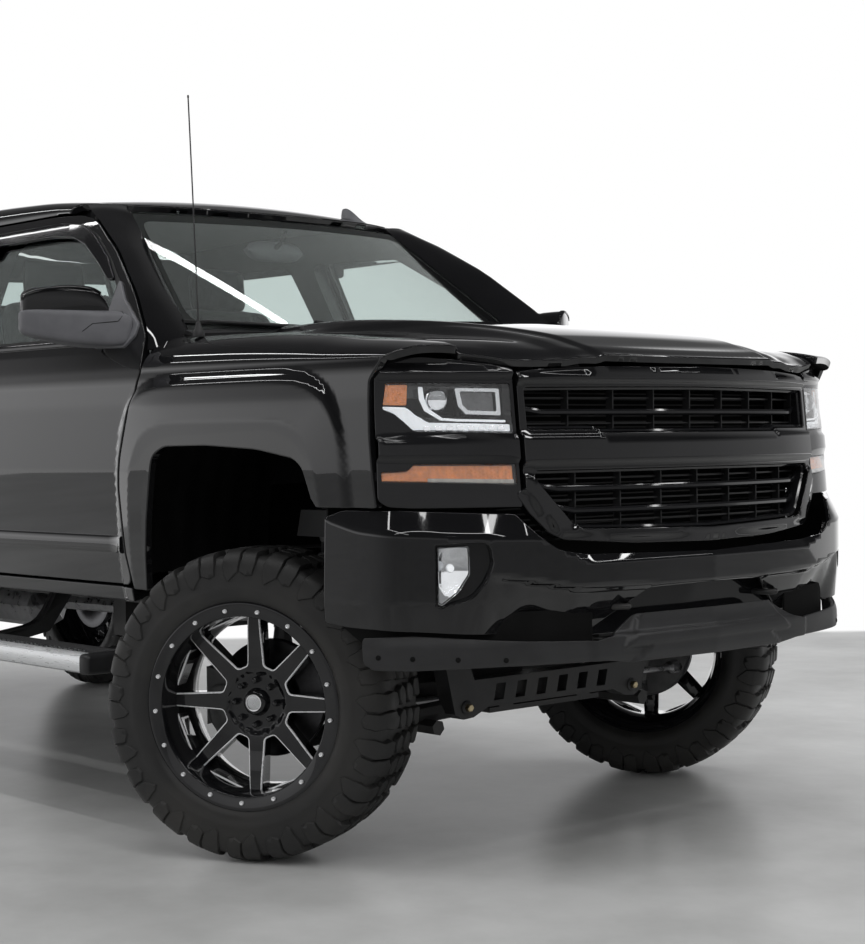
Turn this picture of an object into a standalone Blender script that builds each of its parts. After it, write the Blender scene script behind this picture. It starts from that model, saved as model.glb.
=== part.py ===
"""Lifted crew-cab pickup truck with a short cargo bed.

Frame: metres, +X forward, +Y to the truck's left, +Z up. The origin is on the
floor, midway between the bumpers. Rest pose: parked, front wheels turned left.
"""
from math import ceil, cos, hypot, pi, radians, sin, sqrt

import bmesh
import bpy
from mathutils import Matrix, Vector
from mathutils.geometry import delaunay_2d_cdt

# Clearances
SEAT_GAP = 0.0003
SHUT_GAP = 0.006

# Wheelbase and tyres
FRONT_AXLE_X = 1.931
WHEELBASE = 3.645
REAR_AXLE_X = FRONT_AXLE_X - WHEELBASE
TYRE_RADIUS = 0.444
TYRE_WIDTH = 0.318
BEAD_RADIUS = 0.286
TREAD_DEPTH = 0.015
TREAD_PITCHES = 12
FRONT_TRACK_HALF = 0.925
REAR_TRACK_HALF = 0.912
KINGPIN_Y = 0.785
REST_STEER = radians(28.0)

# Rims
RIM_WIDTH = 0.254
RIM_LIP_RADIUS = 0.296
RIM_WALL = 0.014
SPOKES = 8
RIM_FACETS = 16
HUB_RADIUS = 0.075
CAP_DEPTH = 0.127
SPOKE_DEPTH = 0.078
SPOKE_DISC = 0.040
SPOKE_HALF_NEAR = 0.145
SPOKE_HALF_FAR = 0.305

# Body side, as half width over height
SIDE_PROFILE = (
    (0.66, 0.952), (0.76, 0.972), (0.92, 0.988), (1.12, 0.997), (1.30, 0.992), (1.41, 0.982),
    (1.50, 0.955), (1.70, 0.872), (1.85, 0.806), (1.93, 0.766), (1.98, 0.735), (2.02, 0.700),
)
TAPER_START_X = 1.60
TAPER = 0.022
FLARE_DEPTH = 0.026
FLARE_HALF_LENGTH = 0.43
FLARE_HEIGHT = 0.62
FLARE_BASE_Z = 0.58

# Doors
DOOR_FRONT_X = 1.500
DOOR_SPLIT_X = 0.248
DOOR_REAR_X = -0.690
DOOR_BOTTOM_Z = 0.750
DOOR_TOP_Z = 1.972
DOOR_DEPTH = 0.100
FRAME_DEPTH = 0.045
DOOR_INNER_SHRINK = 0.955
GLASS_THICKNESS = 0.005
GLASS_SEAT = 0.0005
DOOR_SWING_Y = 1.006
DOOR_PAD_Y = {DOOR_FRONT_X: 0.8865, DOOR_SPLIT_X: 0.8840}
HINGE_HEIGHTS = (0.93, 1.30)
MIRROR_FOOT_Y = 0.974

# Cab
CAB_BACK_X = -0.960
SILL_BOTTOM_Z = 0.700
FLOOR_Z = 0.830
FLOOR_THICKNESS = 0.040
FIREWALL_X = 1.430
FRAME_WALL = 0.060
ROOF_HALF_WIDTH = 0.700
ROOF_THICKNESS = 0.020
ROOF_CROWN = (
    (-0.945, 2.020), (-0.85, 2.052), (-0.60, 2.078), (0.0, 2.090), (0.40, 2.079), (0.70, 2.055),
    (0.85, 2.028), (0.96, 1.992),
)
ROOF_CURVATURE = 0.085

# Windshield, x = base - rake * (z - base z) - bow * y^2
SHIELD_BASE_X = 1.574
SHIELD_BASE_Z = 1.545
SHIELD_RAKE = 1.447
SHIELD_BOW = 0.300
SHIELD_LOW_HALF = 0.760
SHIELD_TOP_HALF = 0.600
SHIELD_TOP_Z = 1.972

# Hood and nose
HOOD_CROWN = ((1.50, 1.562), (1.90, 1.553), (2.20, 1.536), (2.45, 1.508), (2.65, 1.474), (2.80, 1.431),
              (2.90, 1.414))
HOOD_REAR_X = 1.535
HOOD_REAR_HALF = 0.800
HOOD_FRONT_HALF = 0.775
HOOD_DOME_HALF = 0.47
HOOD_DOME_RISE = 0.034
HOOD_THICKNESS = 0.022
HOOD_AXIS_LIFT = 0.004
NOSE_X = 2.885
NOSE_BOW = 0.270
NOSE_CORNER_Y = 0.680
NOSE_CORNER_BOW = 0.600
NOSE_LEAN = 0.100
LAMP_SPLIT_Y = 0.631
LAMP_OUTER_Y = 0.970
LAMP_BOTTOM_Z = 1.006
LAMP_TOP_Z = 1.386
GRILLE_DEPTH = 0.045
GRILLE_BAR = 0.016
GRILLE_RIB = 0.005
GRILLE_RIB_PITCH = 0.149
GRILLE_UPPER = (1.207, 1.328)
GRILLE_LOWER = (0.936, 1.103)
GRILLE_BARS = ((1.2575, 0.610), (1.0495, 0.578), (0.9900, 0.525))
HOOD_LIP = 0.010

# Wheel arches, from the axle, and the fender's rolled top
ARCH = ((-0.395, 0.740), (-0.366, 0.955), (-0.320, 1.150), (-0.254, 1.175), (-0.047, 1.177), (0.188, 1.165),
        (0.350, 1.140), (0.389, 1.115), (0.421, 1.031))

ANTENNA_SPOT = (FRONT_AXLE_X - 0.271, -0.880)
ANTENNA_FOOT_Z = 1.517
FENDER_ROLL_Z = 1.400
FENDER_ROLL_SPAN = 0.200

# Bumpers
BUMPER_FRONT_X = 2.921
BUMPER_REAR_X = -2.921
BUMPER_HALF_WIDTH = 1.000
BUMPER_BAR_LOW_Z = 0.776
BUMPER_WING_LOW_Z = 0.660
BUMPER_WING_TOP_Z = 1.002
BUMPER_BAR_TOP_Z = 0.867
BUMPER_SKIN = 0.030
VALANCE_DROP = 0.012
VALANCE_LOW_Z = 0.573
VALANCE_PLATE_TOP_Z = 0.706
BUMPER_ARM_X = 2.800

# Cargo bed
BED_FRONT_X = -0.984
BED_REAR_X = -2.812
BED_RAIL_Z = 1.560
BED_BOTTOM_Z = 0.720
BED_FLOOR_TOP_Z = 1.060
BED_FLOOR_THICKNESS = 0.045
BED_SIDE_WIDTH = 0.105
BED_INNER_HALF = 0.930 - BED_SIDE_WIDTH
BED_WALL = 0.040
TAILGATE_OUTER_X = -2.826
TAILGATE_THICKNESS = 0.055
TAILGATE_HALF = BED_INNER_HALF - 0.025
TAILGATE_BOTTOM_Z = 1.022
TAIL_LAMP_LENGTH = 0.095
TAIL_LAMP_BOTTOM_Z = 1.090
TAIL_LAMP_TOP_Z = 1.500

# Chassis
RAIL_Y = 0.430
RAIL_WIDTH = 0.075
RAIL_HEIGHT = 0.150
RAIL_TOP_Z = 0.770
RAIL_FRONT_X = 2.560
RAIL_REAR_X = -2.700
RAIL_KICK = 0.180
CROSSMEMBER_HEIGHT = 0.075
SPARE_X = -2.330
GEARBOX_SEAT_Z = 0.530
BALL_LOW_Z = 0.300
BALL_HIGH_Z = 0.640
BALL_PIN = 0.036
ARM_PIVOT_Y = 0.340
RACK_X = FRONT_AXLE_X + 0.135
RACK_Z = 0.392
RACK_BAR = 0.016
STEERING_ARM = 0.155
CROSS_SLOTS = 6
CROSS_SLOT_PITCH = 0.090
SPRING_X = REAR_AXLE_X - 0.03
SPRING_HALF = 0.680
SPRING_Y = 0.520
SPRING_EYE_Z = 0.704
LINER_INNER_Y = 0.500
HOOD_STOP_Z = 1.440
GRILLE_TAB_X = 2.720
LAMP_TAB_X = 2.600

# Steering wheel
COLUMN_TILT = radians(24.0)
HELM_CENTRE = Vector((0.900, 0.380, 1.330))
HELM_RADIUS = 0.190
HELM_TUBE = 0.016


def curve(knots, at):
    """Smooth curve through the knots that never overshoots them."""
    if at <= knots[0][0]:
        return knots[0][1]
    if at >= knots[-1][0]:
        return knots[-1][1]
    slopes = [(b[1] - a[1]) / (b[0] - a[0]) for a, b in zip(knots, knots[1:])]
    tangents = [slopes[0]]
    for left, right in zip(slopes, slopes[1:]):
        tangents.append(0.0 if left * right <= 0 else 2 * left * right / (left + right))
    tangents.append(slopes[-1])
    for i, (a, b) in enumerate(zip(knots, knots[1:])):
        if at <= b[0]:
            span = b[0] - a[0]
            t = (at - a[0]) / span
            t2, t3 = t * t, t * t * t
            return (a[1] * (2 * t3 - 3 * t2 + 1) + tangents[i] * span * (t3 - 2 * t2 + t)
                    + b[1] * (3 * t2 - 2 * t3) + tangents[i + 1] * span * (t3 - t2))


def smooth(t):
    """Smooth step from 0 to 1."""
    t = min(1.0, max(0.0, t))
    return t * t * (3 - 2 * t)


def flare(x, z):
    """Outward bulge of the body side over the wheel arches."""
    bulge = 0.0
    for axle in (FRONT_AXLE_X, REAR_AXLE_X):
        along = abs(x - axle) / FLARE_HALF_LENGTH
        up = max(0.0, z - FLARE_BASE_Z) / FLARE_HEIGHT
        reach = (along ** 6 + up ** 6) ** (1 / 6)
        bulge += FLARE_DEPTH * smooth((1.27 - reach) / 0.20)
    return bulge


def side_y(x, z):
    """Half width of the body side."""
    taper = TAPER * max(0.0, x - TAPER_START_X) ** 2
    return curve(SIDE_PROFILE, z) - taper + flare(x, z)


def hood_z(x, y):
    """Height of the hood and of the fender tops beside it."""
    side = smooth((abs(y) - HOOD_DOME_HALF) / 0.10)
    rise = HOOD_DOME_RISE * (1 - 0.65 * smooth((x - 2.30) / 0.45))
    return curve(HOOD_CROWN, x) - rise * side - 0.020 * y * y


def nose_x(y, z):
    """Front face of the grille and the headlamps."""
    corner = max(0.0, abs(y) - NOSE_CORNER_Y)
    return NOSE_X - NOSE_BOW * y * y - NOSE_CORNER_BOW * corner ** 2 - NOSE_LEAN * (z - 1.10)


def roof_z(x, y):
    """Height of the roof skin."""
    roll = max(0.0, abs(y) - 0.60)
    return curve(ROOF_CROWN, x) - ROOF_CURVATURE * y * y - 2.2 * roll ** 2


def shield_x(y, z):
    """Outer face of the windshield."""
    return SHIELD_BASE_X - SHIELD_RAKE * (z - SHIELD_BASE_Z) - SHIELD_BOW * y * y


def material(name, colour, roughness, metallic=0.0):
    """Principled material."""
    finish = bpy.data.materials.new(name)
    finish.use_nodes = True
    shader = finish.node_tree.nodes["Principled BSDF"]
    shader.inputs["Base Color"].default_value = (*colour, 1.0)
    shader.inputs["Roughness"].default_value = roughness
    shader.inputs["Metallic"].default_value = metallic
    return finish


def solid(name, verts, faces, finish, origin=(0, 0, 0)):
    """Closed mesh object with its origin at a world point."""
    origin = Vector(origin)
    mesh = bpy.data.meshes.new(name)
    mesh.from_pydata([Vector(v) - origin for v in verts], [], faces)
    edit = bmesh.new()
    edit.from_mesh(mesh)
    bmesh.ops.remove_doubles(edit, verts=edit.verts, dist=1e-6)
    bmesh.ops.recalc_face_normals(edit, faces=edit.faces)
    edit.to_mesh(mesh)
    edit.free()
    mesh.shade_smooth()
    mesh.set_sharp_from_angle(angle=radians(35))
    mesh.materials.append(finish)
    thing = bpy.data.objects.new(name, mesh)
    thing.location = origin
    bpy.context.scene.collection.objects.link(thing)
    return thing


def combine(target, others, operation="UNION", solver="EXACT"):
    """Add or cut hidden solids by Booleans."""
    for index, other in enumerate(others):
        other.hide_render = True
        other.display_type = "WIRE"
        step = target.modifiers.new(f"{operation.lower()}_{index}", "BOOLEAN")
        step.operation = operation
        step.solver = solver
        step.object = other
    return target


def prism_mesh(outline, axis, low, high):
    """Outline in the plane across an axis, extruded from low to high."""
    place = {
        "X": lambda u, v, w: (w, u, v),
        "Y": lambda u, v, w: (u, w, v),
        "Z": lambda u, v, w: (u, v, w),
    }[axis]
    count = len(outline)
    verts = [place(u, v, low) for u, v in outline] + [place(u, v, high) for u, v in outline]
    faces = [tuple(range(count)), tuple(range(2 * count - 1, count - 1, -1))]
    faces += [(i, (i + 1) % count, count + (i + 1) % count, count + i) for i in range(count)]
    return verts, faces


def prism(name, outline, axis, low, high, finish, origin=(0, 0, 0)):
    """Extruded outline as an object."""
    return solid(name, *prism_mesh(outline, axis, low, high), finish, origin)


def box(name, low, high, finish, origin=(0, 0, 0)):
    """Box between two corners."""
    outline = ((low[0], low[1]), (high[0], low[1]), (high[0], high[1]), (low[0], high[1]))
    return prism(name, outline, "Z", low[2], high[2], finish, origin)


def loft_mesh(sections, closed=False):
    """Skin over closed loops that have equal point counts, with end caps."""
    count = len(sections[0])
    verts = [point for section in sections for point in section]
    faces = []
    last = len(sections) if closed else len(sections) - 1
    for s in range(last):
        a, b = s * count, ((s + 1) % len(sections)) * count
        faces += [(a + i, a + (i + 1) % count, b + (i + 1) % count, b + i) for i in range(count)]
    if not closed:
        end = (len(sections) - 1) * count
        faces += [tuple(range(count)), tuple(range(end + count - 1, end - 1, -1))]
    return verts, faces


def loft(name, sections, finish, closed=False, origin=(0, 0, 0)):
    """Lofted object."""
    return solid(name, *loft_mesh(sections, closed), finish, origin)


def pipe(name, points, radius, sides, finish, origin=(0, 0, 0)):
    """Round bar along a polyline; radius may be one number or one for each point."""
    points = [Vector(p) for p in points]
    radii = radius if isinstance(radius, (list, tuple)) else [radius] * len(points)
    tangent = (points[1] - points[0]).normalized()
    across = tangent.orthogonal().normalized()
    rings = []
    for i, point in enumerate(points):
        ahead = points[min(i + 1, len(points) - 1)] - points[max(i - 1, 0)]
        turn = tangent.rotation_difference(ahead.normalized())
        across = turn @ across
        tangent = ahead.normalized()
        up = tangent.cross(across)
        ring = [2 * pi * k / sides for k in range(sides)]
        rings.append([point + radii[i] * (cos(a) * across + sin(a) * up) for a in ring])
    return loft(name, rings, finish, origin=origin)


def turned(name, profile, sides, centre, finish, matrix=None, phase=0.0):
    """Profile of (radius, along Y) points revolved about the Y axis at a centre.

    A profile that starts and ends on the axis gives a full body, any other one a ring.
    """
    matrix = matrix or Matrix.Identity(3)
    centre = Vector(centre)
    on_axis = profile[0][0] == 0.0 and profile[-1][0] == 0.0
    rings = profile[1:-1] if on_axis else profile
    verts = []
    for k in range(sides):
        angle = phase + 2 * pi * k / sides
        verts += [centre + matrix @ Vector((r * cos(angle), y, r * sin(angle))) for r, y in rings]
    count = len(rings)
    faces = []
    for k in range(sides):
        a, b = k * count, ((k + 1) % sides) * count
        steps = count - 1 if on_axis else count
        faces += [(a + i, a + (i + 1) % count, b + (i + 1) % count, b + i) for i in range(steps)]
    if on_axis:
        for end, ring in ((profile[0][1], 0), (profile[-1][1], count - 1)):
            verts.append(centre + matrix @ Vector((0, end, 0)))
            tip = len(verts) - 1
            faces += [(tip, k * count + ring, ((k + 1) % sides) * count + ring) for k in range(sides)]
    return solid(name, verts, faces, finish, centre)


def inside(point, loop):
    """Whether a 2-D point lies inside a loop."""
    hit = False
    for (x0, y0), (x1, y1) in zip(loop, loop[1:] + loop[:1]):
        if (y0 > point[1]) != (y1 > point[1]):
            if point[0] < x0 + (point[1] - y0) * (x1 - x0) / (y1 - y0):
                hit = not hit
    return hit


def divided(loop, cell):
    """Loop with its long edges cut into equal runs no longer than a cell."""
    points = []
    for (x0, y0), (x1, y1) in zip(loop, loop[1:] + loop[:1]):
        runs = max(1, ceil(hypot(x1 - x0, y1 - y0) / cell - 1e-9))
        points += [(x0 + (x1 - x0) * k / runs, y0 + (y1 - y0) * k / runs) for k in range(runs)]
    return points


def inset(loop, distance):
    """Counter-clockwise loop moved inwards by a distance (outwards if negative)."""
    moved = []
    count = len(loop)
    for i in range(count):
        before, here, after = (Vector(loop[(i + k) % count]) for k in (-1, 0, 1))
        d0, d1 = (here - before).normalized(), (after - here).normalized()
        n0, n1 = Vector((-d0.y, d0.x)), Vector((-d1.y, d1.x))
        mean = (n0 + n1).normalized()
        moved.append(tuple(here + mean * (distance / max(0.3, mean.dot(n0)))))
    return moved


def panel_mesh(outline, holes, front, back, cell):
    """Closed sheet over a flat outline with holes, between two mapped faces."""
    loops = [divided(list(loop), cell) for loop in (outline, *holes)]
    points = [point for loop in loops for point in loop]
    edges = []
    start = 0
    for loop in loops:
        edges += [(start + i, start + (i + 1) % len(loop)) for i in range(len(loop))]
        start += len(loop)
    rim = list(points)
    low_u, high_u = min(p[0] for p in rim), max(p[0] for p in rim)
    low_v, high_v = min(p[1] for p in rim), max(p[1] for p in rim)
    for i in range(1, ceil((high_u - low_u) / cell)):
        for j in range(1, ceil((high_v - low_v) / cell)):
            spot = (low_u + i * cell, low_v + j * cell)
            clear = all(hypot(spot[0] - p[0], spot[1] - p[1]) > 0.45 * cell for p in rim)
            if clear and inside(spot, loops[0]) and not any(inside(spot, hole) for hole in loops[1:]):
                points.append(spot)
    coords, _, triangles, *_ = delaunay_2d_cdt([Vector(p) for p in points], edges, [], 0, 1e-6)
    kept = []
    for triangle in triangles:
        middle = sum((coords[i] for i in triangle), Vector((0, 0))) / 3
        if inside(middle, loops[0]) and not any(inside(middle, hole) for hole in loops[1:]):
            kept.append(tuple(triangle))
    count = len(coords)
    verts = [front(*p) for p in coords] + [back(*p) for p in coords]
    faces = kept + [tuple(count + i for i in reversed(triangle)) for triangle in kept]
    sides = {}
    for triangle in kept:
        for a, b in zip(triangle, triangle[1:] + triangle[:1]):
            sides[(a, b)] = sides.get((a, b), 0) + 1
    for a, b in sides:
        if (b, a) not in sides:
            faces.append((b, a, count + a, count + b))
    return verts, faces


def panel(name, outline, holes, front, back, cell, finish, origin=(0, 0, 0)):
    """Closed sheet as an object; corners that nothing uses are dropped."""
    verts, faces = panel_mesh(outline, holes, front, back, cell)
    used = sorted({i for face in faces for i in face})
    place = {old: new for new, old in enumerate(used)}
    return solid(name, [verts[i] for i in used], [tuple(place[i] for i in f) for f in faces], finish, origin)


def side_panel(name, outline, holes, depth, cell, finish, side, origin=(0, 0, 0), shrink=1.0):
    """Sheet on the body side; depth is a function of height."""
    middle = 0.5 * (min(p[0] for p in outline) + max(p[0] for p in outline))

    def front(x, z):
        return x, side * side_y(x, z), z

    def back(x, z):
        return middle + (x - middle) * shrink, side * (side_y(x, z) - depth(z)), z

    return panel(name, outline, holes, front, back, cell, finish, origin)


def remove_old_objects():
    """Empty the scene."""
    for thing in list(bpy.data.objects):
        bpy.data.objects.remove(thing, do_unlink=True)


def make_materials():
    """Finishes of the truck."""
    return {
        "paint": material("black_paint", (0.006, 0.006, 0.007), 0.08),
        "plastic": material("satin_black_plastic", (0.018, 0.018, 0.019), 0.45),
        "rubber": material("rubber", (0.022, 0.022, 0.022), 0.75),
        "rim": material("black_rim", (0.010, 0.010, 0.011), 0.15, 0.4),
        "glass": material("tinted_glass", (0.05, 0.07, 0.065), 0.02),
        "lens": material("clear_lens", (0.60, 0.62, 0.64), 0.05),
        "red": material("red_lens", (0.35, 0.01, 0.01), 0.12),
        "steel": material("black_steel", (0.025, 0.025, 0.026), 0.5, 0.6),
        "cast": material("cast_metal", (0.20, 0.20, 0.20), 0.55, 0.8),
        "aluminium": material("satin_aluminium", (0.70, 0.71, 0.72), 0.28, 1.0),
        "cloth": material("seat_cloth", (0.03, 0.03, 0.032), 0.85),
        "trim": material("interior_trim", (0.035, 0.035, 0.037), 0.7),
    }


def make_frame(m):
    """Two box rails with a rear kick-up, crossmembers, body mounts, towers and radiator support."""
    low = RAIL_TOP_Z - RAIL_HEIGHT
    rail = (
        (RAIL_FRONT_X, low), (RAIL_FRONT_X, RAIL_TOP_Z), (-0.90, RAIL_TOP_Z),
        (-1.30, RAIL_TOP_Z + RAIL_KICK), (RAIL_REAR_X, RAIL_TOP_Z + RAIL_KICK),
        (RAIL_REAR_X, low + RAIL_KICK), (-1.25, low + RAIL_KICK), (-0.85, low),
    )
    half = RAIL_WIDTH / 2
    frame = prism("ladder_frame", rail, "Y", RAIL_Y - half, RAIL_Y + half, m["steel"])
    parts = [prism("rail_right", rail, "Y", -RAIL_Y - half, -RAIL_Y + half, m["steel"])]
    reach = RAIL_Y
    for index, (x, rise, lift) in enumerate(((2.50, 0.0, 0.030), (-0.90, 0.0, 0.030), (-1.40, RAIL_KICK, 0.030),
                                             (SPARE_X, RAIL_KICK, 0.002), (-2.66, RAIL_KICK, 0.030))):
        z = low + rise + lift
        parts.append(box(f"crossmember_{index}", (x - 0.04, -reach, z), (x + 0.04, reach, z + CROSSMEMBER_HEIGHT),
                         m["steel"]))
    cradle = ((-RAIL_Y - 0.03, 0.625), (-RAIL_Y - 0.03, 0.495), (RAIL_Y + 0.03, 0.495), (RAIL_Y + 0.03, 0.625),
              (RAIL_Y - 0.03, 0.625), (RAIL_Y - 0.03, GEARBOX_SEAT_Z), (-RAIL_Y + 0.03, GEARBOX_SEAT_Z),
              (-RAIL_Y + 0.03, 0.625))
    parts.append(prism("gearbox_cradle", cradle, "X", 0.51, 0.59, m["steel"]))
    mount_top = FLOOR_Z - SEAT_GAP
    for index, x in enumerate((1.15, 0.10, -0.75)):
        for side in (-1, 1):
            spot = (x, side * (RAIL_Y + 0.02), 0)
            turn = Matrix.Rotation(radians(90), 3, "X")
            profile = ((0, -mount_top), (0.05, -mount_top), (0.05, -RAIL_TOP_Z + 0.03), (0, -RAIL_TOP_Z + 0.03))
            parts.append(turned(f"body_mount_{index}_{side}", profile, 10, spot, m["steel"], turn.inverted()))
    for side in (-1, 1):
        inner, outer = sorted((side * 0.40, side * 0.640))
        tower = ((FRONT_AXLE_X - 0.11, 0.90), (FRONT_AXLE_X + 0.11, 0.90), (FRONT_AXLE_X + 0.09, 0.98),
                 (FRONT_AXLE_X - 0.09, 0.98))
        parts.append(prism(f"tower_top_{side}", tower, "Y", inner, outer, m["steel"]))
        inner, outer = sorted((side * 0.40, side * 0.455))
        parts.append(box(f"tower_{side}", (FRONT_AXLE_X - 0.10, inner, 0.70), (FRONT_AXLE_X + 0.10, outer, 0.95),
                         m["steel"]))
        inner, outer = sorted((side * 0.40, side * 0.465))
        parts.append(box(f"arm_bracket_{side}", (FRONT_AXLE_X - 0.19, inner, 0.70), (FRONT_AXLE_X + 0.19, outer, 0.79),
                         m["steel"]))
        ball = Vector((FRONT_AXLE_X, side * KINGPIN_Y, BALL_HIGH_Z + SEAT_GAP))
        parts.append(pipe(f"upper_pin_{side}", (ball, ball + Vector((0, 0, 0.042))), 0.026, 8, m["steel"]))
        for reach_x in (-0.17, 0.17):
            start = Vector((FRONT_AXLE_X + reach_x, side * 0.45, 0.745))
            parts.append(pipe(f"upper_arm_{side}_{reach_x:+.2f}", (start, ball + Vector((0, 0, 0.022))), 0.016, 6,
                              m["steel"]))
        for x, join, top in ((SPRING_X + SPRING_HALF, 0.74, 0.82), (SPRING_X - SPRING_HALF, 0.81, 0.90)):
            inner, tip = side * (RAIL_Y + half - 0.01), side * (SPRING_Y + 0.032)
            hanger = ((inner, join), (inner, top), (tip, top), (tip, SPRING_EYE_Z + SEAT_GAP),
                      (side * (SPRING_Y - 0.032), SPRING_EYE_Z + SEAT_GAP), (side * (SPRING_Y - 0.032), join))
            parts.append(prism(f"spring_hanger_{x:.1f}_{side}", hanger, "X", x - 0.03, x + 0.03, m["steel"]))
        low_y, high_y = sorted((side * 0.38, side * (LINER_INNER_Y - SEAT_GAP)))
        parts.append(box(f"fender_bracket_{side}", (2.352, low_y, 0.90), (2.45, high_y, 1.00), m["steel"]))
        low_y, high_y = sorted((side * 0.27, side * 0.33))
        parts.append(box(f"hood_post_{side}", (2.42, low_y, 1.30), (2.47, high_y, HOOD_STOP_Z - SEAT_GAP), m["steel"]))
        parts.append(box(f"grille_arm_{side}", (2.46, low_y, 1.125), (GRILLE_TAB_X - SEAT_GAP, high_y, 1.185),
                         m["steel"]))
        low_y, high_y = sorted((side * 0.69, side * 0.75))
        parts.append(box(f"lamp_arm_{side}", (2.46, low_y, 1.125), (LAMP_TAB_X - SEAT_GAP, high_y, 1.185), m["steel"]))
    parts.append(box("radiator", (2.42, -0.40, 0.72), (2.47, 0.40, 1.32), m["steel"]))
    parts.append(box("radiator_beam", (2.425, -0.76, 1.11), (2.465, 0.76, 1.20), m["steel"]))
    return combine(frame, parts)


def make_subframe(m):
    """Dropped crossmembers, control arms, struts, front differential and the rack housing."""
    steel = m["steel"]
    front_x, rear_x = FRONT_AXLE_X + 0.31, FRONT_AXLE_X - 0.27
    rail_low = RAIL_TOP_Z - RAIL_HEIGHT - SEAT_GAP
    cross = ((-0.47, rail_low), (-0.39, rail_low), (-0.33, 0.47), (0.33, 0.47), (0.39, rail_low), (0.47, rail_low),
             (0.41, 0.375), (0.375, 0.357), (0.335, 0.360), (0.275, 0.385), (-0.275, 0.385), (-0.335, 0.360),
             (-0.375, 0.357), (-0.41, 0.375))
    base = prism("front_subframe", cross, "X", front_x - 0.03, front_x + 0.03, steel)
    slots = []
    for k in range(CROSS_SLOTS):
        y = (k - (CROSS_SLOTS - 1) / 2) * CROSS_SLOT_PITCH
        slot = ((y - 0.026, 0.402), (y + 0.014, 0.402), (y + 0.026, 0.452), (y - 0.014, 0.452))
        slots.append(prism(f"cross_slot_{k}", slot, "X", front_x - 0.05, front_x + 0.05, steel))
    combine(base, slots, "DIFFERENCE")
    parts = [prism("rear_drop_member", cross, "X", rear_x - 0.03, rear_x + 0.03, steel)]
    for side in (-1, 1):
        pivot = side * ARM_PIVOT_Y
        ball = Vector((FRONT_AXLE_X, side * KINGPIN_Y, BALL_LOW_Z))
        for x in (front_x, rear_x):
            start = Vector((x, pivot, 0.395))
            parts.append(pipe(f"lower_arm_{side}_{x:.0f}", (start, ball + (start - ball) * 0.02), 0.030, 8, steel))
        parts.append(pipe(f"lower_tie_{side}", ((front_x, side * 0.45, 0.338), (rear_x, side * 0.45, 0.338)), 0.024, 6,
                          steel))
        parts.append(pipe(f"ball_pin_{side}", (ball + Vector((0, 0, -0.02)), ball + Vector((0, 0, BALL_PIN))), 0.026, 8,
                          steel))
        seat = Vector((FRONT_AXLE_X, side * 0.585, 0.35))
        parts.append(pipe(f"strut_seat_{side}", ((FRONT_AXLE_X, side * 0.44, 0.36), seat), 0.03, 8, steel))
        top = Vector((FRONT_AXLE_X, side * 0.555, 0.90 - SEAT_GAP - 0.0035))
        parts.append(pipe(f"strut_{side}", (seat, seat.lerp(top, 0.28), seat.lerp(top, 0.30), top),
                          (0.028, 0.028, 0.062, 0.062), 8, steel))
    parts.append(box("skid", (rear_x, -0.24, 0.36), (front_x, 0.24, 0.375), steel))
    housing = ((0.16, -0.02), (0.16, 0.16), (0.10, 0.24), (-0.10, 0.24), (-0.16, 0.16), (-0.16, -0.02))
    carrier = tuple((FRONT_AXLE_X - 0.02 + u * 0.8, 0.385 + v * 0.75) for u, v in housing)
    parts.append(prism("front_differential", carrier, "Y", -0.16, 0.10, steel))
    shaft_z = TYRE_RADIUS
    parts.append(pipe("half_shafts", ((FRONT_AXLE_X, -0.70, shaft_z), (FRONT_AXLE_X, 0.70, shaft_z)), 0.022, 8, steel))
    spot = (RACK_X, 0, RACK_Z)
    bore = RACK_BAR + 0.0005
    parts.append(turned("rack_housing", ((bore, -0.25), (0.034, -0.25), (0.034, 0.25), (bore, 0.25)), 10, spot, steel))
    for side in (-1, 1):
        low, high = sorted((side * 0.14, side * 0.20))
        parts.append(box(f"rack_foot_{side}", (RACK_X + 0.022, low, RACK_Z - 0.02), (front_x, high, RACK_Z + 0.02), steel))
    return combine(base, parts)


def make_powertrain(m):
    """Engine block, gearbox, transfer case and rear drive shaft."""
    block = ((1.52, 0.66), (2.20, 0.62), (2.34, 0.70), (2.34, 1.12), (2.20, 1.26), (1.60, 1.26), (1.52, 1.12))
    engine = prism("powertrain", block, "Y", -0.30, 0.30, m["cast"])
    rings = []
    for x, half_y, low, high in ((1.56, 0.22, 0.66, 1.10), (1.46, 0.18, 0.64, 0.82), (1.34, 0.15, 0.62, 0.80), (0.72, 0.12, 0.60, 0.80),
                                 (0.40, 0.16, 0.55, 0.81)):
        rings.append([(x, -half_y, low), (x, half_y, low), (x, half_y, high), (x, -half_y, high)])
    gearbox = loft("gearbox", rings, m["cast"])
    nose = REAR_AXLE_X + 0.25 + 0.005
    shaft = pipe("drive_shaft", ((0.45, 0.0, 0.66), (nose, 0.0, TYRE_RADIUS + 0.02)), 0.045, 8, m["steel"])
    mount = box("gearbox_mount", (0.515, -0.10, GEARBOX_SEAT_Z + SEAT_GAP), (0.585, 0.10, 0.66), m["steel"])
    engine_foot = box("engine_feet", (1.84, -0.3997, 0.80), (1.98, 0.3997, 0.88), m["steel"])
    return combine(engine, [gearbox, shaft, mount, engine_foot])


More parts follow.
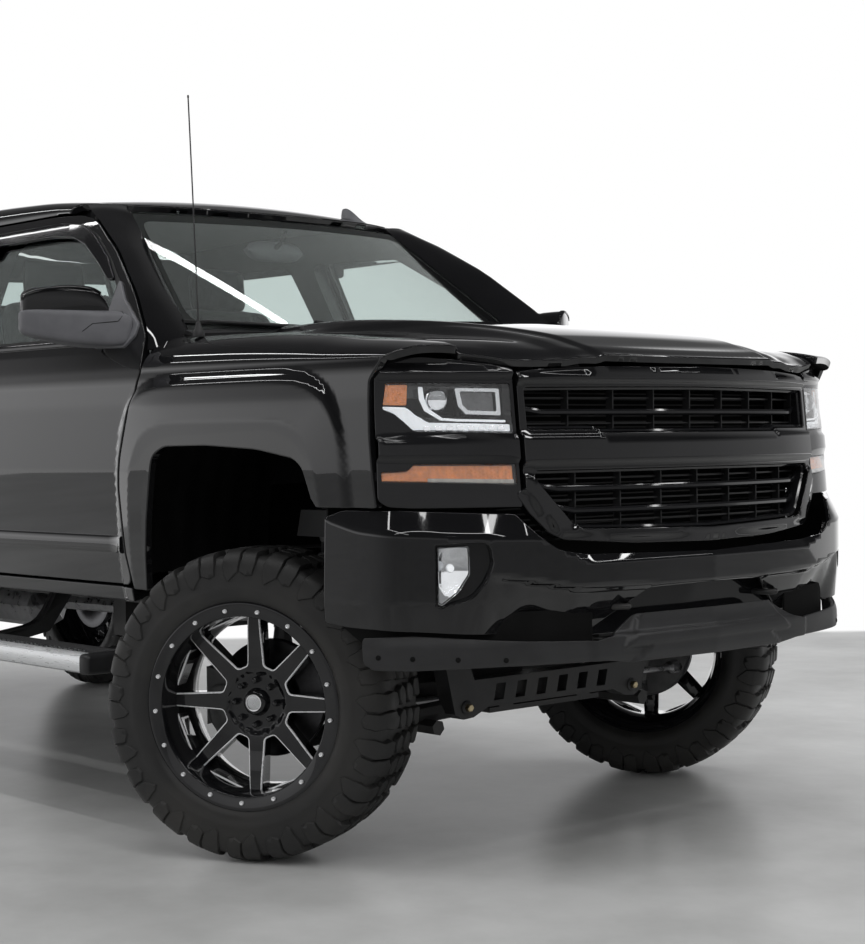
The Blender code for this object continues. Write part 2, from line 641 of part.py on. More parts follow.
def make_rear_axle(m):
    """Rear axle with its differential, leaf springs and dampers."""
    steel = m["steel"]
    reach = REAR_TRACK_HALF + RIM_WIDTH / 2 - CAP_DEPTH - SEAT_GAP
    z = TYRE_RADIUS
    half = ((0, reach), (0.052, reach), (0.052, 0.860), (0.160, 0.860), (0.160, 0.832), (0.072, 0.832), (0.072, 0.770),
            (0.042, 0.750), (0.042, 0.17), (0.13, 0.09))
    profile = tuple((r, -y) for r, y in half) + half[::-1]
    tube = turned("rear_axle", profile, 14, (REAR_AXLE_X, 0, z), steel)
    parts = [pipe("pinion_nose", ((REAR_AXLE_X, 0, z), (REAR_AXLE_X + 0.25, 0, z + 0.02)), (0.10, 0.05), 8, steel)]
    for side in (-1, 1):
        y = side * SPRING_Y
        arc = []
        for k in range(9):
            t = k / 4 - 1
            arc.append((SPRING_X + SPRING_HALF * t, SPRING_EYE_Z - 0.185 * (1 - t * t)))
        under = [(x, zz - 0.035 - 0.03 * max(0, 1 - 2 * abs(x - REAR_AXLE_X))) for x, zz in reversed(arc)]
        parts.append(prism(f"leaf_spring_{side}", arc + under, "Y", y - 0.032, y + 0.032, steel))
        parts.append(box(f"axle_block_{side}", (REAR_AXLE_X - 0.08, y - 0.045, z - 0.06),
                         (REAR_AXLE_X + 0.08, y + 0.045, z + 0.05), steel))
        top = Vector((REAR_AXLE_X - 0.30, side * (RAIL_Y - 0.10), 0.86))
        foot = Vector((REAR_AXLE_X - 0.02, side * 0.33, z + 0.01))
        parts.append(pipe(f"damper_{side}", (foot, foot.lerp(top, 0.45), foot.lerp(top, 0.5), top),
                          (0.018, 0.018, 0.032, 0.032), 8, steel))
    return combine(tube, parts)


def make_fuel_tank(m):
    """Tank between the left rail and the drive shaft."""
    rail = RAIL_Y - RAIL_WIDTH / 2 - SEAT_GAP
    outline = ((0.10, 0.53), (0.34, 0.53), (rail, 0.58), (rail, 0.74), (0.10, 0.74))
    return prism("fuel_tank", outline, "X", -0.78, 0.26, m["plastic"])


def make_exhaust(m):
    """Pipe, muffler and side-exit tailpipe on the right."""
    route = ((1.40, -0.27, 0.70), (1.15, -0.24, 0.60), (0.70, -0.24, 0.575), (-0.20, -0.24, 0.565),
             (-0.28, -0.25, 0.545), (-0.30, -0.25, 0.545), (-0.84, -0.25, 0.545), (-0.86, -0.25, 0.545),
             (-1.10, -0.25, 0.60), (-1.40, -0.25, 0.76), (-1.71, -0.240, 0.80), (-1.92, -0.232, 0.775),
             (-2.00, -0.29, 0.73), (-2.10, -0.40, 0.70), (-2.20, -0.433, 0.69), (-2.44, -0.433, 0.69), (-2.56, -0.50, 0.68),
             (-2.68, -0.80, 0.64), (-2.70, -0.93, 0.62))
    radii = [0.032] * 5 + [0.095] * 2 + [0.032] * (len(route) - 7)
    line = pipe("exhaust", route, radii, 8, m["cast"])
    crossmember = RAIL_TOP_Z - RAIL_HEIGHT + 0.030 - SEAT_GAP
    return combine(line, [box("exhaust_hanger", (-0.91, -0.262, 0.56), (-0.89, -0.238, crossmember), m["cast"])])


def make_spare(m):
    """Spare wheel slung flat under the bed."""
    turn = Matrix.Rotation(radians(90), 3, "X")
    top = RAIL_TOP_Z - RAIL_HEIGHT + RAIL_KICK + 0.002 - SEAT_GAP
    profile = ((0, -0.20), (0.21, -0.20), (0.235, -0.245), (0.345, -0.25), (0.375, -0.21), (0.378, -0.04),
               (0.345, 0.0), (0, 0.0))
    return turned("spare_wheel", profile, 20, (SPARE_X, 0, top), m["rubber"], turn)


def wheel_turn(side, steer):
    """Rotation of a wheel about the vertical; the outer face looks to its own side."""
    return Matrix.Rotation(steer, 3, "Z") @ Matrix.Diagonal((1.0, side, 1.0))


def make_tyre(name, centre, side, steer, m):
    """Mud tyre whose shoulder lugs alternate from side to side."""
    half = TYRE_WIDTH / 2
    lug = pi / TREAD_PITCHES
    tip = TYRE_RADIUS / cos(lug * 0.42)
    stations = []
    for k in range(TREAD_PITCHES):
        base = 2 * pi * k / TREAD_PITCHES - pi / 2
        stations += [(base - lug * 0.42, 1), (base + lug * 0.42, 1), (base + lug * 0.58, 0), (base + lug * 1.42, 0)]
    sections = []
    turn = wheel_turn(side, steer)
    for angle, outer_lug in stations:
        ends = []
        for is_lug, sign in ((outer_lug, 1), (1 - outer_lug, -1)):
            rise = tip if is_lug else tip - TREAD_DEPTH
            edge = half - 0.004 if is_lug else half - 0.016
            ends.append(((BEAD_RADIUS, sign * 0.1255), (0.345, sign * half), (rise - 0.022, sign * edge),
                         (rise, sign * (edge - 0.032))))
        loop = list(ends[0]) + list(reversed(ends[1]))
        sections.append([Vector(centre) + turn @ Vector((r * cos(angle), y, r * sin(angle))) for r, y in loop])
    return loft(name, sections, m["rubber"], closed=True, origin=centre)


def make_rim(name, centre, side, steer, m):
    """Deep rim with eight spokes set just inside the outer lip."""
    half = RIM_WIDTH / 2
    outer, inner = BEAD_RADIUS * cos(0.84 * pi / TREAD_PITCHES / 2) - SEAT_GAP, BEAD_RADIUS - RIM_WALL
    turn = wheel_turn(side, steer)
    profile = ((outer, -half), (outer, half), (RIM_LIP_RADIUS, half + 0.0060), (RIM_LIP_RADIUS, half + 0.016),
               (inner + 0.004, half + 0.016), (inner - 0.008, half - 0.03), (inner, -half - 0.012),
               (RIM_LIP_RADIUS, -half - 0.0060))
    barrel = turned(name, profile, RIM_FACETS, centre, m["rim"], turn)
    edge = inner + 0.004
    ring = [2 * pi * (k + 0.5) / RIM_FACETS for k in range(RIM_FACETS)]
    outline = [(edge * cos(a), edge * sin(a)) for a in ring]
    holes = []
    step = 2 * pi / SPOKES
    for k in range(SPOKES):
        middle = (k + 0.5) * step
        far, near = inner - 0.017, HUB_RADIUS + 0.033
        corners = ((near, -SPOKE_HALF_NEAR), (far, -SPOKE_HALF_FAR), (far, SPOKE_HALF_FAR), (near, SPOKE_HALF_NEAR))
        holes.append([(r * cos(middle + a), r * sin(middle + a)) for r, a in corners])

    def face(u, v):
        rise = 0.010 * smooth((hypot(u, v) - 0.10) / 0.14)
        return Vector(centre) + turn @ Vector((u, half - SPOKE_DEPTH + rise, v))

    def rear(u, v):
        return Vector(centre) + turn @ Vector((u, half - SPOKE_DEPTH - SPOKE_DISC, v))

    disc = panel(name + "_disc", outline, holes, face, rear, 0.30, m["rim"])
    front = half - SPOKE_DEPTH + 0.012
    cap = turned(name + "_cap", ((0, half - CAP_DEPTH), (0.060, half - CAP_DEPTH), (0.048, front), (0, front + 0.003)), 10,
                 centre, m["rim"], turn)
    return combine(barrel, [disc, cap])


def make_knuckle(name, side, m):
    """Upright with the hub, brake disc, caliper and steering arm."""
    steel = m["cast"]
    pin = Vector((FRONT_AXLE_X, side * KINGPIN_Y, 0))
    turn = Matrix.Rotation(REST_STEER, 3, "Z")

    def world(x, y, z):
        return pin + turn @ Vector((x, side * y, z))

    low, high = BALL_LOW_Z + BALL_PIN + SEAT_GAP, BALL_HIGH_Z
    column = pipe(name, (world(0, 0, low), world(0, 0, low + 0.05), world(0, 0.012, TYRE_RADIUS), world(0, 0, high - 0.05),
                         world(0, 0, high)), (0.024, 0.030, 0.062, 0.030, 0.024), 10, steel, origin=pin)
    hub_out = FRONT_TRACK_HALF - KINGPIN_Y + RIM_WIDTH / 2 - CAP_DEPTH
    hub = pipe(name + "_hub", (world(0, 0.0, TYRE_RADIUS), world(0, hub_out - SEAT_GAP, TYRE_RADIUS)), 0.050, 12, steel)
    disc = pipe(name + "_disc", (world(0, 0.045, TYRE_RADIUS), world(0, 0.075, TYRE_RADIUS)), 0.165, 14, steel)
    caliper = loft(name + "_caliper", [[world(-0.20, y, z) for y, z in ((0.0, 0.36), (0.10, 0.36), (0.10, 0.53), (0.0, 0.53))],
                                       [world(-0.12, y, z) for y, z in ((0.0, 0.38), (0.10, 0.38), (0.10, 0.51), (0.0, 0.51))]],
                   steel)
    bridge = pipe(name + "_bridge", (world(0, 0.01, TYRE_RADIUS), world(-0.15, 0.02, TYRE_RADIUS)), 0.03, 8, steel)
    arm = pipe(name + "_steering_arm", (world(0, 0.01, 0.45), world(0.10, -0.01, 0.450), world(STEERING_ARM, -0.03, 0.448)),
               (0.028, 0.018, 0.024), 8, steel)
    return combine(column, [hub, disc, caliper, bridge, arm])


def make_tie_rods(m):
    """Sliding rack bar with its two tie rods, in one line across the truck."""
    shift = STEERING_ARM * sin(REST_STEER)
    end = 0.755
    profile = ((0, -end), (0.022, -end), (0.022, -end + 0.04), (0.011, -end + 0.05), (0.011, -0.36), (RACK_BAR, -0.34),
               (RACK_BAR, 0.34), (0.011, 0.36), (0.011, end - 0.05), (0.022, end - 0.04), (0.022, end), (0, end))
    return turned("tie_rods", profile, 10, (RACK_X, shift, RACK_Z), m["steel"])


def make_cab(m):
    """Cab shell: floor, firewall, cowl, side frames, sills, quarters, roof, pillars and back wall."""
    paint = m["paint"]
    shell = box("cab", (-0.93, -0.845, FLOOR_Z), (FIREWALL_X, 0.845, FLOOR_Z + FLOOR_THICKNESS), paint)
    parts = [box("firewall", (FIREWALL_X - 0.03, -0.853, FLOOR_Z + 0.01), (FIREWALL_X + 0.002, 0.853, 1.49), paint)]

    back = [(-0.835, 0.845), (0.835, 0.845), (0.815, 1.49), (0.655, 1.985), (-0.655, 1.985), (-0.815, 1.49)]
    window = [(-0.60, 1.56), (0.60, 1.56), (0.52, 1.89), (-0.52, 1.89)]

    def back_x(y, z):
        return CAB_BACK_X + 0.001 + 0.045 * smooth((z - 1.5) / 0.5)

    parts.append(panel("back_wall", back, [window], lambda y, z: (back_x(y, z), y, z),
                       lambda y, z: (back_x(y, z) + 0.045, y, z), 0.5, paint))

    def frame_depth(z):
        return 0.106 - 0.052 * smooth((z - 1.44) / 0.10)

    outline = [(1.40, 0.715), (1.428, 1.46), (1.372, 1.545), (1.155, 1.735), (0.95, 1.885), (0.80, 1.987),
               (0.60, 2.014), (0.0, 2.034), (-0.80, 2.008), (-0.92, 1.978), (-0.951, 1.50), (-0.951, 0.715)]
    outline.reverse()
    front_hole = [(0.30, 0.87), (0.31, 1.45), (0.26, 1.90), (0.78, 1.885), (1.00, 1.76), (1.20, 1.58), (1.31, 1.48),
                  (1.31, 0.87)]
    front_hole.reverse()
    rear_hole = [(-0.60, 1.05), (-0.56, 1.45), (-0.62, 1.90), (0.11, 1.90), (0.20, 1.45), (0.19, 0.87), (-0.46, 0.87)]
    rear_hole.reverse()
    for side in (-1, 1):
        def front(x, z, s=side):
            return x, s * (side_y(x, z) - frame_depth(z)), z

        def back(x, z, s=side):
            return x, s * (side_y(x, z) - frame_depth(z) - FRAME_WALL), z

        parts.append(panel(f"side_frame_{side}", outline, [front_hole, rear_hole], front, back, 0.52, paint))
        sill = [(1.395, SILL_BOTTOM_Z), (1.395, DOOR_BOTTOM_Z - SHUT_GAP), (-0.945, DOOR_BOTTOM_Z - SHUT_GAP),
                (-0.945, SILL_BOTTOM_Z)]
        sill.reverse()
        parts.append(side_panel(f"sill_{side}", sill, [], lambda z: 0.16, 0.60, paint, side))
        quarter = [(DOOR_REAR_X - SHUT_GAP, 0.735), (DOOR_REAR_X - SHUT_GAP, 1.50), (-0.745, 1.96), (-0.93, 1.955),
                   (CAB_BACK_X, 1.50), (CAB_BACK_X, 0.735)]
        quarter.reverse()
        parts.append(side_panel(f"quarter_{side}", quarter, [], lambda z: 0.13 - 0.055 * smooth((z - 1.4) / 0.15), 0.34,
                                paint, side))
        rings = []
        for z, x in ((1.485, 1.490), (1.515, 1.485), (1.653, 1.345), (1.819, 1.128), (1.93, 0.95), (1.996, 0.775)):
            t = (z - SHIELD_BASE_Z) / (SHIELD_TOP_Z - SHIELD_BASE_Z)
            glass_y = SHIELD_LOW_HALF + (SHIELD_TOP_HALF - SHIELD_LOW_HALF) * t - 0.02
            y = side_y(x, z)
            glass_x = shield_x(glass_y, z)
            rings.append([(x, side * y, z), (glass_x, side * glass_y, z), (glass_x - 0.05, side * (glass_y - 0.01), z),
                          (x - 0.035, side * (y - 0.085), z)])
        parts.append(loft(f"pillar_{side}", rings, paint))
        for hinge_x in (DOOR_FRONT_X, DOOR_SPLIT_X):
            pad_y = DOOR_PAD_Y[hinge_x]
            parts += hinge_pads(f"frame_{hinge_x:.1f}_{side}", hinge_x, side, pad_y - 0.035, pad_y, m)
    roof = []
    for y in (-0.70, -0.5, 0.0, 0.5, 0.70):
        roof.append((shield_x(y, 1.985) + 0.02 - 0.16 * abs(y) ** 3, y))
    roof += [(-0.93, 0.66), (-0.945, 0.0), (-0.93, -0.66)]
    roof = [(x, y) for x, y in roof]
    parts.append(panel("roof", roof, [], lambda x, y: (x, y, roof_z(x, y)),
                       lambda x, y: (x, y, roof_z(x, y) - ROOF_THICKNESS), 0.36, paint))
    cowl = ((1.39, 1.46), (1.52, 1.495), (1.52, 1.520), (1.44, 1.520), (1.39, 1.50))
    parts.append(prism("cowl", cowl, "Y", -0.785, 0.785, paint))
    cut = shield_panel("shield_cut", 0.0004, m["glass"])
    return combine(combine(shell, parts, solver="MANIFOLD"), [cut], "DIFFERENCE", "MANIFOLD")


def shield_panel(name, grow, finish):
    """Windshield, or the cutter that makes its seat."""
    outline = [(-SHIELD_LOW_HALF, 1.530), (SHIELD_LOW_HALF, 1.530), (SHIELD_TOP_HALF, SHIELD_TOP_Z),
               (-SHIELD_TOP_HALF, SHIELD_TOP_Z)]
    outline = inset(outline, -grow)

    def front(y, z):
        return shield_x(y, z) + 0.004 + (0.02 if grow else 0.0), y, z

    def back(y, z):
        return shield_x(y, z) - 0.004 - grow, y, z

    return panel(name, outline, [], front, back, 0.30, finish)


def door_outlines(front_door):
    """Outer outline and window outline of a door, counter-clockwise in (x, z)."""
    if front_door:
        outer = [(DOOR_SPLIT_X + SHUT_GAP / 2, DOOR_BOTTOM_Z), (1.462, DOOR_BOTTOM_Z), (1.411, 1.045), (1.455, 1.25),
                 (1.494, 1.406), (1.478, 1.515), (1.337, 1.653), (1.12, 1.819), (0.922, 1.935), (0.80, 1.962),
                 (0.62, DOOR_TOP_Z), (0.185, DOOR_TOP_Z), (DOOR_SPLIT_X + SHUT_GAP / 2, 1.48)]
        window = [(0.295, 1.520), (1.215, 1.520), (1.07, 1.775), (0.95, 1.865), (0.85, 1.912), (0.70, 1.930),
                  (0.262, 1.930)]
    else:
        outer = [(-0.40, DOOR_BOTTOM_Z), (DOOR_SPLIT_X - SHUT_GAP / 2, DOOR_BOTTOM_Z),
                 (DOOR_SPLIT_X - SHUT_GAP / 2, 1.48), (0.179, DOOR_TOP_Z), (-0.60, DOOR_TOP_Z), (-0.715, 1.90),
                 (DOOR_REAR_X, 1.47), (DOOR_REAR_X, 1.10), (-0.60, 0.94), (-0.47, 0.81)]
        window = [(-0.60, 1.520), (0.205, 1.520), (0.155, 1.930), (-0.58, 1.930), (-0.645, 1.88)]
    return outer, window


def door_depth(z):
    """Thickness of a door at a height."""
    return DOOR_DEPTH - (DOOR_DEPTH - FRAME_DEPTH) * smooth((z - 1.44) / 0.07)


def hinge_pads(name, hinge_x, side, inner, outer, m):
    """Two hinge leaves just behind a door's front edge."""
    front = hinge_x - 0.120 if hinge_x > 1.0 else hinge_x - 0.020
    length = 0.050 if hinge_x > 1.0 else 0.025
    low, high = sorted((side * inner, side * outer))
    return [box(f"{name}_hinge_{z:.2f}", (front - length, low, z), (front, high, z + 0.05), m["steel"])
            for z in HINGE_HEIGHTS]


def make_door(name, front_door, side, m):
    """Door with its window cut out, and its glass."""
    outer, window = door_outlines(front_door)
    hinge_x = DOOR_FRONT_X if front_door else DOOR_SPLIT_X
    hinge = (hinge_x, side * DOOR_SWING_Y, 0)
    middle = 0.5 * (min(p[0] for p in outer) + max(p[0] for p in outer))
    door = side_panel(name, outer, [window], door_depth, 0.30, m["paint"], side, hinge, DOOR_INNER_SHRINK)
    pad_y = DOOR_PAD_Y[hinge_x]
    pads = hinge_pads(name, hinge_x, side, pad_y + SEAT_GAP, pad_y + 0.025, m)
    if front_door:
        low, high = sorted((side * 0.90, side * MIRROR_FOOT_Y))
        pads.append(box(f"{name}_mirror_foot", (1.36, low, 1.468), (1.435, high, 1.545), m["plastic"]))
    combine(door, pads)

    def layer(share):
        def place(x, z):
            depth = door_depth(z)
            slide = 1 + (DOOR_INNER_SHRINK - 1) * share
            return middle + (x - middle) * slide, side * (side_y(x, z) - depth * share), z
        return place

    sill = min(z for _, z in window)
    pane = [(x, sill + GLASS_SEAT if z < sill + 0.01 else z) for x, z in inset(window, 0.0030)]
    glass = panel(name.replace("door", "glass"), pane, [], layer(0.30),
                  layer(0.30 + GLASS_THICKNESS / FRAME_DEPTH), 0.30, m["glass"], hinge)
    return door, glass


def make_rear_window(m):
    """Glass in the cab's back wall."""
    window = inset([(-0.60, 1.56), (0.60, 1.56), (0.52, 1.89), (-0.52, 1.89)], 0.0006)

    def back_x(z):
        return CAB_BACK_X + 0.001 + 0.045 * smooth((z - 1.5) / 0.5)

    return panel("rear_window", window, [], lambda y, z: (back_x(z) + 0.015, y, z),
                 lambda y, z: (back_x(z) + 0.020, y, z), 0.5, m["glass"])


def hood_half(x):
    """Half width of the hood at a station."""
    return HOOD_REAR_HALF + (HOOD_FRONT_HALF - HOOD_REAR_HALF) * (x - HOOD_REAR_X) / (2.70 - HOOD_REAR_X)


def make_hood(m):
    """Hood with a raised middle, its front lip rolled down over the grille."""
    front = [(nose_x(y, 1.40) + 0.020, y) for y in (-0.765, -0.66, -0.40, 0.0, 0.40, 0.66, 0.765)]
    rear = [(HOOD_REAR_X, HOOD_REAR_HALF), (HOOD_REAR_X + 0.045, 0.40), (HOOD_REAR_X + 0.075, 0.0),
            (HOOD_REAR_X + 0.045, -0.40), (HOOD_REAR_X, -HOOD_REAR_HALF)]

    def lip(x, y):
        return HOOD_LIP * smooth((x - nose_x(y, 1.40) + 0.055) / 0.075)

    def top(x, y):
        return x, y, hood_z(x, y) - lip(x, y)

    def under(x, y):
        return x, y, hood_z(x, y) - lip(x, y) - HOOD_THICKNESS

    axis = (HOOD_REAR_X, 0, hood_z(HOOD_REAR_X, 0) + HOOD_AXIS_LIFT)
    hood = panel("hood", front + rear, [], top, under, 0.16, m["paint"], axis)
    pads = []
    for side in (-1, 1):
        low, high = sorted((side * 0.275, side * 0.325))
        pads.append(box(f"hood_stop_{side}", (2.425, low, HOOD_STOP_Z), (2.465, high, 1.495), m["plastic"]))
    return combine(hood, pads)


def fender_top_z(x, y):
    """Height of the rolled top of a fender."""
    y_edge = hood_half(x) + SHUT_GAP
    y_side = side_y(x, FENDER_ROLL_Z)
    share = min(1.0, max(0.0, (abs(y) - y_edge) / (y_side - y_edge)))
    return FENDER_ROLL_Z + (hood_z(x, y_edge) - FENDER_ROLL_Z) * sqrt(1 - share * share)


def make_fender(name, side, m):
    """Front fender with the flare, rolled top and wheelhouse liner."""
    arch = [(FRONT_AXLE_X + x, z) for x, z in ARCH]
    gap = SHUT_GAP + 0.001
    outline = arch + [(2.390, 1.006), (2.568, 1.006), (2.545, 1.345), (2.580, 1.388), (2.640, 1.470),
                      (2.700, 1.60), (1.545, 1.60),
                      (1.494 + gap, 1.480), (1.494 + gap, 1.406), (1.455 + gap, 1.25), (1.411 + gap, 1.045),
                      (1.462 + gap, 0.740)]
    outline.reverse()
    if sum(a[0] * b[1] - b[0] * a[1] for a, b in zip(outline, outline[1:] + outline[:1])) < 0:
        outline.reverse()
    def place(x, v, depth):
        y_side = side_y(x, min(v, FENDER_ROLL_Z)) - depth
        if v <= FENDER_ROLL_Z:
            return x, side * y_side, v
        angle = (v - FENDER_ROLL_Z) / FENDER_ROLL_SPAN * pi / 2
        y_edge = hood_half(x) + SHUT_GAP
        rise = hood_z(x, y_edge) - depth - FENDER_ROLL_Z
        return x, side * (y_edge + (y_side - y_edge) * cos(angle)), FENDER_ROLL_Z + rise * sin(angle)

    skin = panel(name, outline, [], lambda x, v: place(x, v, 0.0), lambda x, v: place(x, v, 0.045), 0.20, m["paint"])
    wall = [(1.487, 0.800), (1.500, 1.00), (1.575, 1.195), (1.70, 1.215), (2.12, 1.205), (2.29, 1.180),
            (2.360, 1.06), (2.366, 0.80)]
    outer_wall = [(x + (0.012 if x > 1.9 else -0.012), z + (0.012 if 1.5 < x < 2.35 else 0.0)) for x, z in wall]
    low, high = sorted((side * LINER_INNER_Y, side * 0.985))
    liner = prism(name + "_liner", wall + outer_wall[::-1], "Y", low, high, m["plastic"])
    extras = [liner]
    if side < 0:
        x, y = ANTENNA_SPOT
        extras.append(box(name + "_antenna_pad", (x - 0.018, y - 0.018, 1.45), (x + 0.018, y + 0.018, ANTENNA_FOOT_Z),
                          m["plastic"]))
    return combine(skin, extras)


def symmetric(half):
    """Closed outline from its half at positive first coordinates, bottom middle to top middle."""
    return list(half) + [(-u, v) for u, v in reversed(half[1:-1])]


def nose_bar(name, half, z, set_back, deep, tall, finish):
    """Bar across the nose at one height, thinner towards the back."""
    rings = []
    for k in range(9):
        y = half * (k / 4 - 1)
        x = nose_x(y, z) - set_back
        rings.append([(x, y, z - 0.3 * tall), (x, y, z + 0.3 * tall), (x - 0.2 * deep, y, z + tall / 2),
                      (x - deep, y, z + tall / 3), (x - deep, y, z - tall / 3), (x - 0.2 * deep, y, z - tall / 2)])
    return loft(name, rings, finish)


def make_grille(m):
    """Grille surround with its header and middle bar, three blades and the upright ribs behind them."""
    edge = LAMP_SPLIT_Y - SHUT_GAP / 2
    outline = symmetric([(0.0, 0.893), (0.30, 0.899), (0.527, 0.915), (0.608, 0.984), (edge, 1.010),
                         (edge, 1.368), (0.500, 1.374), (0.0, 1.376)])
    low, high = GRILLE_UPPER
    upper = symmetric([(0.0, low - 0.004), (0.372, low - 0.004), (0.400, low + 0.006), (0.606, low + 0.006),
                       (0.606, high - 0.002), (0.0, high)])
    low, high = GRILLE_LOWER
    lower = symmetric([(0.0, low), (0.480, low + 0.012), (0.590, high - 0.031), (0.594, high - 0.001), (0.0, high)])

    def front(y, z):
        return nose_x(y, z) + 0.002, y, z

    def back(y, z):
        return nose_x(y, z) + 0.002 - GRILLE_DEPTH, y, z

    grille = panel("grille", outline, [upper, lower], front, back, 0.16, m["plastic"])
    parts = []
    for index, (z, half) in enumerate(GRILLE_BARS):
        parts.append(nose_bar(f"grille_bar_{index}", half, z, 0.012, 0.026, GRILLE_BAR, m["plastic"]))
    for index, (low, high) in enumerate((GRILLE_UPPER, GRILLE_LOWER)):
        for k in range(-3, 4):
            y = k * GRILLE_RIB_PITCH
            x = nose_x(y, (low + high) / 2)
            rib = ((x - 0.040, low - 0.012), (x - 0.014, low - 0.012), (x - 0.014 - 0.1 * (high - low), high + 0.010),
                   (x - 0.040, high + 0.010))
            parts.append(prism(f"grille_rib_{index}_{k}", rib, "Y", y - GRILLE_RIB / 2, y + GRILLE_RIB / 2, m["plastic"]))
    for side in (-1, 1):
        low, high = sorted((side * 0.28, side * 0.32))
        parts.append(box(f"grille_tab_{side}", (GRILLE_TAB_X, low, 1.135), (2.825, high, 1.175), m["plastic"]))
    return combine(grille, parts)


def make_headlamp(name, side, m):
    """Wrap-around headlamp."""
    inner = LAMP_SPLIT_Y + SHUT_GAP / 2
    outline = [(inner, LAMP_BOTTOM_Z), (LAMP_OUTER_Y - 0.035, LAMP_BOTTOM_Z), (LAMP_OUTER_Y, LAMP_BOTTOM_Z + 0.024),
               (LAMP_OUTER_Y - 0.010, LAMP_TOP_Z - 0.118), (LAMP_OUTER_Y - 0.017, LAMP_TOP_Z - 0.041),
               (LAMP_OUTER_Y - 0.040, LAMP_TOP_Z - 0.010), (LAMP_OUTER_Y - 0.105, LAMP_TOP_Z),
               (LAMP_OUTER_Y - 0.200, LAMP_TOP_Z - 0.002), (inner, LAMP_TOP_Z - 0.012)]

    def band(z):
        return 0.010 * smooth((z - 1.125) / 0.014) * smooth((1.200 - z) / 0.014)

    def front(y, z):
        return nose_x(y, z) + 0.002 + band(z), side * y, z

    def back(y, z):
        return nose_x(y, z) - 0.004 - 0.06 * smooth((0.93 - y) / 0.06), side * y, z

    lamp = panel(name, outline, [], front, back, 0.10, m["lens"])
    low, high = sorted((side * 0.70, side * 0.74))
    return combine(lamp, [box(name + "_tab", (LAMP_TAB_X, low, 1.135), (2.71, high, 1.175), m["plastic"])])


def bumper_plan(s, reach, corner_x, end_x):
    """Plan of a bumper: s from -1 to 1 runs from one end to the other."""
    side = 1 if s >= 0 else -1
    t = abs(s)
    sweep = reach - corner_x
    points = ((0.0, 0.0, reach), (0.30, 0.36, reach - 0.06 * sweep), (0.55, 0.66, reach - 0.24 * sweep),
              (0.75, 0.86, reach - 0.68 * sweep), (0.88, BUMPER_HALF_WIDTH - 0.035, corner_x),
              (1.0, BUMPER_HALF_WIDTH, end_x))
    y = curve([(p[0], p[1]) for p in points], t)
    x = curve([(p[0], p[2]) for p in points], t)
    return x, side * y


def bumper_sheet(name, outline, holes, reach, corner_x, end_x, thickness, bulge, cell, finish, sign):
    """Bumper skin over an outline in (s, z); bulge(s, z) moves its face along its normal."""
    def surface(s, z, depth):
        x, y = bumper_plan(s, reach, corner_x, end_x)
        x2, y2 = bumper_plan(min(1.0, s + 0.01), reach, corner_x, end_x)
        x1, y1 = bumper_plan(max(-1.0, s - 0.01), reach, corner_x, end_x)
        tangent = Vector((x2 - x1, y2 - y1)).normalized()
        normal = Vector((tangent.y, -tangent.x))
        offset = bulge(abs(s), z) - depth
        return sign * (x + normal.x * offset), y + normal.y * offset, z

    return panel(name, outline, holes, lambda s, z: surface(s, z, 0.0), lambda s, z: surface(s, z, thickness), cell,
                 finish)


def make_front_bumper(m):
    """Painted front bumper: centre bar, recess below it, raised wings and fog lamp openings."""
    top, low, wing = BUMPER_WING_TOP_Z, BUMPER_BAR_LOW_Z, BUMPER_WING_LOW_Z
    outline = symmetric([(0.0, low), (0.205, low - 0.006), (0.335, wing + 0.014), (0.352, wing - 0.002), (0.541, wing + 0.003),
                         (0.80, wing + 0.024), (0.955, wing + 0.032), (1.0, wing + 0.040), (1.0, top - 0.018), (0.965, top),
                         (0.84, top), (0.576, top - 0.012), (0.526, top - 0.069), (0.478, top - 0.109),
                         (0.391, BUMPER_BAR_TOP_Z + 0.010), (0.0, BUMPER_BAR_TOP_Z)])
    fog = [(0.675, 0.772), (0.742, 0.745), (0.757, 0.912), (0.640, 0.918), (0.632, 0.865), (0.645, 0.815)]
    mirrored = [(-s, z) for s, z in reversed(fog)]

    def bulge(s, z):
        crease = 0.925 + 0.025 * smooth((s - 0.60) / 0.35)
        facet = 0.45 * max(0.0, z - crease) * smooth((s - 0.40) / 0.12)
        tuck = 0.12 * max(0.0, low + 0.012 - z) * (1 - smooth((s - 0.50) / 0.22))
        return 0.012 - facet - tuck

    skin = bumper_sheet("front_bumper", outline, [fog, mirrored], BUMPER_FRONT_X - 0.012, 2.60, 2.392, BUMPER_SKIN,
                        bulge, 0.10, m["paint"], 1)
    arms = []
    for side in (-1, 1):
        inner, outer = sorted((side * 0.395, side * 0.465))
        arm = ((RAIL_FRONT_X + SEAT_GAP, 0.66), (BUMPER_ARM_X, 0.66), (BUMPER_ARM_X, low + 0.010), (2.882, low + 0.010),
               (2.882, 0.840), (2.72, 0.840), (2.66, 0.76), (RAIL_FRONT_X + SEAT_GAP, 0.76))
        arms.append(prism(f"bumper_arm_{side}", arm, "Y", inner, outer, m["steel"]))
    return combine(skin, arms)


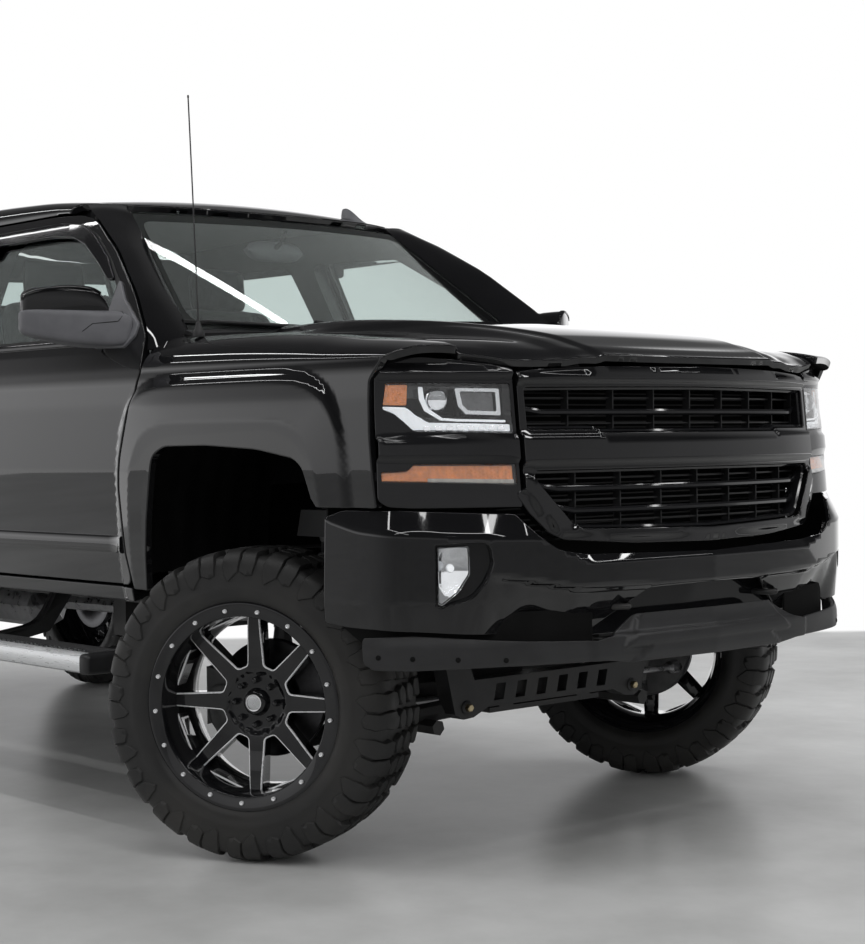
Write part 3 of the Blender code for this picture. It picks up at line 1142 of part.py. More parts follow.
def make_valance(m):
    """Black lower valance with its raised centre plate."""
    low, plate, top = VALANCE_LOW_Z, VALANCE_PLATE_TOP_Z, BUMPER_WING_LOW_Z - VALANCE_DROP
    outline = symmetric([(0.0, low), (0.28, low + 0.001), (0.36, low + 0.012), (0.60, low + 0.014), (0.88, low + 0.008),
                         (0.935, low + 0.025), (0.945, top + 0.020), (0.80, top + 0.024), (0.541, top + 0.003),
                         (0.345, top - 0.008), (0.236, plate), (0.0, plate)])

    def bulge(s, z):
        raised = 0.016 * smooth((0.32 - s - 0.9 * (z - 0.618)) / 0.03)
        return 0.018 * smooth((plate - z) / 0.07) - 0.018 * smooth((low + 0.027 - z) / 0.05) + raised

    skin = bumper_sheet("front_valance", outline, [], BUMPER_FRONT_X - 0.030, 2.585, 2.50, 0.025, bulge, 0.12,
                        m["plastic"], 1)
    tabs = []
    for side in (-1, 1):
        inner, outer = sorted((side * 0.40, side * 0.46))
        face = BUMPER_ARM_X + SEAT_GAP
        tab = ((face, 0.612), (2.866, 0.612), (2.866, 0.636), (face + 0.03, 0.636), (face + 0.03, 0.70), (face, 0.70))
        tabs.append(prism(f"valance_tab_{side}", tab, "Y", inner, outer, m["plastic"]))
    return combine(skin, tabs)


def make_bed(m):
    """Cargo bed: double-walled sides with arches, floor, front wall, wheelhouses and cross sills."""
    paint = m["paint"]
    floor_low = BED_FLOOR_TOP_Z - BED_FLOOR_THICKNESS
    bed = box("cargo_bed", (BED_REAR_X + 0.048, -BED_INNER_HALF - 0.01, floor_low),
              (BED_FRONT_X, BED_INNER_HALF + 0.01, BED_FLOOR_TOP_Z), paint)
    parts = [box("bed_front_wall", (BED_FRONT_X - BED_WALL, -0.90, floor_low - 0.001),
                 (BED_FRONT_X + 0.0005, 0.90, BED_RAIL_Z - 0.02), paint)]
    arch = [(REAR_AXLE_X + x, z) for x, z in ARCH]
    lamp_x = BED_REAR_X + TAIL_LAMP_LENGTH
    rear_low = [(BED_REAR_X, TAIL_LAMP_BOTTOM_Z - SEAT_GAP), (BED_REAR_X + 0.005, 0.80), (BED_REAR_X + 0.03, 0.745)]
    outline = ([(BED_FRONT_X, BED_BOTTOM_Z)] + [(BED_FRONT_X, BED_RAIL_Z)] + [(BED_REAR_X, BED_RAIL_Z)]
               + [(BED_REAR_X, TAIL_LAMP_TOP_Z + SEAT_GAP), (lamp_x + SEAT_GAP, TAIL_LAMP_TOP_Z + SEAT_GAP),
                  (lamp_x + SEAT_GAP, TAIL_LAMP_BOTTOM_Z - SEAT_GAP)] + rear_low
               + [(REAR_AXLE_X - 0.41, 0.730)] + arch + [(REAR_AXLE_X + 0.435, 0.722)])
    area = sum(a[0] * b[1] - b[0] * a[1] for a, b in zip(outline, outline[1:] + outline[:1]))
    if area < 0:
        outline.reverse()
    for side in (-1, 1):
        parts.append(side_panel(f"bed_side_{side}", outline, [], lambda z: BED_SIDE_WIDTH, 0.30, paint, side))
        low, high = sorted((side * BED_INNER_HALF, side * (BED_INNER_HALF + 0.075)))
        parts.append(box(f"bed_inner_{side}", (BED_REAR_X + 0.001, low, floor_low + 0.002),
                         (BED_FRONT_X - 0.001, high, BED_RAIL_Z - 0.008), paint))
        low, high = sorted((side * (BED_INNER_HALF - 0.195), side * (BED_INNER_HALF + 0.03)))
        parts.append(box(f"wheelhouse_{side}", (REAR_AXLE_X - 0.44, low, floor_low + 0.001),
                         (REAR_AXLE_X + 0.46, high, 1.215), paint))
    for index, x in enumerate((-1.345, -2.28, -2.62)):
        parts.append(box(f"bed_sill_{index}", (x - 0.04, -0.62, RAIL_TOP_Z + RAIL_KICK + SEAT_GAP),
                         (x + 0.04, 0.62, floor_low + 0.01), paint))
    inner_face = TAILGATE_OUTER_X + TAILGATE_THICKNESS + SEAT_GAP
    for side in (-1, 1):
        low, high = sorted((side * 0.50, side * 0.60))
        parts.append(box(f"tailgate_stop_{side}", (inner_face, low, 1.03), (BED_REAR_X + 0.07, high, 1.055), paint))
    cut = [(REAR_AXLE_X + x, z) for x, z in ARCH]
    cut = [(cut[0][0], 0.60)] + cut + [(cut[-1][0], 0.60)]
    cutters = []
    for side in (-1, 1):
        low, high = sorted((side * (BED_INNER_HALF - 0.180), side * 1.10))
        cutters.append(prism(f"arch_cut_{side}", cut, "Y", low, high, paint))
        tail_low, tail_high = sorted((side * (BED_INNER_HALF + 0.015), side * 1.1))
        cutters.append(box(f"lamp_cut_{side}", (BED_REAR_X - 0.05, tail_low, TAIL_LAMP_BOTTOM_Z - SEAT_GAP),
                           (lamp_x + SEAT_GAP, tail_high, TAIL_LAMP_TOP_Z + SEAT_GAP), paint))
    return combine(combine(bed, parts), cutters, "DIFFERENCE")


def make_tailgate(m):
    """Tailgate with a raised top spoiler edge."""
    top = BED_RAIL_Z
    face = TAILGATE_OUTER_X
    inner = face + TAILGATE_THICKNESS
    section = [(face, TAILGATE_BOTTOM_Z), (inner, TAILGATE_BOTTOM_Z), (inner, top - 0.015), (inner - 0.010, top),
               (face - 0.010, top), (face - 0.016, top - 0.02), (face, top - 0.075), (face + 0.006, 1.30)]
    return prism("tailgate", section, "Y", -TAILGATE_HALF, TAILGATE_HALF, m["paint"],
                 (face - 0.018, 0, TAILGATE_BOTTOM_Z - 0.004))


def make_tail_lamp(name, side, m):
    """Tail lamp in the corner of the bed."""
    lamp_x = BED_REAR_X + TAIL_LAMP_LENGTH
    outline = [(BED_REAR_X + 0.001, TAIL_LAMP_BOTTOM_Z), (lamp_x, TAIL_LAMP_BOTTOM_Z), (lamp_x, TAIL_LAMP_TOP_Z),
               (BED_REAR_X + 0.001, TAIL_LAMP_TOP_Z)]

    def front(x, z):
        round_in = 0.030 * max(0.0, (BED_REAR_X + 0.05 - x) / 0.05) ** 2
        return x, side * (side_y(x, z) + 0.004 - round_in), z

    def back(x, z):
        return x, side * (BED_INNER_HALF + 0.0155), z

    return panel(name, outline, [], front, back, 0.14, m["red"])


def make_rear_bumper(m):
    """Rear bumper with brackets to the rails."""
    half = [(0.0, 0.800), (0.62, 0.800), (1.0, 0.840), (1.0, 0.990), (0.45, 0.995), (0.42, 0.945), (0.0, 0.945)]
    outline = half + [(-s, z) for s, z in reversed(half[1:-1])]
    skin = bumper_sheet("rear_bumper", outline, [], -BUMPER_REAR_X - 0.012, 2.895, 2.850, 0.030,
                        lambda s, z: 0.012 * smooth((z - 0.80) / 0.06) - 0.006 * smooth((z - 0.95) / 0.04), 0.22,
                        m["aluminium"], -1)
    arms = []
    for side in (-1, 1):
        low, high = sorted((side * 0.395, side * 0.465))
        arms.append(box(f"rear_bumper_arm_{side}", (-2.90, low, 0.84), (RAIL_REAR_X - SEAT_GAP, high, 0.93), m["steel"]))
    return combine(skin, arms)


def make_mirror(name, side, m):
    """Door mirror with its arm."""
    rings = []
    foot = MIRROR_FOOT_Y + SEAT_GAP
    for y, x0, x1, z0, z1 in ((foot, 1.37, 1.43, 1.475, 1.540), (1.02, 1.28, 1.40, 1.495, 1.590),
                              (1.06, 1.205, 1.36, 1.49, 1.640), (1.13, 1.185, 1.34, 1.49, 1.668),
                              (1.19, 1.19, 1.30, 1.51, 1.655)):
        bevel = 0.25
        dx, dz = (x1 - x0) * bevel, (z1 - z0) * bevel
        rings.append([(x0, side * y, z0 + dz * 0.4), (x0, side * y, z1 - dz * 0.4), (x0 + dx, side * y, z1),
                      (x1 - dx, side * y, z1 - dz * 0.6), (x1, side * y, z1 - 2 * dz), (x1, side * y, z0 + dz),
                      (x1 - dx, side * y, z0), (x0 + dx, side * y, z0)])
    hinge = (DOOR_FRONT_X, side * DOOR_SWING_Y, 0)
    return loft(name, rings, m["plastic"], origin=hinge)


def make_running_board(name, side, m):
    """Side step with its brackets to the rail."""
    front, rear = 1.300, -0.720
    section = [(0.905, 0.455), (1.045, 0.455), (1.072, 0.480), (1.072, 0.515), (1.050, 0.533), (0.905, 0.533)]
    section = [(side * y, z) for y, z in section]
    board = prism(name, section, "X", rear, front, m["aluminium"])
    parts = []
    inner = RAIL_Y + RAIL_WIDTH / 2 + SEAT_GAP
    for index, x in enumerate((1.05, 0.30, -0.45)):
        bracket = [(side * inner, 0.63), (side * inner, 0.74), (side * (inner + 0.04), 0.74),
                   (side * 0.62, 0.53), (side * 0.95, 0.50), (side * 0.95, 0.46), (side * 0.60, 0.47)]
        parts.append(prism(f"{name}_bracket_{index}", bracket, "X", x - 0.03, x + 0.03, m["steel"]))
    return combine(board, parts)


def make_antenna(m):
    """Mast on the right fender."""
    base = Vector((*ANTENNA_SPOT, 0))
    radius = 0.016
    foot = ANTENNA_FOOT_Z + SEAT_GAP
    return pipe("antenna", (base + Vector((0, 0, foot)), base + Vector((0, 0, foot + 0.035)),
                            base + Vector((0, 0, foot + 0.04)), Vector((base.x - 0.037, base.y, 2.236))),
                (radius, 0.012, 0.003, 0.0022), 6, m["plastic"])


def cushion(name, outline, y, half, finish):
    """Padded block: an outline in (x, z), narrowed at its ends."""
    middle_x = sum(p[0] for p in outline) / len(outline)
    middle_z = sum(p[1] for p in outline) / len(outline)
    rings = []
    for offset, scale in ((-half, 0.86), (-half + 0.03, 1.0), (half - 0.03, 1.0), (half, 0.86)):
        rings.append([(middle_x + (x - middle_x) * scale, y + offset, middle_z + (z - middle_z) * scale)
                      for x, z in outline])
    return loft(name, rings, finish)


def make_front_seats(m):
    """Two front seats joined by the centre console."""
    seat = [(0.10, 1.02), (0.62, 1.02), (0.67, 1.10), (0.64, 1.19), (0.20, 1.16), (0.16, 1.20)]
    rest = [(0.20, 1.12), (0.24, 1.25), (0.13, 1.52), (0.06, 1.70), (-0.04, 1.72), (-0.06, 1.66), (0.02, 1.40),
            (0.06, 1.12)]
    head = [(0.03, 1.70), (0.06, 1.78), (0.03, 1.88), (-0.05, 1.89), (-0.07, 1.80), (-0.05, 1.70)]
    floor_top = FLOOR_Z + FLOOR_THICKNESS + SEAT_GAP
    console = box("front_seats", (0.05, -0.16, floor_top), (0.80, 0.16, 1.14), m["cloth"])
    parts = []
    for side in (-1, 1):
        y = side * 0.38
        parts += [cushion(f"seat_{side}", seat, y, 0.25, m["cloth"]), cushion(f"rest_{side}", rest, y, 0.25, m["cloth"]),
                  cushion(f"headrest_{side}", head, y, 0.13, m["cloth"]),
                  box(f"seat_base_{side}", (0.16, y - 0.20, floor_top), (0.58, y + 0.20, 1.05), m["cloth"])]
    return combine(console, parts)


def make_rear_bench(m):
    """Rear bench with its back against the cab wall."""
    floor_top = FLOOR_Z + FLOOR_THICKNESS + SEAT_GAP
    outline = [(-0.86, floor_top), (-0.42, floor_top), (-0.38, 1.05), (-0.34, 1.12), (-0.38, 1.20), (-0.68, 1.18),
               (-0.78, 1.60), (-0.80, 1.76), (-0.87, 1.76), (-0.885, 1.40)]
    return prism("rear_bench", outline, "Y", -0.66, 0.66, m["cloth"])


def make_dashboard(m):
    """Dashboard with its column and centre stack."""
    wall = FIREWALL_X - 0.03 - SEAT_GAP
    outline = [(1.22, 1.02), (wall, 1.05), (wall, 1.44), (1.30, 1.455), (1.10, 1.42), (1.06, 1.36), (1.12, 1.18)]
    dash = prism("dashboard", outline, "Y", -0.76, 0.76, m["trim"])
    stack = box("centre_stack", (1.05, -0.14, FLOOR_Z + FLOOR_THICKNESS + SEAT_GAP), (1.28, 0.14, 1.38), m["trim"])
    axis = Vector((cos(COLUMN_TILT), 0, -sin(COLUMN_TILT)))
    column = pipe("column", (HELM_CENTRE + axis * (0.070 + SEAT_GAP), HELM_CENTRE + axis * 0.30), 0.035, 10, m["trim"])
    hood = cushion("instrument_hood", [(1.06, 1.38), (1.20, 1.38), (1.22, 1.47), (1.10, 1.47)], 0.38, 0.20, m["trim"])
    return combine(dash, [stack, column, hood])


def make_steering_wheel(m):
    """Steering wheel: rim, hub and three spokes."""
    axis = Vector((cos(COLUMN_TILT), 0, -sin(COLUMN_TILT)))
    across = Vector((0, 1, 0))
    up = axis.cross(across)
    sections = []
    for k in range(20):
        angle = 2 * pi * k / 20
        out = across * cos(angle) + up * sin(angle)
        ring = [2 * pi * i / 6 for i in range(6)]
        sections.append([HELM_CENTRE + out * (HELM_RADIUS + HELM_TUBE * cos(a)) + axis * HELM_TUBE * sin(a)
                         for a in ring])
    wheel = loft("steering_wheel", sections, m["trim"], closed=True, origin=HELM_CENTRE)
    parts = [pipe("helm_hub", (HELM_CENTRE - axis * 0.01, HELM_CENTRE + axis * 0.070), 0.055, 12, m["trim"])]
    for index, angle in enumerate((0.0, pi, -pi / 2)):
        out = across * cos(angle) + up * sin(angle)
        parts.append(pipe(f"helm_spoke_{index}", (HELM_CENTRE + axis * 0.02, HELM_CENTRE + out * HELM_RADIUS), 0.014, 6,
                          m["trim"]))
    return combine(wheel, parts)


def build():
    """Whole truck."""
    remove_old_objects()
    m = make_materials()
    make_frame(m)
    make_subframe(m)
    make_powertrain(m)
    make_rear_axle(m)
    make_fuel_tank(m)
    make_exhaust(m)
    make_spare(m)
    steer = Matrix.Rotation(REST_STEER, 3, "Z")
    for word, side in (("left", 1), ("right", -1)):
        offset = steer @ Vector((0, side * (FRONT_TRACK_HALF - KINGPIN_Y), 0))
        hub = Vector((FRONT_AXLE_X, side * KINGPIN_Y, TYRE_RADIUS)) + offset
        make_tyre(f"tyre_front_{word}", hub, side, REST_STEER, m)
        make_rim(f"rim_front_{word}", hub, side, REST_STEER, m)
        hub = Vector((REAR_AXLE_X, side * REAR_TRACK_HALF, TYRE_RADIUS))
        make_tyre(f"tyre_rear_{word}", hub, side, 0.0, m)
        make_rim(f"rim_rear_{word}", hub, side, 0.0, m)
        make_knuckle(f"knuckle_{word}", side, m)
        make_door(f"front_door_{word}", True, side, m)
        make_door(f"rear_door_{word}", False, side, m)
        make_fender(f"fender_{word}", side, m)
        make_headlamp(f"headlamp_{word}", side, m)
        make_tail_lamp(f"tail_lamp_{word}", side, m)
        make_mirror(f"mirror_{word}", side, m)
        make_running_board(f"running_board_{word}", side, m)
    make_tie_rods(m)
    make_cab(m)
    shield_panel("windshield", 0.0, m["glass"])
    make_rear_window(m)
    make_hood(m)
    make_grille(m)
    make_front_bumper(m)
    make_valance(m)
    make_bed(m)
    make_tailgate(m)
    make_rear_bumper(m)
    make_antenna(m)
    make_front_seats(m)
    make_rear_bench(m)
    make_dashboard(m)
    make_steering_wheel(m)


build()
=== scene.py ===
"""Looks of the lifted pickup truck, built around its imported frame.

Metres, +X forward, +Y to the truck's left, +Z up, as in the frame.
"""
from math import asin, atan2, ceil, cos, exp, hypot, pi, radians, sin

import bmesh
import bpy
import numpy as np
from mathutils import Matrix, Vector
from mathutils.geometry import delaunay_2d_cdt


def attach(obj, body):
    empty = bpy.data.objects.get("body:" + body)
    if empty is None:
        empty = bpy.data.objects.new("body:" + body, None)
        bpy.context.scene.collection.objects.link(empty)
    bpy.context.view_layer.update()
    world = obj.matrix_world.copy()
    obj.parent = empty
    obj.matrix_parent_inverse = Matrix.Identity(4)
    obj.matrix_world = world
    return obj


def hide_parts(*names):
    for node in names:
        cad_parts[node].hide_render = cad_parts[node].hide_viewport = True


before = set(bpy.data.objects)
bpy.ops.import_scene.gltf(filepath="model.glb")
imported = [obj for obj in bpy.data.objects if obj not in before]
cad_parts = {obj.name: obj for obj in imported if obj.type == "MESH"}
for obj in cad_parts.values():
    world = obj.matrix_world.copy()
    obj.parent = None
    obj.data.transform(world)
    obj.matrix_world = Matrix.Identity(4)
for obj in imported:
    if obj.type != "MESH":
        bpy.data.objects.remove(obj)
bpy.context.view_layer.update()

FRONT_AXLE_X = 1.931
REAR_AXLE_X = -1.714
TYRE_RADIUS = 0.444
KINGPIN_Y = 0.785
REST_STEER = radians(28.0)
DOOR_SPLIT_X = 0.248
DOOR_BOTTOM_Z = 0.750
DOOR_TOP_Z = 1.972
HOOD_REAR_X = 1.535
BED_FRONT_X = -0.984
BED_REAR_X = -2.812
BED_RAIL_Z = 1.560
SHUT_GAP = 0.006
BODY = "truck"
SIDES = (("left", 1), ("right", -1))


# Curves and surfaces of the body

def table(knots, blur=0.0, step=0.001):
    """Piecewise line through the knots with rounded corners, as a function of an array."""
    xs = np.arange(knots[0][0] - 0.2, knots[-1][0] + 0.2, step)
    ys = np.interp(xs, [k[0] for k in knots], [k[1] for k in knots])
    if blur:
        reach = int(3 * blur / step)
        kernel = np.exp(-0.5 * (np.arange(-reach, reach + 1) * step / blur) ** 2)
        padded = np.concatenate([np.full(reach, ys[0]), ys, np.full(reach, ys[-1])])
        ys = np.convolve(padded, kernel / kernel.sum(), "valid")
    return lambda at: np.interp(at, xs, ys)


def curve_table(knots, step=0.001):
    """Smooth curve through the knots that never overshoots them."""
    x = np.array([k[0] for k in knots])
    y = np.array([k[1] for k in knots])
    slope = np.diff(y) / np.diff(x)
    inner = [0.0 if a * b <= 0 else 2 * a * b / (a + b) for a, b in zip(slope, slope[1:])]
    tangent = np.array([slope[0], *inner, slope[-1]])
    at = np.arange(x[0], x[-1] + step, step).clip(x[0], x[-1])
    i = np.clip(np.searchsorted(x, at, side="right") - 1, 0, len(x) - 2)
    span = x[i + 1] - x[i]
    t = (at - x[i]) / span
    values = (y[i] * (2 * t ** 3 - 3 * t ** 2 + 1) + tangent[i] * span * (t ** 3 - 2 * t ** 2 + t)
              + y[i + 1] * (3 * t ** 2 - 2 * t ** 3) + tangent[i + 1] * span * (t ** 3 - t ** 2))
    return lambda v: np.interp(v, at, values)


def smooth(t):
    t = np.clip(t, 0.0, 1.0)
    return t * t * (3 - 2 * t)


PROFILE = table(((0.66, 0.950), (0.74, 0.968), (0.85, 0.982), (1.10, 0.9965), (1.30, 0.9945),
                 (1.375, 0.9890), (1.415, 0.9800), (1.485, 0.9600), (1.52, 0.9450), (1.70, 0.872),
                 (1.85, 0.806), (1.93, 0.766), (1.98, 0.735), (2.02, 0.700)), 0.006)
FLARE = table(((0.0, 0.0255), (0.92, 0.0265), (1.075, 0.0290), (1.085, 0.0280), (1.245, 0.0175),
               (1.262, 0.0150), (1.300, 0.0), (1.5, 0.0)), 0.006)
HOOD_CROWN = curve_table(((1.30, 1.566), (1.50, 1.562), (1.90, 1.553), (2.20, 1.536), (2.45, 1.508),
                          (2.65, 1.474), (2.80, 1.431), (2.90, 1.414)))
ROOF_CROWN = curve_table(((-0.96, 2.015), (-0.85, 2.052), (-0.60, 2.078), (0.0, 2.090), (0.40, 2.079),
                          (0.70, 2.055), (0.85, 2.028), (1.00, 1.982)))
DOME = table(((0.0, 0.0), (0.455, 0.0), (0.475, -0.004), (0.520, -0.030), (0.545, -0.0335),
              (1.2, -0.0335)), 0.005)


def reach_of(x, z):
    """1 along the arch lips, growing outwards; one contour for both axles."""
    total = 9.0
    for axle in (FRONT_AXLE_X, REAR_AXLE_X):
        along = np.abs(x - axle) / 0.43
        up = np.maximum(0.0, z - 0.58) / 0.62
        total = np.minimum(total, (along ** 6 + up ** 6) ** (1 / 6))
    return total


def side_y(x, z):
    """Half width of the body side."""
    return PROFILE(z) - 0.022 * np.maximum(0.0, x - 1.60) ** 2 + FLARE(reach_of(x, z))


def side_at(x, z):
    """Half width of the body side at one point."""
    return float(side_y(np.array([x]), np.array([z]))[0])


def hood_half(x):
    return 0.800 - 0.025 * (x - HOOD_REAR_X) / (2.70 - HOOD_REAR_X)


def hood_z(x, y):
    """Height of the hood and of the fender tops beside it."""
    fade = 1 - 0.65 * smooth((x - 2.30) / 0.45)
    shift = 0.10 * np.clip((x - 1.9) / 0.9, 0, 1)
    return HOOD_CROWN(x) + DOME(np.abs(y) + 0.5 * shift - 0.02) * fade - 0.020 * y * y


def nose_x(y, z):
    """Front face of the grille and the headlamps."""
    corner = np.maximum(0.0, np.abs(y) - 0.68)
    return 2.885 - 0.270 * y * y - 0.600 * corner ** 2 - 0.100 * (z - 1.10)


def roof_z(x, y):
    roll = np.maximum(0.0, np.abs(y) - 0.60)
    return ROOF_CROWN(x) - 0.085 * y * y - 2.2 * roll ** 2


def shield_x(y, z):
    """Outer face of the windshield."""
    return 1.574 - 1.447 * (z - 1.545) - 0.300 * y * y


def door_depth(z):
    return 0.100 - 0.055 * smooth((z - 1.44) / 0.07)


# Mesh helpers

def placed(name, data):
    """New object with its data, linked to the scene."""
    thing = bpy.data.objects.new(name, data)
    bpy.context.scene.collection.objects.link(thing)
    return thing


def turns(count):
    """Evenly spaced angles of one full turn."""
    return [2 * pi * k / count for k in range(count)]


def rectangle(u0, v0, u1, v1):
    """Corners in order, from (u0, v0) along u first."""
    return [(u0, v0), (u1, v0), (u1, v1), (u0, v1)]


def mesh_object(name, verts, faces, mats, corner_normals=None, face_mats=None, sharp=35.0):
    mesh = bpy.data.meshes.new(name)
    mesh.from_pydata([tuple(v) for v in verts], [], faces)
    for mat in mats:
        mesh.materials.append(mat)
    if face_mats is not None:
        mesh.polygons.foreach_set("material_index", face_mats)
    mesh.shade_smooth()
    if corner_normals is not None:
        mesh.normals_split_custom_set([tuple(n) for n in corner_normals])
    elif sharp:
        mesh.set_sharp_from_angle(angle=radians(sharp))
    return placed(name, mesh)


def dress(thing, body, slot, *nodes):
    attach(thing, body)
    if nodes:
        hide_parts(*nodes)
    return thing


def area(loop):
    return 0.5 * sum(a[0] * b[1] - b[0] * a[1] for a, b in zip(loop, loop[1:] + loop[:1]))


def ccw(loop):
    loop = [tuple(p) for p in loop]
    return loop if area(loop) > 0 else loop[::-1]


def rounded(loop, radius, steps=5):
    """Loop with filleted corners; radius is one number or one for each corner."""
    radii = radius if isinstance(radius, (list, tuple)) else [radius] * len(loop)
    out = []
    count = len(loop)
    for i, r in enumerate(radii):
        p, q, s = (np.array(loop[(i + k) % count], float) for k in (-1, 0, 1))
        a, b = p - q, s - q
        la, lb = np.hypot(*a), np.hypot(*b)
        turn = pi - np.arccos(np.clip(a @ b / (la * lb), -1, 1))
        if r <= 0 or turn < 0.05:
            out.append(tuple(q))
            continue
        cut = min(r * np.tan(turn / 2), 0.45 * la, 0.45 * lb)
        start, end = q + a / la * cut, q + b / lb * cut
        for k in range(steps + 1):
            t = k / steps
            out.append(tuple((1 - t) ** 2 * start + 2 * t * (1 - t) * q + t * t * end))
    return out


def resampled(loop, cell):
    points = []
    for (x0, y0), (x1, y1) in zip(loop, loop[1:] + loop[:1]):
        runs = max(1, ceil(hypot(x1 - x0, y1 - y0) / cell - 1e-9))
        points += [(x0 + (x1 - x0) * k / runs, y0 + (y1 - y0) * k / runs) for k in range(runs)]
    return points


def outward(loop):
    """Unit offset directions of a counter-clockwise loop, mitred."""
    p = np.array(loop)
    before, after = p - np.roll(p, 1, 0), np.roll(p, -1, 0) - p
    before /= np.maximum(1e-9, np.hypot(*before.T))[:, None]
    after /= np.maximum(1e-9, np.hypot(*after.T))[:, None]
    n0 = np.stack([before[:, 1], -before[:, 0]], 1)
    n1 = np.stack([after[:, 1], -after[:, 0]], 1)
    mean = n0 + n1
    mean /= np.maximum(1e-9, np.hypot(*mean.T))[:, None]
    return mean / np.maximum(0.5, (mean * n0).sum(1))[:, None]


def resampled_open(points, cell):
    out = []
    for (a, b), (c, d) in zip(points, points[1:]):
        runs = max(1, int(hypot(c - a, d - b) / cell))
        out += [(a + (c - a) * k / runs, b + (d - b) * k / runs) for k in range(runs)]
    return out + [tuple(points[-1])]


def inset(loop, distance):
    return [tuple(p) for p in np.array(loop) - outward(loop) * distance]


def within(points, loop):
    hit = np.zeros(len(points), bool)
    for (x0, y0), (x1, y1) in zip(loop, loop[1:] + loop[:1]):
        if y0 == y1:
            continue
        cross = (y0 > points[:, 1]) != (y1 > points[:, 1])
        hit ^= cross & (points[:, 0] < x0 + (points[:, 1] - y0) * (x1 - x0) / (y1 - y0))
    return hit


def fill(outline, holes, cell):
    """Triangles over an outline with holes: points, triangles, and the loops' point ranges."""
    loops = [outline, *holes]
    edge = [p for loop in loops for p in loop]
    edges, start, ranges = [], 0, []
    for loop in loops:
        edges += [(start + i, start + (i + 1) % len(loop)) for i in range(len(loop))]
        ranges.append((start, len(loop)))
        start += len(loop)
    rim = np.array(edge)
    low, high = rim.min(0), rim.max(0)
    us = np.arange(low[0] + cell * 0.5, high[0], cell)
    rows = []
    for j, v in enumerate(np.arange(low[1] + cell * 0.5, high[1], cell * 0.87)):
        rows.append(np.stack([us + (0.5 * cell if j % 2 else 0), np.full(len(us), v)], 1))
    inner = np.concatenate(rows) if rows else np.zeros((0, 2))
    keep = within(inner, list(outline))
    for hole in holes:
        keep &= ~within(inner, list(hole))
    inner = inner[keep]
    if len(inner):
        near = np.full(len(inner), 9.0)
        for k in range(0, len(rim), 400):
            gap = np.hypot(inner[:, None, 0] - rim[None, k:k + 400, 0],
                           inner[:, None, 1] - rim[None, k:k + 400, 1])
            near = np.minimum(near, gap.min(1))
        inner = inner[near > 0.5 * cell]
    points = np.concatenate([rim, inner])
    coords, _, tris, *_ = delaunay_2d_cdt([Vector(p) for p in points], edges, [], 0, 1e-7)
    coords = np.array([tuple(c) for c in coords])
    tris = np.array([tuple(t) for t in tris if len(t) == 3])
    middle = coords[tris].mean(1)
    keep = within(middle, list(outline))
    for hole in holes:
        keep &= ~within(middle, list(hole))
    return coords, tris[keep], ranges


def unit(v):
    return v / np.maximum(1e-12, np.linalg.norm(v, axis=1))[:, None]


def surface_normals(surf, uv, sign):
    e = 0.003
    du = surf(uv[:, 0] + e, uv[:, 1]) - surf(uv[:, 0] - e, uv[:, 1])
    dv = surf(uv[:, 0], uv[:, 1] + e) - surf(uv[:, 0], uv[:, 1] - e)
    return unit(np.cross(du, dv)) * sign


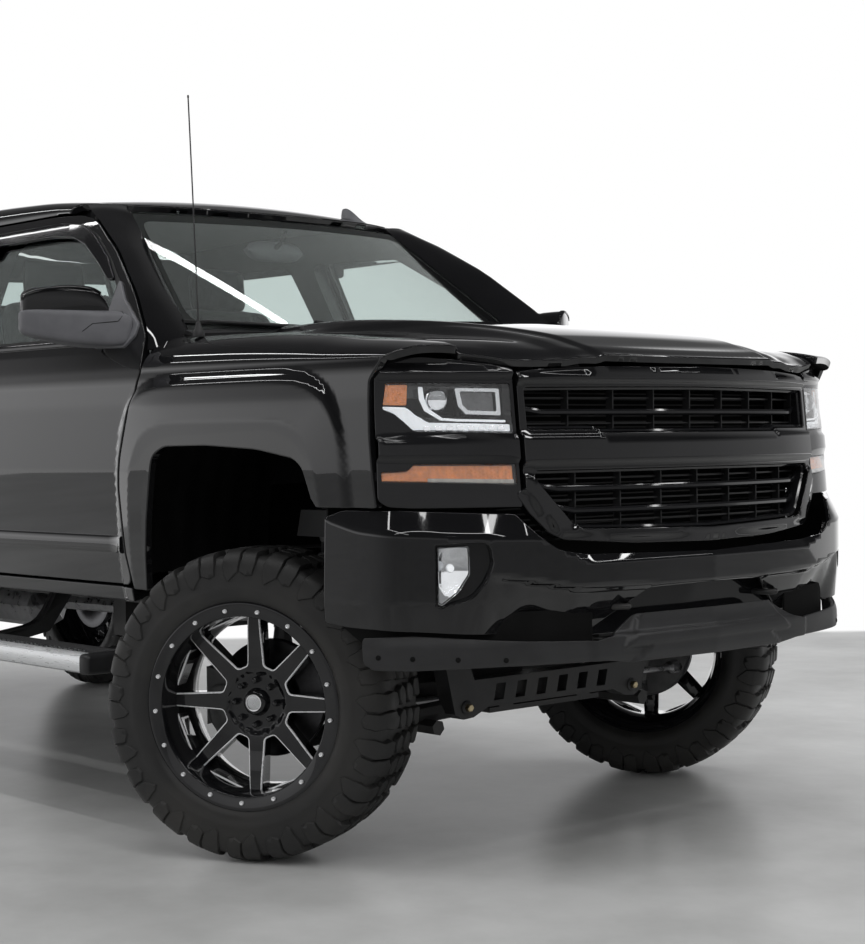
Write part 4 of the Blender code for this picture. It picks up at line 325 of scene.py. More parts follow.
def skin(name, outline, holes, surf, cell, mats, depth=0.02, roll=0.003, back=None, sign=1,
         edge_cell=None, rim_mat=0, back_mat=0, steps=3):
    """Closed panel with true surface normals and rolled edges.

    surf maps arrays (u, v) to points; back does the same for the rear face. sign makes normals face out.
    """
    edge_cell = edge_cell or cell
    outline = resampled(ccw(outline), edge_cell)
    holes = [resampled(ccw(h), edge_cell) for h in holes]
    top_loops = [inset(outline, roll)] + [inset(h, -roll) for h in holes]
    full_loops = [outline, *holes]
    coords, tris, ranges = fill(top_loops[0], top_loops[1:], cell)
    if back is None:
        def back(u, v):
            uv = np.stack([np.atleast_1d(u), np.atleast_1d(v)], 1)
            return surf(uv[:, 0], uv[:, 1]) - surface_normals(surf, uv, sign) * depth
    top = surf(coords[:, 0], coords[:, 1])
    top_normals = surface_normals(surf, coords, sign)
    order = 1 if np.einsum("ij,ij->i", np.cross(top[tris[:, 1]] - top[tris[:, 0]],
                                                top[tris[:, 2]] - top[tris[:, 0]]),
                           top_normals[tris[:, 0]]).sum() > 0 else -1
    verts = [top]
    faces = [tuple(t[::order]) for t in tris]
    normals = [top_normals[i] for t in tris for i in t[::order]]
    marks = [0] * len(tris)
    count = len(top)
    back_uv = coords.copy()
    rings = []
    for loop_index, ((start, size), full) in enumerate(zip(ranges, full_loops)):
        full = np.array(full)
        away = outward(list(map(tuple, full)))
        if loop_index:
            away = -away
        back_uv[start:start + size] = full
        rim_top = surf(full[:, 0], full[:, 1])
        n = surface_normals(surf, full, sign)
        ahead = surf(full[:, 0] + away[:, 0] * 0.002, full[:, 1] + away[:, 1] * 0.002) - rim_top
        t = unit(ahead - n * np.einsum("ij,ij->i", ahead, n)[:, None])
        rows = [(np.arange(start, start + size), n)]
        for k in range(1, steps + 1):
            angle = 0.5 * pi * k / steps
            uv = full - away * roll * (1 - sin(angle))
            level = surf(uv[:, 0], uv[:, 1]) - n * roll * (1 - cos(angle))
            verts.append(level)
            rows.append((np.arange(count, count + size), n * cos(angle) + t * sin(angle)))
            count += size
        rings.append((rows, t, loop_index))
    back_points = back(back_uv[:, 0], back_uv[:, 1])
    verts.append(back_points)
    base_back = count
    back_normals = np.zeros_like(back_points)
    back_tris = tris[:, ::-1] + base_back
    cross = np.cross(back_points[tris[:, 2]] - back_points[tris[:, 0]],
                     back_points[tris[:, 1]] - back_points[tris[:, 0]])
    for c in range(3):
        np.add.at(back_normals, tris[:, c], cross)
    back_normals = unit(back_normals) * order
    for (rows, t, loop_index), (start, size) in zip(rings, ranges):
        rows = rows + [(np.arange(start, start + size) + base_back, t)]
        for k in range(len(rows) - 1):
            (ia, na), (ib, nb) = rows[k], rows[k + 1]
            if k == len(rows) - 2:
                na = t
            for i in range(size):
                j = (i + 1) % size
                quad = [(ia[i], na[i]), (ia[j], na[j]), (ib[j], nb[j]), (ib[i], nb[i])]
                flip = (order > 0) == (loop_index == 0)
                if flip:
                    quad = quad[::-1]
                faces.append(tuple(int(q[0]) for q in quad))
                normals += [q[1] for q in quad]
                marks.append(rim_mat if k < len(rows) - 2 else 0)
    for t in back_tris[:, ::order]:
        faces.append(tuple(int(i) for i in t))
        normals += [back_normals[i - base_back] for i in t]
        marks.append(back_mat)
    faces = [tuple(int(i) for i in f) for f in faces]
    return mesh_object(name, np.concatenate(verts), faces, mats, normals, marks)


def add_bevel(thing, width, angle, harden):
    """Two-step bevel on the edges that turn by more than an angle in degrees."""
    step = thing.modifiers.new("bevel", "BEVEL")
    step.width = width
    step.segments = 2
    step.limit_method = "ANGLE"
    step.angle_limit = radians(angle)
    step.harden_normals = harden


def solid(name, verts, faces, mat, bevel=0.0, sharp=35.0, subdivide=0, matrix=None):
    """Mesh object with outward faces, an optional bevel and optional subdivision."""
    mats = mat if isinstance(mat, (list, tuple)) else [mat]
    mesh = bpy.data.meshes.new(name)
    mesh.from_pydata([tuple(v) for v in verts], [], [tuple(f) for f in faces])
    edit = bmesh.new()
    edit.from_mesh(mesh)
    bmesh.ops.remove_doubles(edit, verts=edit.verts, dist=1e-6)
    bmesh.ops.recalc_face_normals(edit, faces=edit.faces)
    if matrix is not None:
        edit.transform(matrix)
        if matrix.determinant() < 0:
            bmesh.ops.reverse_faces(edit, faces=edit.faces)
    edit.to_mesh(mesh)
    edit.free()
    for m in mats:
        mesh.materials.append(m)
    mesh.shade_smooth()
    thing = placed(name, mesh)
    if bevel:
        add_bevel(thing, bevel, 30, True)
    if subdivide:
        step = thing.modifiers.new("smooth", "SUBSURF")
        step.levels = subdivide
        step.render_levels = subdivide
    elif sharp and not bevel:
        mesh.set_sharp_from_angle(angle=radians(sharp))
    return thing


def prism(name, outline, axis, low, high, mat, bevel=0.002, matrix=None, sharp=35.0):
    spot = {"X": lambda u, v, w: (w, u, v), "Y": lambda u, v, w: (u, w, v), "Z": lambda u, v,
            w: (u, v, w)}[axis]
    count = len(outline)
    verts = [spot(u, v, low) for u, v in outline] + [spot(u, v, high) for u, v in outline]
    faces = [tuple(range(count)), tuple(range(2 * count - 1, count - 1, -1))]
    faces += [(i, (i + 1) % count, count + (i + 1) % count, count + i) for i in range(count)]
    return solid(name, verts, faces, mat, bevel, sharp, matrix=matrix)


def box(name, low, high, mat, bevel=0.003, matrix=None):
    outline = rectangle(low[0], low[1], high[0], high[1])
    return prism(name, outline, "Z", low[2], high[2], mat, bevel, matrix)


def loft_data(rings, closed=False, caps=True):
    count = len(rings[0])
    verts = [p for ring in rings for p in ring]
    faces = []
    for s in range(len(rings) if closed else len(rings) - 1):
        a, b = s * count, ((s + 1) % len(rings)) * count
        faces += [(a + i, a + (i + 1) % count, b + (i + 1) % count, b + i) for i in range(count)]
    if not closed and caps:
        end = (len(rings) - 1) * count
        faces += [tuple(range(count)), tuple(range(end + count - 1, end - 1, -1))]
    return verts, faces


def loft(name, rings, mat, closed=False, bevel=0.0, sharp=35.0, subdivide=0, caps=True):
    return solid(name, *loft_data(rings, closed, caps), mat, bevel, sharp, subdivide=subdivide)


def tube_rings(points, radius, sides):
    points = [Vector(p) for p in points]
    radii = radius if isinstance(radius, (list, tuple)) else [radius] * len(points)
    tangent = (points[1] - points[0]).normalized()
    across = tangent.orthogonal().normalized()
    rings = []
    for i, point in enumerate(points):
        ahead = (points[min(i + 1, len(points) - 1)] - points[max(i - 1, 0)]).normalized()
        across = tangent.rotation_difference(ahead) @ across
        tangent = ahead
        up = tangent.cross(across)
        rings.append([tuple(point + radii[i] * (cos(a) * across + sin(a) * up)) for a in turns(sides)])
    return rings


def tube(name, points, radius, mat, sides=16, closed=False, sharp=50.0):
    return loft(name, tube_rings(points, radius, sides), mat, closed=closed, sharp=sharp)


def spline(points, runs=6, closed=False):
    """Points along a smooth curve through the given ones."""
    p = [np.array(q, float) for q in points]
    n = len(p)
    out = []
    for i in range(n if closed else n - 1):
        if closed:
            a, b, c, d = (p[(i + k) % n] for k in (-1, 0, 1, 2))
        else:
            a, b, c, d = p[max(i - 1, 0)], p[i], p[i + 1], p[min(i + 2, n - 1)]
        for k in range(runs):
            t = k / runs
            out.append(tuple(0.5 * (2 * b + (c - a) * t + (2 * a - 5 * b + 4 * c - d) * t * t
                                    + (3 * b - a - 3 * c + d) * t ** 3)))
    if not closed:
        out.append(tuple(p[-1]))
    return out


def flat_x(at):
    """Surface in (y, z) with one x."""
    return lambda y, z: np.stack([np.full_like(y, at), y, z], 1)


def flat_y(at):
    """Surface in (x, z) with one y."""
    return lambda x, z: np.stack([x, np.full_like(x, at), z], 1)


def lathe_data(profile, sides, closed=False):
    """Profile of (radius, along Y) revolved about the Y axis."""
    verts, faces = [], []
    count = len(profile)
    for a in turns(sides):
        verts += [(r * cos(a), y, r * sin(a)) for r, y in profile]
    for k in range(sides):
        a, b = k * count, ((k + 1) % sides) * count
        for i in range(count if closed else count - 1):
            j = (i + 1) % count
            faces.append((a + i, a + j, b + j, b + i))
    return verts, faces


def merged(name, parts):
    """One object from several mesh objects; modifiers are kept as geometry."""
    graph = bpy.context.evaluated_depsgraph_get()
    edit = bmesh.new()
    mats = []
    for part in parts:
        mesh = bpy.data.meshes.new_from_object(part.evaluated_get(graph))
        mesh.transform(part.matrix_world)
        places = []
        for m in mesh.materials:
            if m not in mats:
                mats.append(m)
            places.append(mats.index(m))
        first = len(edit.faces)
        edit.from_mesh(mesh)
        edit.faces.ensure_lookup_table()
        for face in edit.faces[first:]:
            face.material_index = places[min(face.material_index, len(places) - 1)]
        bpy.data.objects.remove(part, do_unlink=True)
    mesh = bpy.data.meshes.new(name)
    edit.to_mesh(mesh)
    edit.free()
    for m in mats:
        mesh.materials.append(m)
    mesh.shade_smooth()
    mesh.set_sharp_from_angle(angle=radians(38))
    return placed(name, mesh)


# Materials

WHITE = (1, 1, 1, 1)
LED_LIGHT = (0.92, 0.96, 1.0, 1)
ROAD_DUST = (0.20, 0.18, 0.15, 1)


def set_inputs(node, **values):
    """Sets inputs by their names; an underscore stands for a space."""
    for name, value in values.items():
        node.inputs[name.replace("_", " ")].default_value = value
    return node


def add_node(tree, kind, **values):
    return set_inputs(tree.nodes.new("ShaderNode" + kind), **values)


def link(tree, source, output, target, entry):
    tree.links.new(source.outputs[output], target.inputs[entry])


def colour_mix(tree, **values):
    """Colour mixing node. Its data type is set first, because the names of its inputs depend on it."""
    mix = add_node(tree, "Mix")
    mix.data_type = "RGBA"
    return set_inputs(mix, **values)


def math_node(tree, operation, first, second):
    """Math node that is fed by two (node, output) pairs."""
    node = add_node(tree, "Math")
    node.operation = operation
    link(tree, *first, node, 0)
    link(tree, *second, node, 1)
    return node


def dot_node(tree, source, output, way):
    """Dot product of a vector output and a fixed direction."""
    node = add_node(tree, "VectorMath")
    node.operation = "DOT_PRODUCT"
    node.inputs[1].default_value = way
    link(tree, source, output, node, 0)
    return node


def shader_mix(tree, share, first, second):
    """Mix of two shaders; the share and both shaders are (node, output) pairs."""
    mix = add_node(tree, "MixShader")
    link(tree, *share, mix, "Fac")
    link(tree, *first, mix, 1)
    link(tree, *second, mix, 2)
    return mix


def two_tones(tree, source, low, high, ends=(0.0, 1.0)):
    """Colour ramp between two colours, driven by a texture."""
    ramp = add_node(tree, "ValToRGB")
    for element, at, colour in zip(ramp.color_ramp.elements, ends, (low, high)):
        element.position = at
        element.color = (*colour, 1)
    link(tree, source, "Fac", ramp, "Fac")
    return ramp


def vary_roughness(tree, shader, source, low, high, ends=(0.0, 1.0)):
    reach = add_node(tree, "MapRange", From_Min=ends[0], From_Max=ends[1], To_Min=low, To_Max=high)
    link(tree, source, "Fac", reach, "Value")
    link(tree, reach, "Result", shader, "Roughness")


def add_relief(tree, shader, source, output, strength, depth):
    relief = add_node(tree, "Bump", Strength=strength, Distance=depth)
    link(tree, source, output, relief, "Height")
    link(tree, relief, "Normal", shader, "Normal")


def new_material(name):
    """Material with its node tree and its shader."""
    mat = bpy.data.materials.new(name)
    mat.use_nodes = True
    return mat, mat.node_tree, mat.node_tree.nodes["Principled BSDF"]


def finish(name, colour, rough, metal=0.0, coat=0.0, vary=0.10, rough_vary=0.04, scale=8.0, bump=0.0,
           bump_scale=400.0, cells=False, spec=0.5, stretch=(1, 1, 1), sheen=0.0, dust=0.0, glow=0.0):
    """Material whose colour, roughness and relief come from procedural textures."""
    mat, tree, shader = new_material(name)
    set_inputs(shader, Metallic=metal, IOR=1.5, Specular_IOR_Level=spec, Coat_Weight=coat,
               Coat_Roughness=0.02)
    if sheen:
        set_inputs(shader, Sheen_Weight=sheen, Sheen_Roughness=0.5)
    if glow:
        set_inputs(shader, Emission_Color=LED_LIGHT, Emission_Strength=glow)
    place = add_node(tree, "TexCoord")
    mapping = add_node(tree, "Mapping", Scale=stretch)
    link(tree, place, "Object", mapping, "Vector")
    cloud = add_node(tree, "TexNoise", Scale=scale, Detail=5.0)
    link(tree, mapping, "Vector", cloud, "Vector")
    low = [c * (1 - vary) for c in colour]
    high = [min(1.0, c * (1 + vary)) for c in colour]
    tone = two_tones(tree, cloud, low, high, (0.35, 0.65))
    if dust:
        spread = add_node(tree, "TexNoise", Scale=3.0, Detail=8.0)
        link(tree, place, "Object", spread, "Vector")
        amount = add_node(tree, "MapRange", From_Min=0.45, From_Max=0.75, To_Max=dust)
        link(tree, spread, "Fac", amount, "Value")
        mix = colour_mix(tree, B=ROAD_DUST)
        link(tree, amount, "Result", mix, "Factor")
        link(tree, tone, "Color", mix, "A")
        link(tree, mix, "Result", shader, "Base Color")
    else:
        link(tree, tone, "Color", shader, "Base Color")
    vary_roughness(tree, shader, cloud, max(0.0, rough - rough_vary), rough + rough_vary, (0.3, 0.7))
    if bump:
        if cells:
            grain = add_node(tree, "TexVoronoi", Scale=bump_scale)
        else:
            grain = add_node(tree, "TexNoise", Scale=bump_scale, Detail=3.0)
        link(tree, mapping, "Vector", grain, "Vector")
        add_relief(tree, shader, grain, "Distance" if cells else "Fac", bump, 0.001)
    return mat


def cloth_finish(name, colour, scale=700.0):
    """Woven cloth: two crossed waves give the threads."""
    mat = finish(name, colour, 0.92, vary=0.25, scale=30.0, sheen=0.4)
    tree = mat.node_tree
    place = next(n for n in tree.nodes if n.type == "TEX_COORD")
    waves = []
    for way in ("X", "DIAGONAL"):
        wave = add_node(tree, "TexWave", Scale=scale / 6)
        wave.bands_direction = way
        link(tree, place, "Object", wave, "Vector")
        waves.append((wave, "Fac"))
    threads = math_node(tree, "MAXIMUM", *waves)
    add_relief(tree, tree.nodes["Principled BSDF"], threads, "Value", 0.35, 0.0008)
    return mat


def glass_finish(name, colour):
    """Clear sheet that is mostly see-through; faint clouds vary its roughness a little."""
    mat, tree, shader = new_material(name)
    set_inputs(shader, Transmission_Weight=1.0, IOR=1.45)
    cloud = add_node(tree, "TexNoise", Scale=4.0)
    link(tree, add_node(tree, "TexCoord"), "Object", cloud, "Vector")
    tone = two_tones(tree, cloud, [c * 0.97 for c in colour], colour)
    link(tree, tone, "Color", shader, "Base Color")
    vary_roughness(tree, shader, cloud, 0.0, 0.01)
    return mat


PAINT = finish("gloss_black_paint", (0.0075, 0.0075, 0.0082), 0.035, coat=1.0, vary=0.15, rough_vary=0.01,
               scale=3.0, bump=0.012, bump_scale=900.0, spec=0.12)
PLASTIC = finish("satin_black_plastic", (0.020, 0.020, 0.021), 0.42, vary=0.15, rough_vary=0.05,
                 scale=14.0, bump=0.25, bump_scale=900.0)
# Light grey that is partly the satin plastic's own tone and partly a painted reflection of the bright
# ceiling
GREY_WITH_PAINTED_REFLECTION = finish("satin_grey_painted_reflection", (0.125, 0.125, 0.135), 0.38, rough_vary=0.05, scale=14.0,
                 bump=0.20, bump_scale=900.0)
SMOKE = finish("smoked_shade", (0.006, 0.006, 0.007), 0.06, rough_vary=0.01, bump=0.01, bump_scale=300.0)
GLOSS = finish("gloss_black_plastic", (0.010, 0.010, 0.011), 0.07, vary=0.15, rough_vary=0.02, scale=6.0,
               bump=0.02, bump_scale=300.0)
DARK = finish("matte_black_housing", (0.006, 0.006, 0.006), 0.80, spec=0.15, vary=0.2, scale=10.0,
              bump=0.3, bump_scale=500.0)
RUBBER = finish("tyre_rubber", (0.016, 0.0158, 0.0156), 0.50, vary=0.18, rough_vary=0.10, scale=22.0,
                bump=0.35, bump_scale=260.0, dust=0.10)
SEAL = finish("window_seal", (0.012, 0.012, 0.012), 0.6, vary=0.15, scale=20.0, bump=0.2,
              bump_scale=700.0)
RIM = finish("gloss_black_rim", (0.008, 0.008, 0.009), 0.10, spec=0.12, coat=1.0, vary=0.2,
             rough_vary=0.03, scale=9.0, bump=0.02, bump_scale=500.0)
MILLED = finish("milled_edge", (0.90, 0.90, 0.91), 0.30, metal=0.35, vary=0.05, rough_vary=0.06,
                scale=40.0, bump=0.06, bump_scale=900.0)
BOLT = finish("rim_bolt_steel", (0.88, 0.88, 0.89), 0.26, metal=0.35, vary=0.06, scale=60.0, bump=0.05,
              bump_scale=600.0)
CHROME = finish("chrome_trim", (0.85, 0.85, 0.86), 0.06, metal=1.0, vary=0.03, rough_vary=0.02,
                scale=20.0, bump=0.01, bump_scale=300.0)
SATIN = finish("satin_bright_trim", (0.62, 0.63, 0.64), 0.26, metal=1.0, vary=0.05, rough_vary=0.05,
               scale=30.0, bump=0.04, bump_scale=800.0)
BOARD = finish("brushed_step", (0.80, 0.81, 0.82), 0.32, metal=0.6, vary=0.06, rough_vary=0.07,
               scale=18.0, bump=0.05, bump_scale=300.0, stretch=(1, 14, 14))
STEEL = finish("black_coated_steel", (0.024, 0.024, 0.025), 0.45, vary=0.18, rough_vary=0.08, scale=18.0,
               bump=0.22, bump_scale=220.0, dust=0.10)
CAST = finish("cast_grey_metal", (0.19, 0.19, 0.19), 0.55, metal=0.75, vary=0.2, rough_vary=0.08,
              scale=20.0, bump=0.5, bump_scale=160.0)
BRIGHT = finish("bare_steel", (0.45, 0.45, 0.46), 0.32, metal=1.0, vary=0.12, rough_vary=0.08, scale=30.0,
                bump=0.10, bump_scale=300.0)
ZINC = finish("yellow_zinc_bolt", (0.62, 0.52, 0.33), 0.30, metal=1.0, vary=0.12, rough_vary=0.06,
              scale=50.0, bump=0.08)
CLOTH = cloth_finish("charcoal_seat_cloth", (0.030, 0.031, 0.034))
TRIM = finish("interior_plastic", (0.020, 0.020, 0.022), 0.68, vary=0.12, rough_vary=0.06, scale=16.0,
              bump=0.35, bump_scale=650.0, cells=True)
LINING = cloth_finish("headliner_cloth", (0.075, 0.076, 0.080), 500.0)
CARPET = cloth_finish("floor_carpet", (0.018, 0.018, 0.019), 350.0)
BED_COAT = finish("bed_liner", (0.016, 0.016, 0.017), 0.7, vary=0.2, rough_vary=0.1, scale=20.0, bump=0.8,
                  bump_scale=180.0)
AMBER = finish("amber_reflector", (0.90, 0.24, 0.02), 0.10, coat=1.0, vary=0.15, rough_vary=0.03,
               scale=60.0, bump=0.5, bump_scale=220.0, cells=True)
RED = finish("red_lens", (0.42, 0.008, 0.008), 0.08, coat=1.0, vary=0.15, rough_vary=0.03, scale=60.0,
             bump=0.4, bump_scale=200.0, cells=True)
LED = finish("white_led_strip", (0.88, 0.89, 0.90), 0.20, coat=1.0, vary=0.03, rough_vary=0.05,
             scale=60.0, bump=0.2, bump_scale=200.0, cells=True, glow=0.35)
FROST = finish("ribbed_clear_plastic", (0.50, 0.46, 0.40), 0.16, coat=1.0, vary=0.15, rough_vary=0.05,
               scale=60.0, bump=0.4, bump_scale=160.0, cells=True)
# The disc is darker than bare steel: painted shade of the space behind the spokes
DISC_PAINTED_SHADE = finish("brake_disc_steel_painted_shade", (0.13, 0.13, 0.135), 0.36, metal=1.0, vary=0.15, rough_vary=0.08,
              scale=40.0, bump=0.15, bump_scale=350.0)
SMOKED = finish("smoked_lamp_lens", (0.070, 0.070, 0.074), 0.12, coat=1.0, vary=0.15, scale=40.0,
                bump=0.3, bump_scale=160.0, cells=True)
SCREEN = finish("screen_glass", (0.010, 0.011, 0.013), 0.08, rough_vary=0.02, scale=20.0)
PALE = finish("mirror_glass", (0.80, 0.81, 0.82), 0.03, metal=1.0, vary=0.02, rough_vary=0.01, scale=5.0)
SHIELD_GLASS = glass_finish("windshield_glass", (0.86, 0.93, 0.91))
SIDE_GLASS = glass_finish("side_window_glass", (0.72, 0.79, 0.775))
LENS_GLASS = glass_finish("lamp_cover", (0.96, 0.97, 0.98))


# Camera, light and floor

CAMERA_AT = (6.390, -4.211, 1.195)
CAMERA_YAW = radians(137.9)
CAMERA_PITCH = radians(-1.05)
CAMERA_ROLL = radians(-0.67)
FOCAL_PIXELS = 1905.5
PICTURE_HEIGHT_PIXELS = 944
SENSOR_MM = 36.0
STRIP_Z = 4.6
STRIP_WIDTH = 0.14
STRIP_RADIANCE = 11.0
BRIGHT_WAY = (-0.99, -0.14, 0.0)
HALL_BANDS = ((0.0, 0.55), (0.5, 0.75), (0.565, 0.95), (0.62, 0.40), (0.66, 0.09), (0.80, 0.035),
              (1.0, 0.03))
FLOOR_HALF = 60.0


def make_camera():
    ahead = Vector((cos(CAMERA_YAW) * cos(CAMERA_PITCH), sin(CAMERA_YAW) * cos(CAMERA_PITCH),
                    sin(CAMERA_PITCH)))
    right = ahead.cross(Vector((0, 0, 1))).normalized()
    up = right.cross(ahead)
    across = right * cos(CAMERA_ROLL) + up * sin(CAMERA_ROLL)
    above = up * cos(CAMERA_ROLL) - right * sin(CAMERA_ROLL)
    data = bpy.data.cameras.new("photo_camera")
    data.sensor_fit = "AUTO"
    data.sensor_width = SENSOR_MM
    data.lens = FOCAL_PIXELS / PICTURE_HEIGHT_PIXELS * SENSOR_MM
    data.clip_end = 200.0
    matrix = Matrix((across, above, -ahead)).transposed().to_4x4()
    matrix.translation = CAMERA_AT
    eye = placed("photo_camera", data)
    eye.matrix_world = matrix
    bpy.context.scene.camera = eye
    return ahead


def strip_light(name, start, end, z=STRIP_Z, width=STRIP_WIDTH):
    """Long thin area light that shows only in reflections and as light."""
    start, end = Vector((*start, z)), Vector((*end, z))
    data = bpy.data.lights.new(name, "AREA")
    data.shape = "RECTANGLE"
    data.size = (end - start).length
    data.size_y = width
    data.energy = STRIP_RADIANCE * pi * data.size * width
    lamp = placed(name, data)
    lamp.location = (start + end) / 2
    lamp.rotation_euler = (0, 0, atan2(end.y - start.y, end.x - start.x))
    lamp.visible_camera = False


def make_world():
    """White to the camera, even soft light, and a dim hall with a bright horizon in the reflections."""
    world = bpy.data.worlds.new("studio")
    bpy.context.scene.world = world
    world.use_nodes = True
    tree = world.node_tree
    tree.nodes.clear()
    path = add_node(tree, "LightPath")
    place = add_node(tree, "TexCoord")
    split = add_node(tree, "SeparateXYZ")
    link(tree, place, "Generated", split, "Vector")
    height = add_node(tree, "MapRange", From_Min=-1.0)
    link(tree, split, "Z", height, "Value")
    bands = add_node(tree, "ValToRGB")
    while len(bands.color_ramp.elements) < len(HALL_BANDS):
        bands.color_ramp.elements.new(0.5)
    for element, (at, value) in zip(bands.color_ramp.elements, HALL_BANDS):
        element.position = at
        element.color = (value, value, value * 1.01, 1)
    link(tree, height, "Result", bands, "Fac")

    # The hall is bright beside and behind the truck and dim ahead of it
    way = dot_node(tree, place, "Generated", BRIGHT_WAY)
    share = add_node(tree, "MapRange", From_Min=-0.35, From_Max=0.55, To_Min=0.42, To_Max=1.25)
    link(tree, way, "Value", share, "Value")
    hall = add_node(tree, "Background")
    link(tree, bands, "Color", hall, "Color")
    link(tree, share, "Result", hall, "Strength")
    soft = add_node(tree, "Background", Color=(0.98, 0.99, 1.0, 1), Strength=0.62)
    white = add_node(tree, "Background", Color=WHITE, Strength=1.0)
    light = shader_mix(tree, (path, "Is Glossy Ray"), (soft, "Background"), (hall, "Background"))
    seen = math_node(tree, "MAXIMUM", (path, "Is Camera Ray"), (path, "Is Transmission Ray"))
    whole = shader_mix(tree, (seen, "Value"), (light, "Shader"), (white, "Background"))
    link(tree, whole, "Shader", add_node(tree, "OutputWorld"), "Surface")


def make_floor(ahead):
    """Pale concrete that turns into the white backdrop behind the truck."""
    mat, tree, shader = new_material("studio_concrete")
    place = add_node(tree, "NewGeometry")
    cloud = add_node(tree, "TexNoise", Scale=0.9, Detail=9.0, Roughness=0.65)
    link(tree, place, "Position", cloud, "Vector")
    concrete = two_tones(tree, cloud, (0.50, 0.50, 0.49), (0.74, 0.74, 0.73), (0.36, 0.66))
    set_inputs(shader, Roughness=0.30, Specular_IOR_Level=0.4)

    # Painted shade: the floor colour is darker near the camera
    along = dot_node(tree, place, "Position", Vector((ahead.x, ahead.y, 0)).normalized())
    depth = add_node(tree, "MapRange", From_Min=-4.6, From_Max=0.5, To_Min=0.62, To_Max=1.0)
    link(tree, along, "Value", depth, "Value")
    tone = colour_mix(tree, Factor=1.0)
    tone.blend_type = "MULTIPLY"
    link(tree, concrete, "Color", tone, "A")
    link(tree, depth, "Result", tone, "B")
    link(tree, tone, "Result", shader, "Base Color")

    # Behind the truck it glows white to the camera, through glass and in reflections
    edge = add_node(tree, "MapRange", From_Min=3.75, From_Max=3.95)
    edge.interpolation_type = "SMOOTHSTEP"
    link(tree, along, "Value", edge, "Value")
    path = add_node(tree, "LightPath")
    seen = math_node(tree, "MAXIMUM", (path, "Is Camera Ray"), (path, "Is Transmission Ray"))
    shown = math_node(tree, "MAXIMUM", (seen, "Value"), (path, "Is Glossy Ray"))
    fade = math_node(tree, "MULTIPLY", (edge, "Result"), (shown, "Value"))
    glow = add_node(tree, "Emission")
    mix = shader_mix(tree, (fade, "Value"), (shader, "BSDF"), (glow, "Emission"))
    link(tree, mix, "Shader", tree.nodes["Material Output"], "Surface")

    mesh = bpy.data.meshes.new("studio_floor")
    corners = rectangle(-FLOOR_HALF, -FLOOR_HALF, FLOOR_HALF, FLOOR_HALF)
    mesh.from_pydata([(x, y, 0) for x, y in corners], [], [(0, 1, 2, 3)])
    mesh.materials.append(mat)
    floor = placed("studio_floor", mesh)


def make_studio():
    bpy.context.scene.view_settings.view_transform = "Standard"
    ahead = make_camera()
    make_world()
    make_floor(ahead)
    for index, (y, start) in enumerate(((-4.2, -5.0), (-1.9, -5.0), (0.6, 1.5), (3.2, 1.5))):
        strip_light(f"ceiling_strip_{index}", (start, y), (7.5, y))
    strip_light("front_strip", (5.4, -5.5), (5.4, 4.5), 4.2)
    strip_light("windshield_strip", (-0.20, -0.25), (0.62, 1.30), width=0.07)


# Body side

def side_surface(side, offset=0.0):
    def surf(x, z):
        return np.stack([x, side * (side_y(x, z) + offset), z], 1)
    return surf


def strip_along(name, path, section, mat, sharp=35.0, closed=False):
    """Section in (out, up) swept along points that carry their own out and up directions."""
    rings = []
    for point, out, up in path:
        point, out, up = Vector(point), Vector(out).normalized(), Vector(up).normalized()
        rings.append([tuple(point + out * a + up * b) for a, b in section])
    return loft(name, rings, mat, closed=closed, sharp=sharp)


def side_frame_of(x, z, side):
    """Point on the body side with its outward normal."""
    surf = side_surface(side)
    uv = np.array([[x, z]])
    point = surf(uv[:, 0], uv[:, 1])[0]
    normal = surface_normals(surf, uv, -side)[0]
    return Vector(point), Vector(normal)


def side_trim(name, points, section, mat, side, closed=False, sink=0.0):
    """Trim strip that follows a line of (x, z) points on the body side."""
    path = []
    count = len(points)
    for i, (x, z) in enumerate(points):
        a = points[(i - 1) % count] if closed or i else points[i]
        b = points[(i + 1) % count] if closed or i < count - 1 else points[i]
        point, normal = side_frame_of(x, z, side)
        pa, _ = side_frame_of(*a, side)
        pb, _ = side_frame_of(*b, side)
        tangent = (pb - pa).normalized()
        up = tangent.cross(normal) if side < 0 else normal.cross(tangent)
        path.append((point - normal * sink, normal, up))
    return strip_along(name, path, section, mat, closed=closed)


def door_outlines(front_door):
    if front_door:
        outer = [(DOOR_SPLIT_X + SHUT_GAP / 2, DOOR_BOTTOM_Z), (1.462, DOOR_BOTTOM_Z), (1.430, 0.860),
                 (1.411, 1.045), (1.422, 1.140), (1.455, 1.25), (1.494, 1.406), (1.478, 1.515),
                 (1.337, 1.653), (1.12, 1.819), (0.922, 1.935), (0.80, 1.962), (0.62, DOOR_TOP_Z),
                 (0.185, DOOR_TOP_Z), (DOOR_SPLIT_X + SHUT_GAP / 2, 1.48)]
        outer_radii = [0.03, 0.05, 0.3, 0.12, 0.12, 0.3, 0.012, 0.06, 0.5, 0.5, 0.3, 0.2, 0.2, 0.010, 0.4]
        window = [(0.295, 1.520), (1.222, 1.520), (1.220, 1.690), (1.100, 1.785), (0.96, 1.870),
                  (0.85, 1.912), (0.70, 1.930), (0.262, 1.930)]
        window_radii = [0.015, 0.015, 0.012, 0.15, 0.15, 0.15, 0.3, 0.02]
    else:
        outer = [(-0.40, DOOR_BOTTOM_Z), (DOOR_SPLIT_X - SHUT_GAP / 2, DOOR_BOTTOM_Z),
                 (DOOR_SPLIT_X - SHUT_GAP / 2, 1.48), (0.179, DOOR_TOP_Z), (-0.60, DOOR_TOP_Z),
                 (-0.715, 1.90), (-0.690, 1.47), (-0.690, 1.10), (-0.60, 0.94), (-0.47, 0.81)]
        outer_radii = [0.05, 0.03, 0.4, 0.010, 0.08, 0.05, 0.3, 0.15, 0.3, 0.15]
        window = [(-0.60, 1.520), (0.205, 1.520), (0.155, 1.930), (-0.58, 1.930), (-0.645, 1.88)]
        window_radii = [0.03, 0.015, 0.02, 0.05, 0.04]
    return rounded(outer, outer_radii), rounded(window, window_radii)


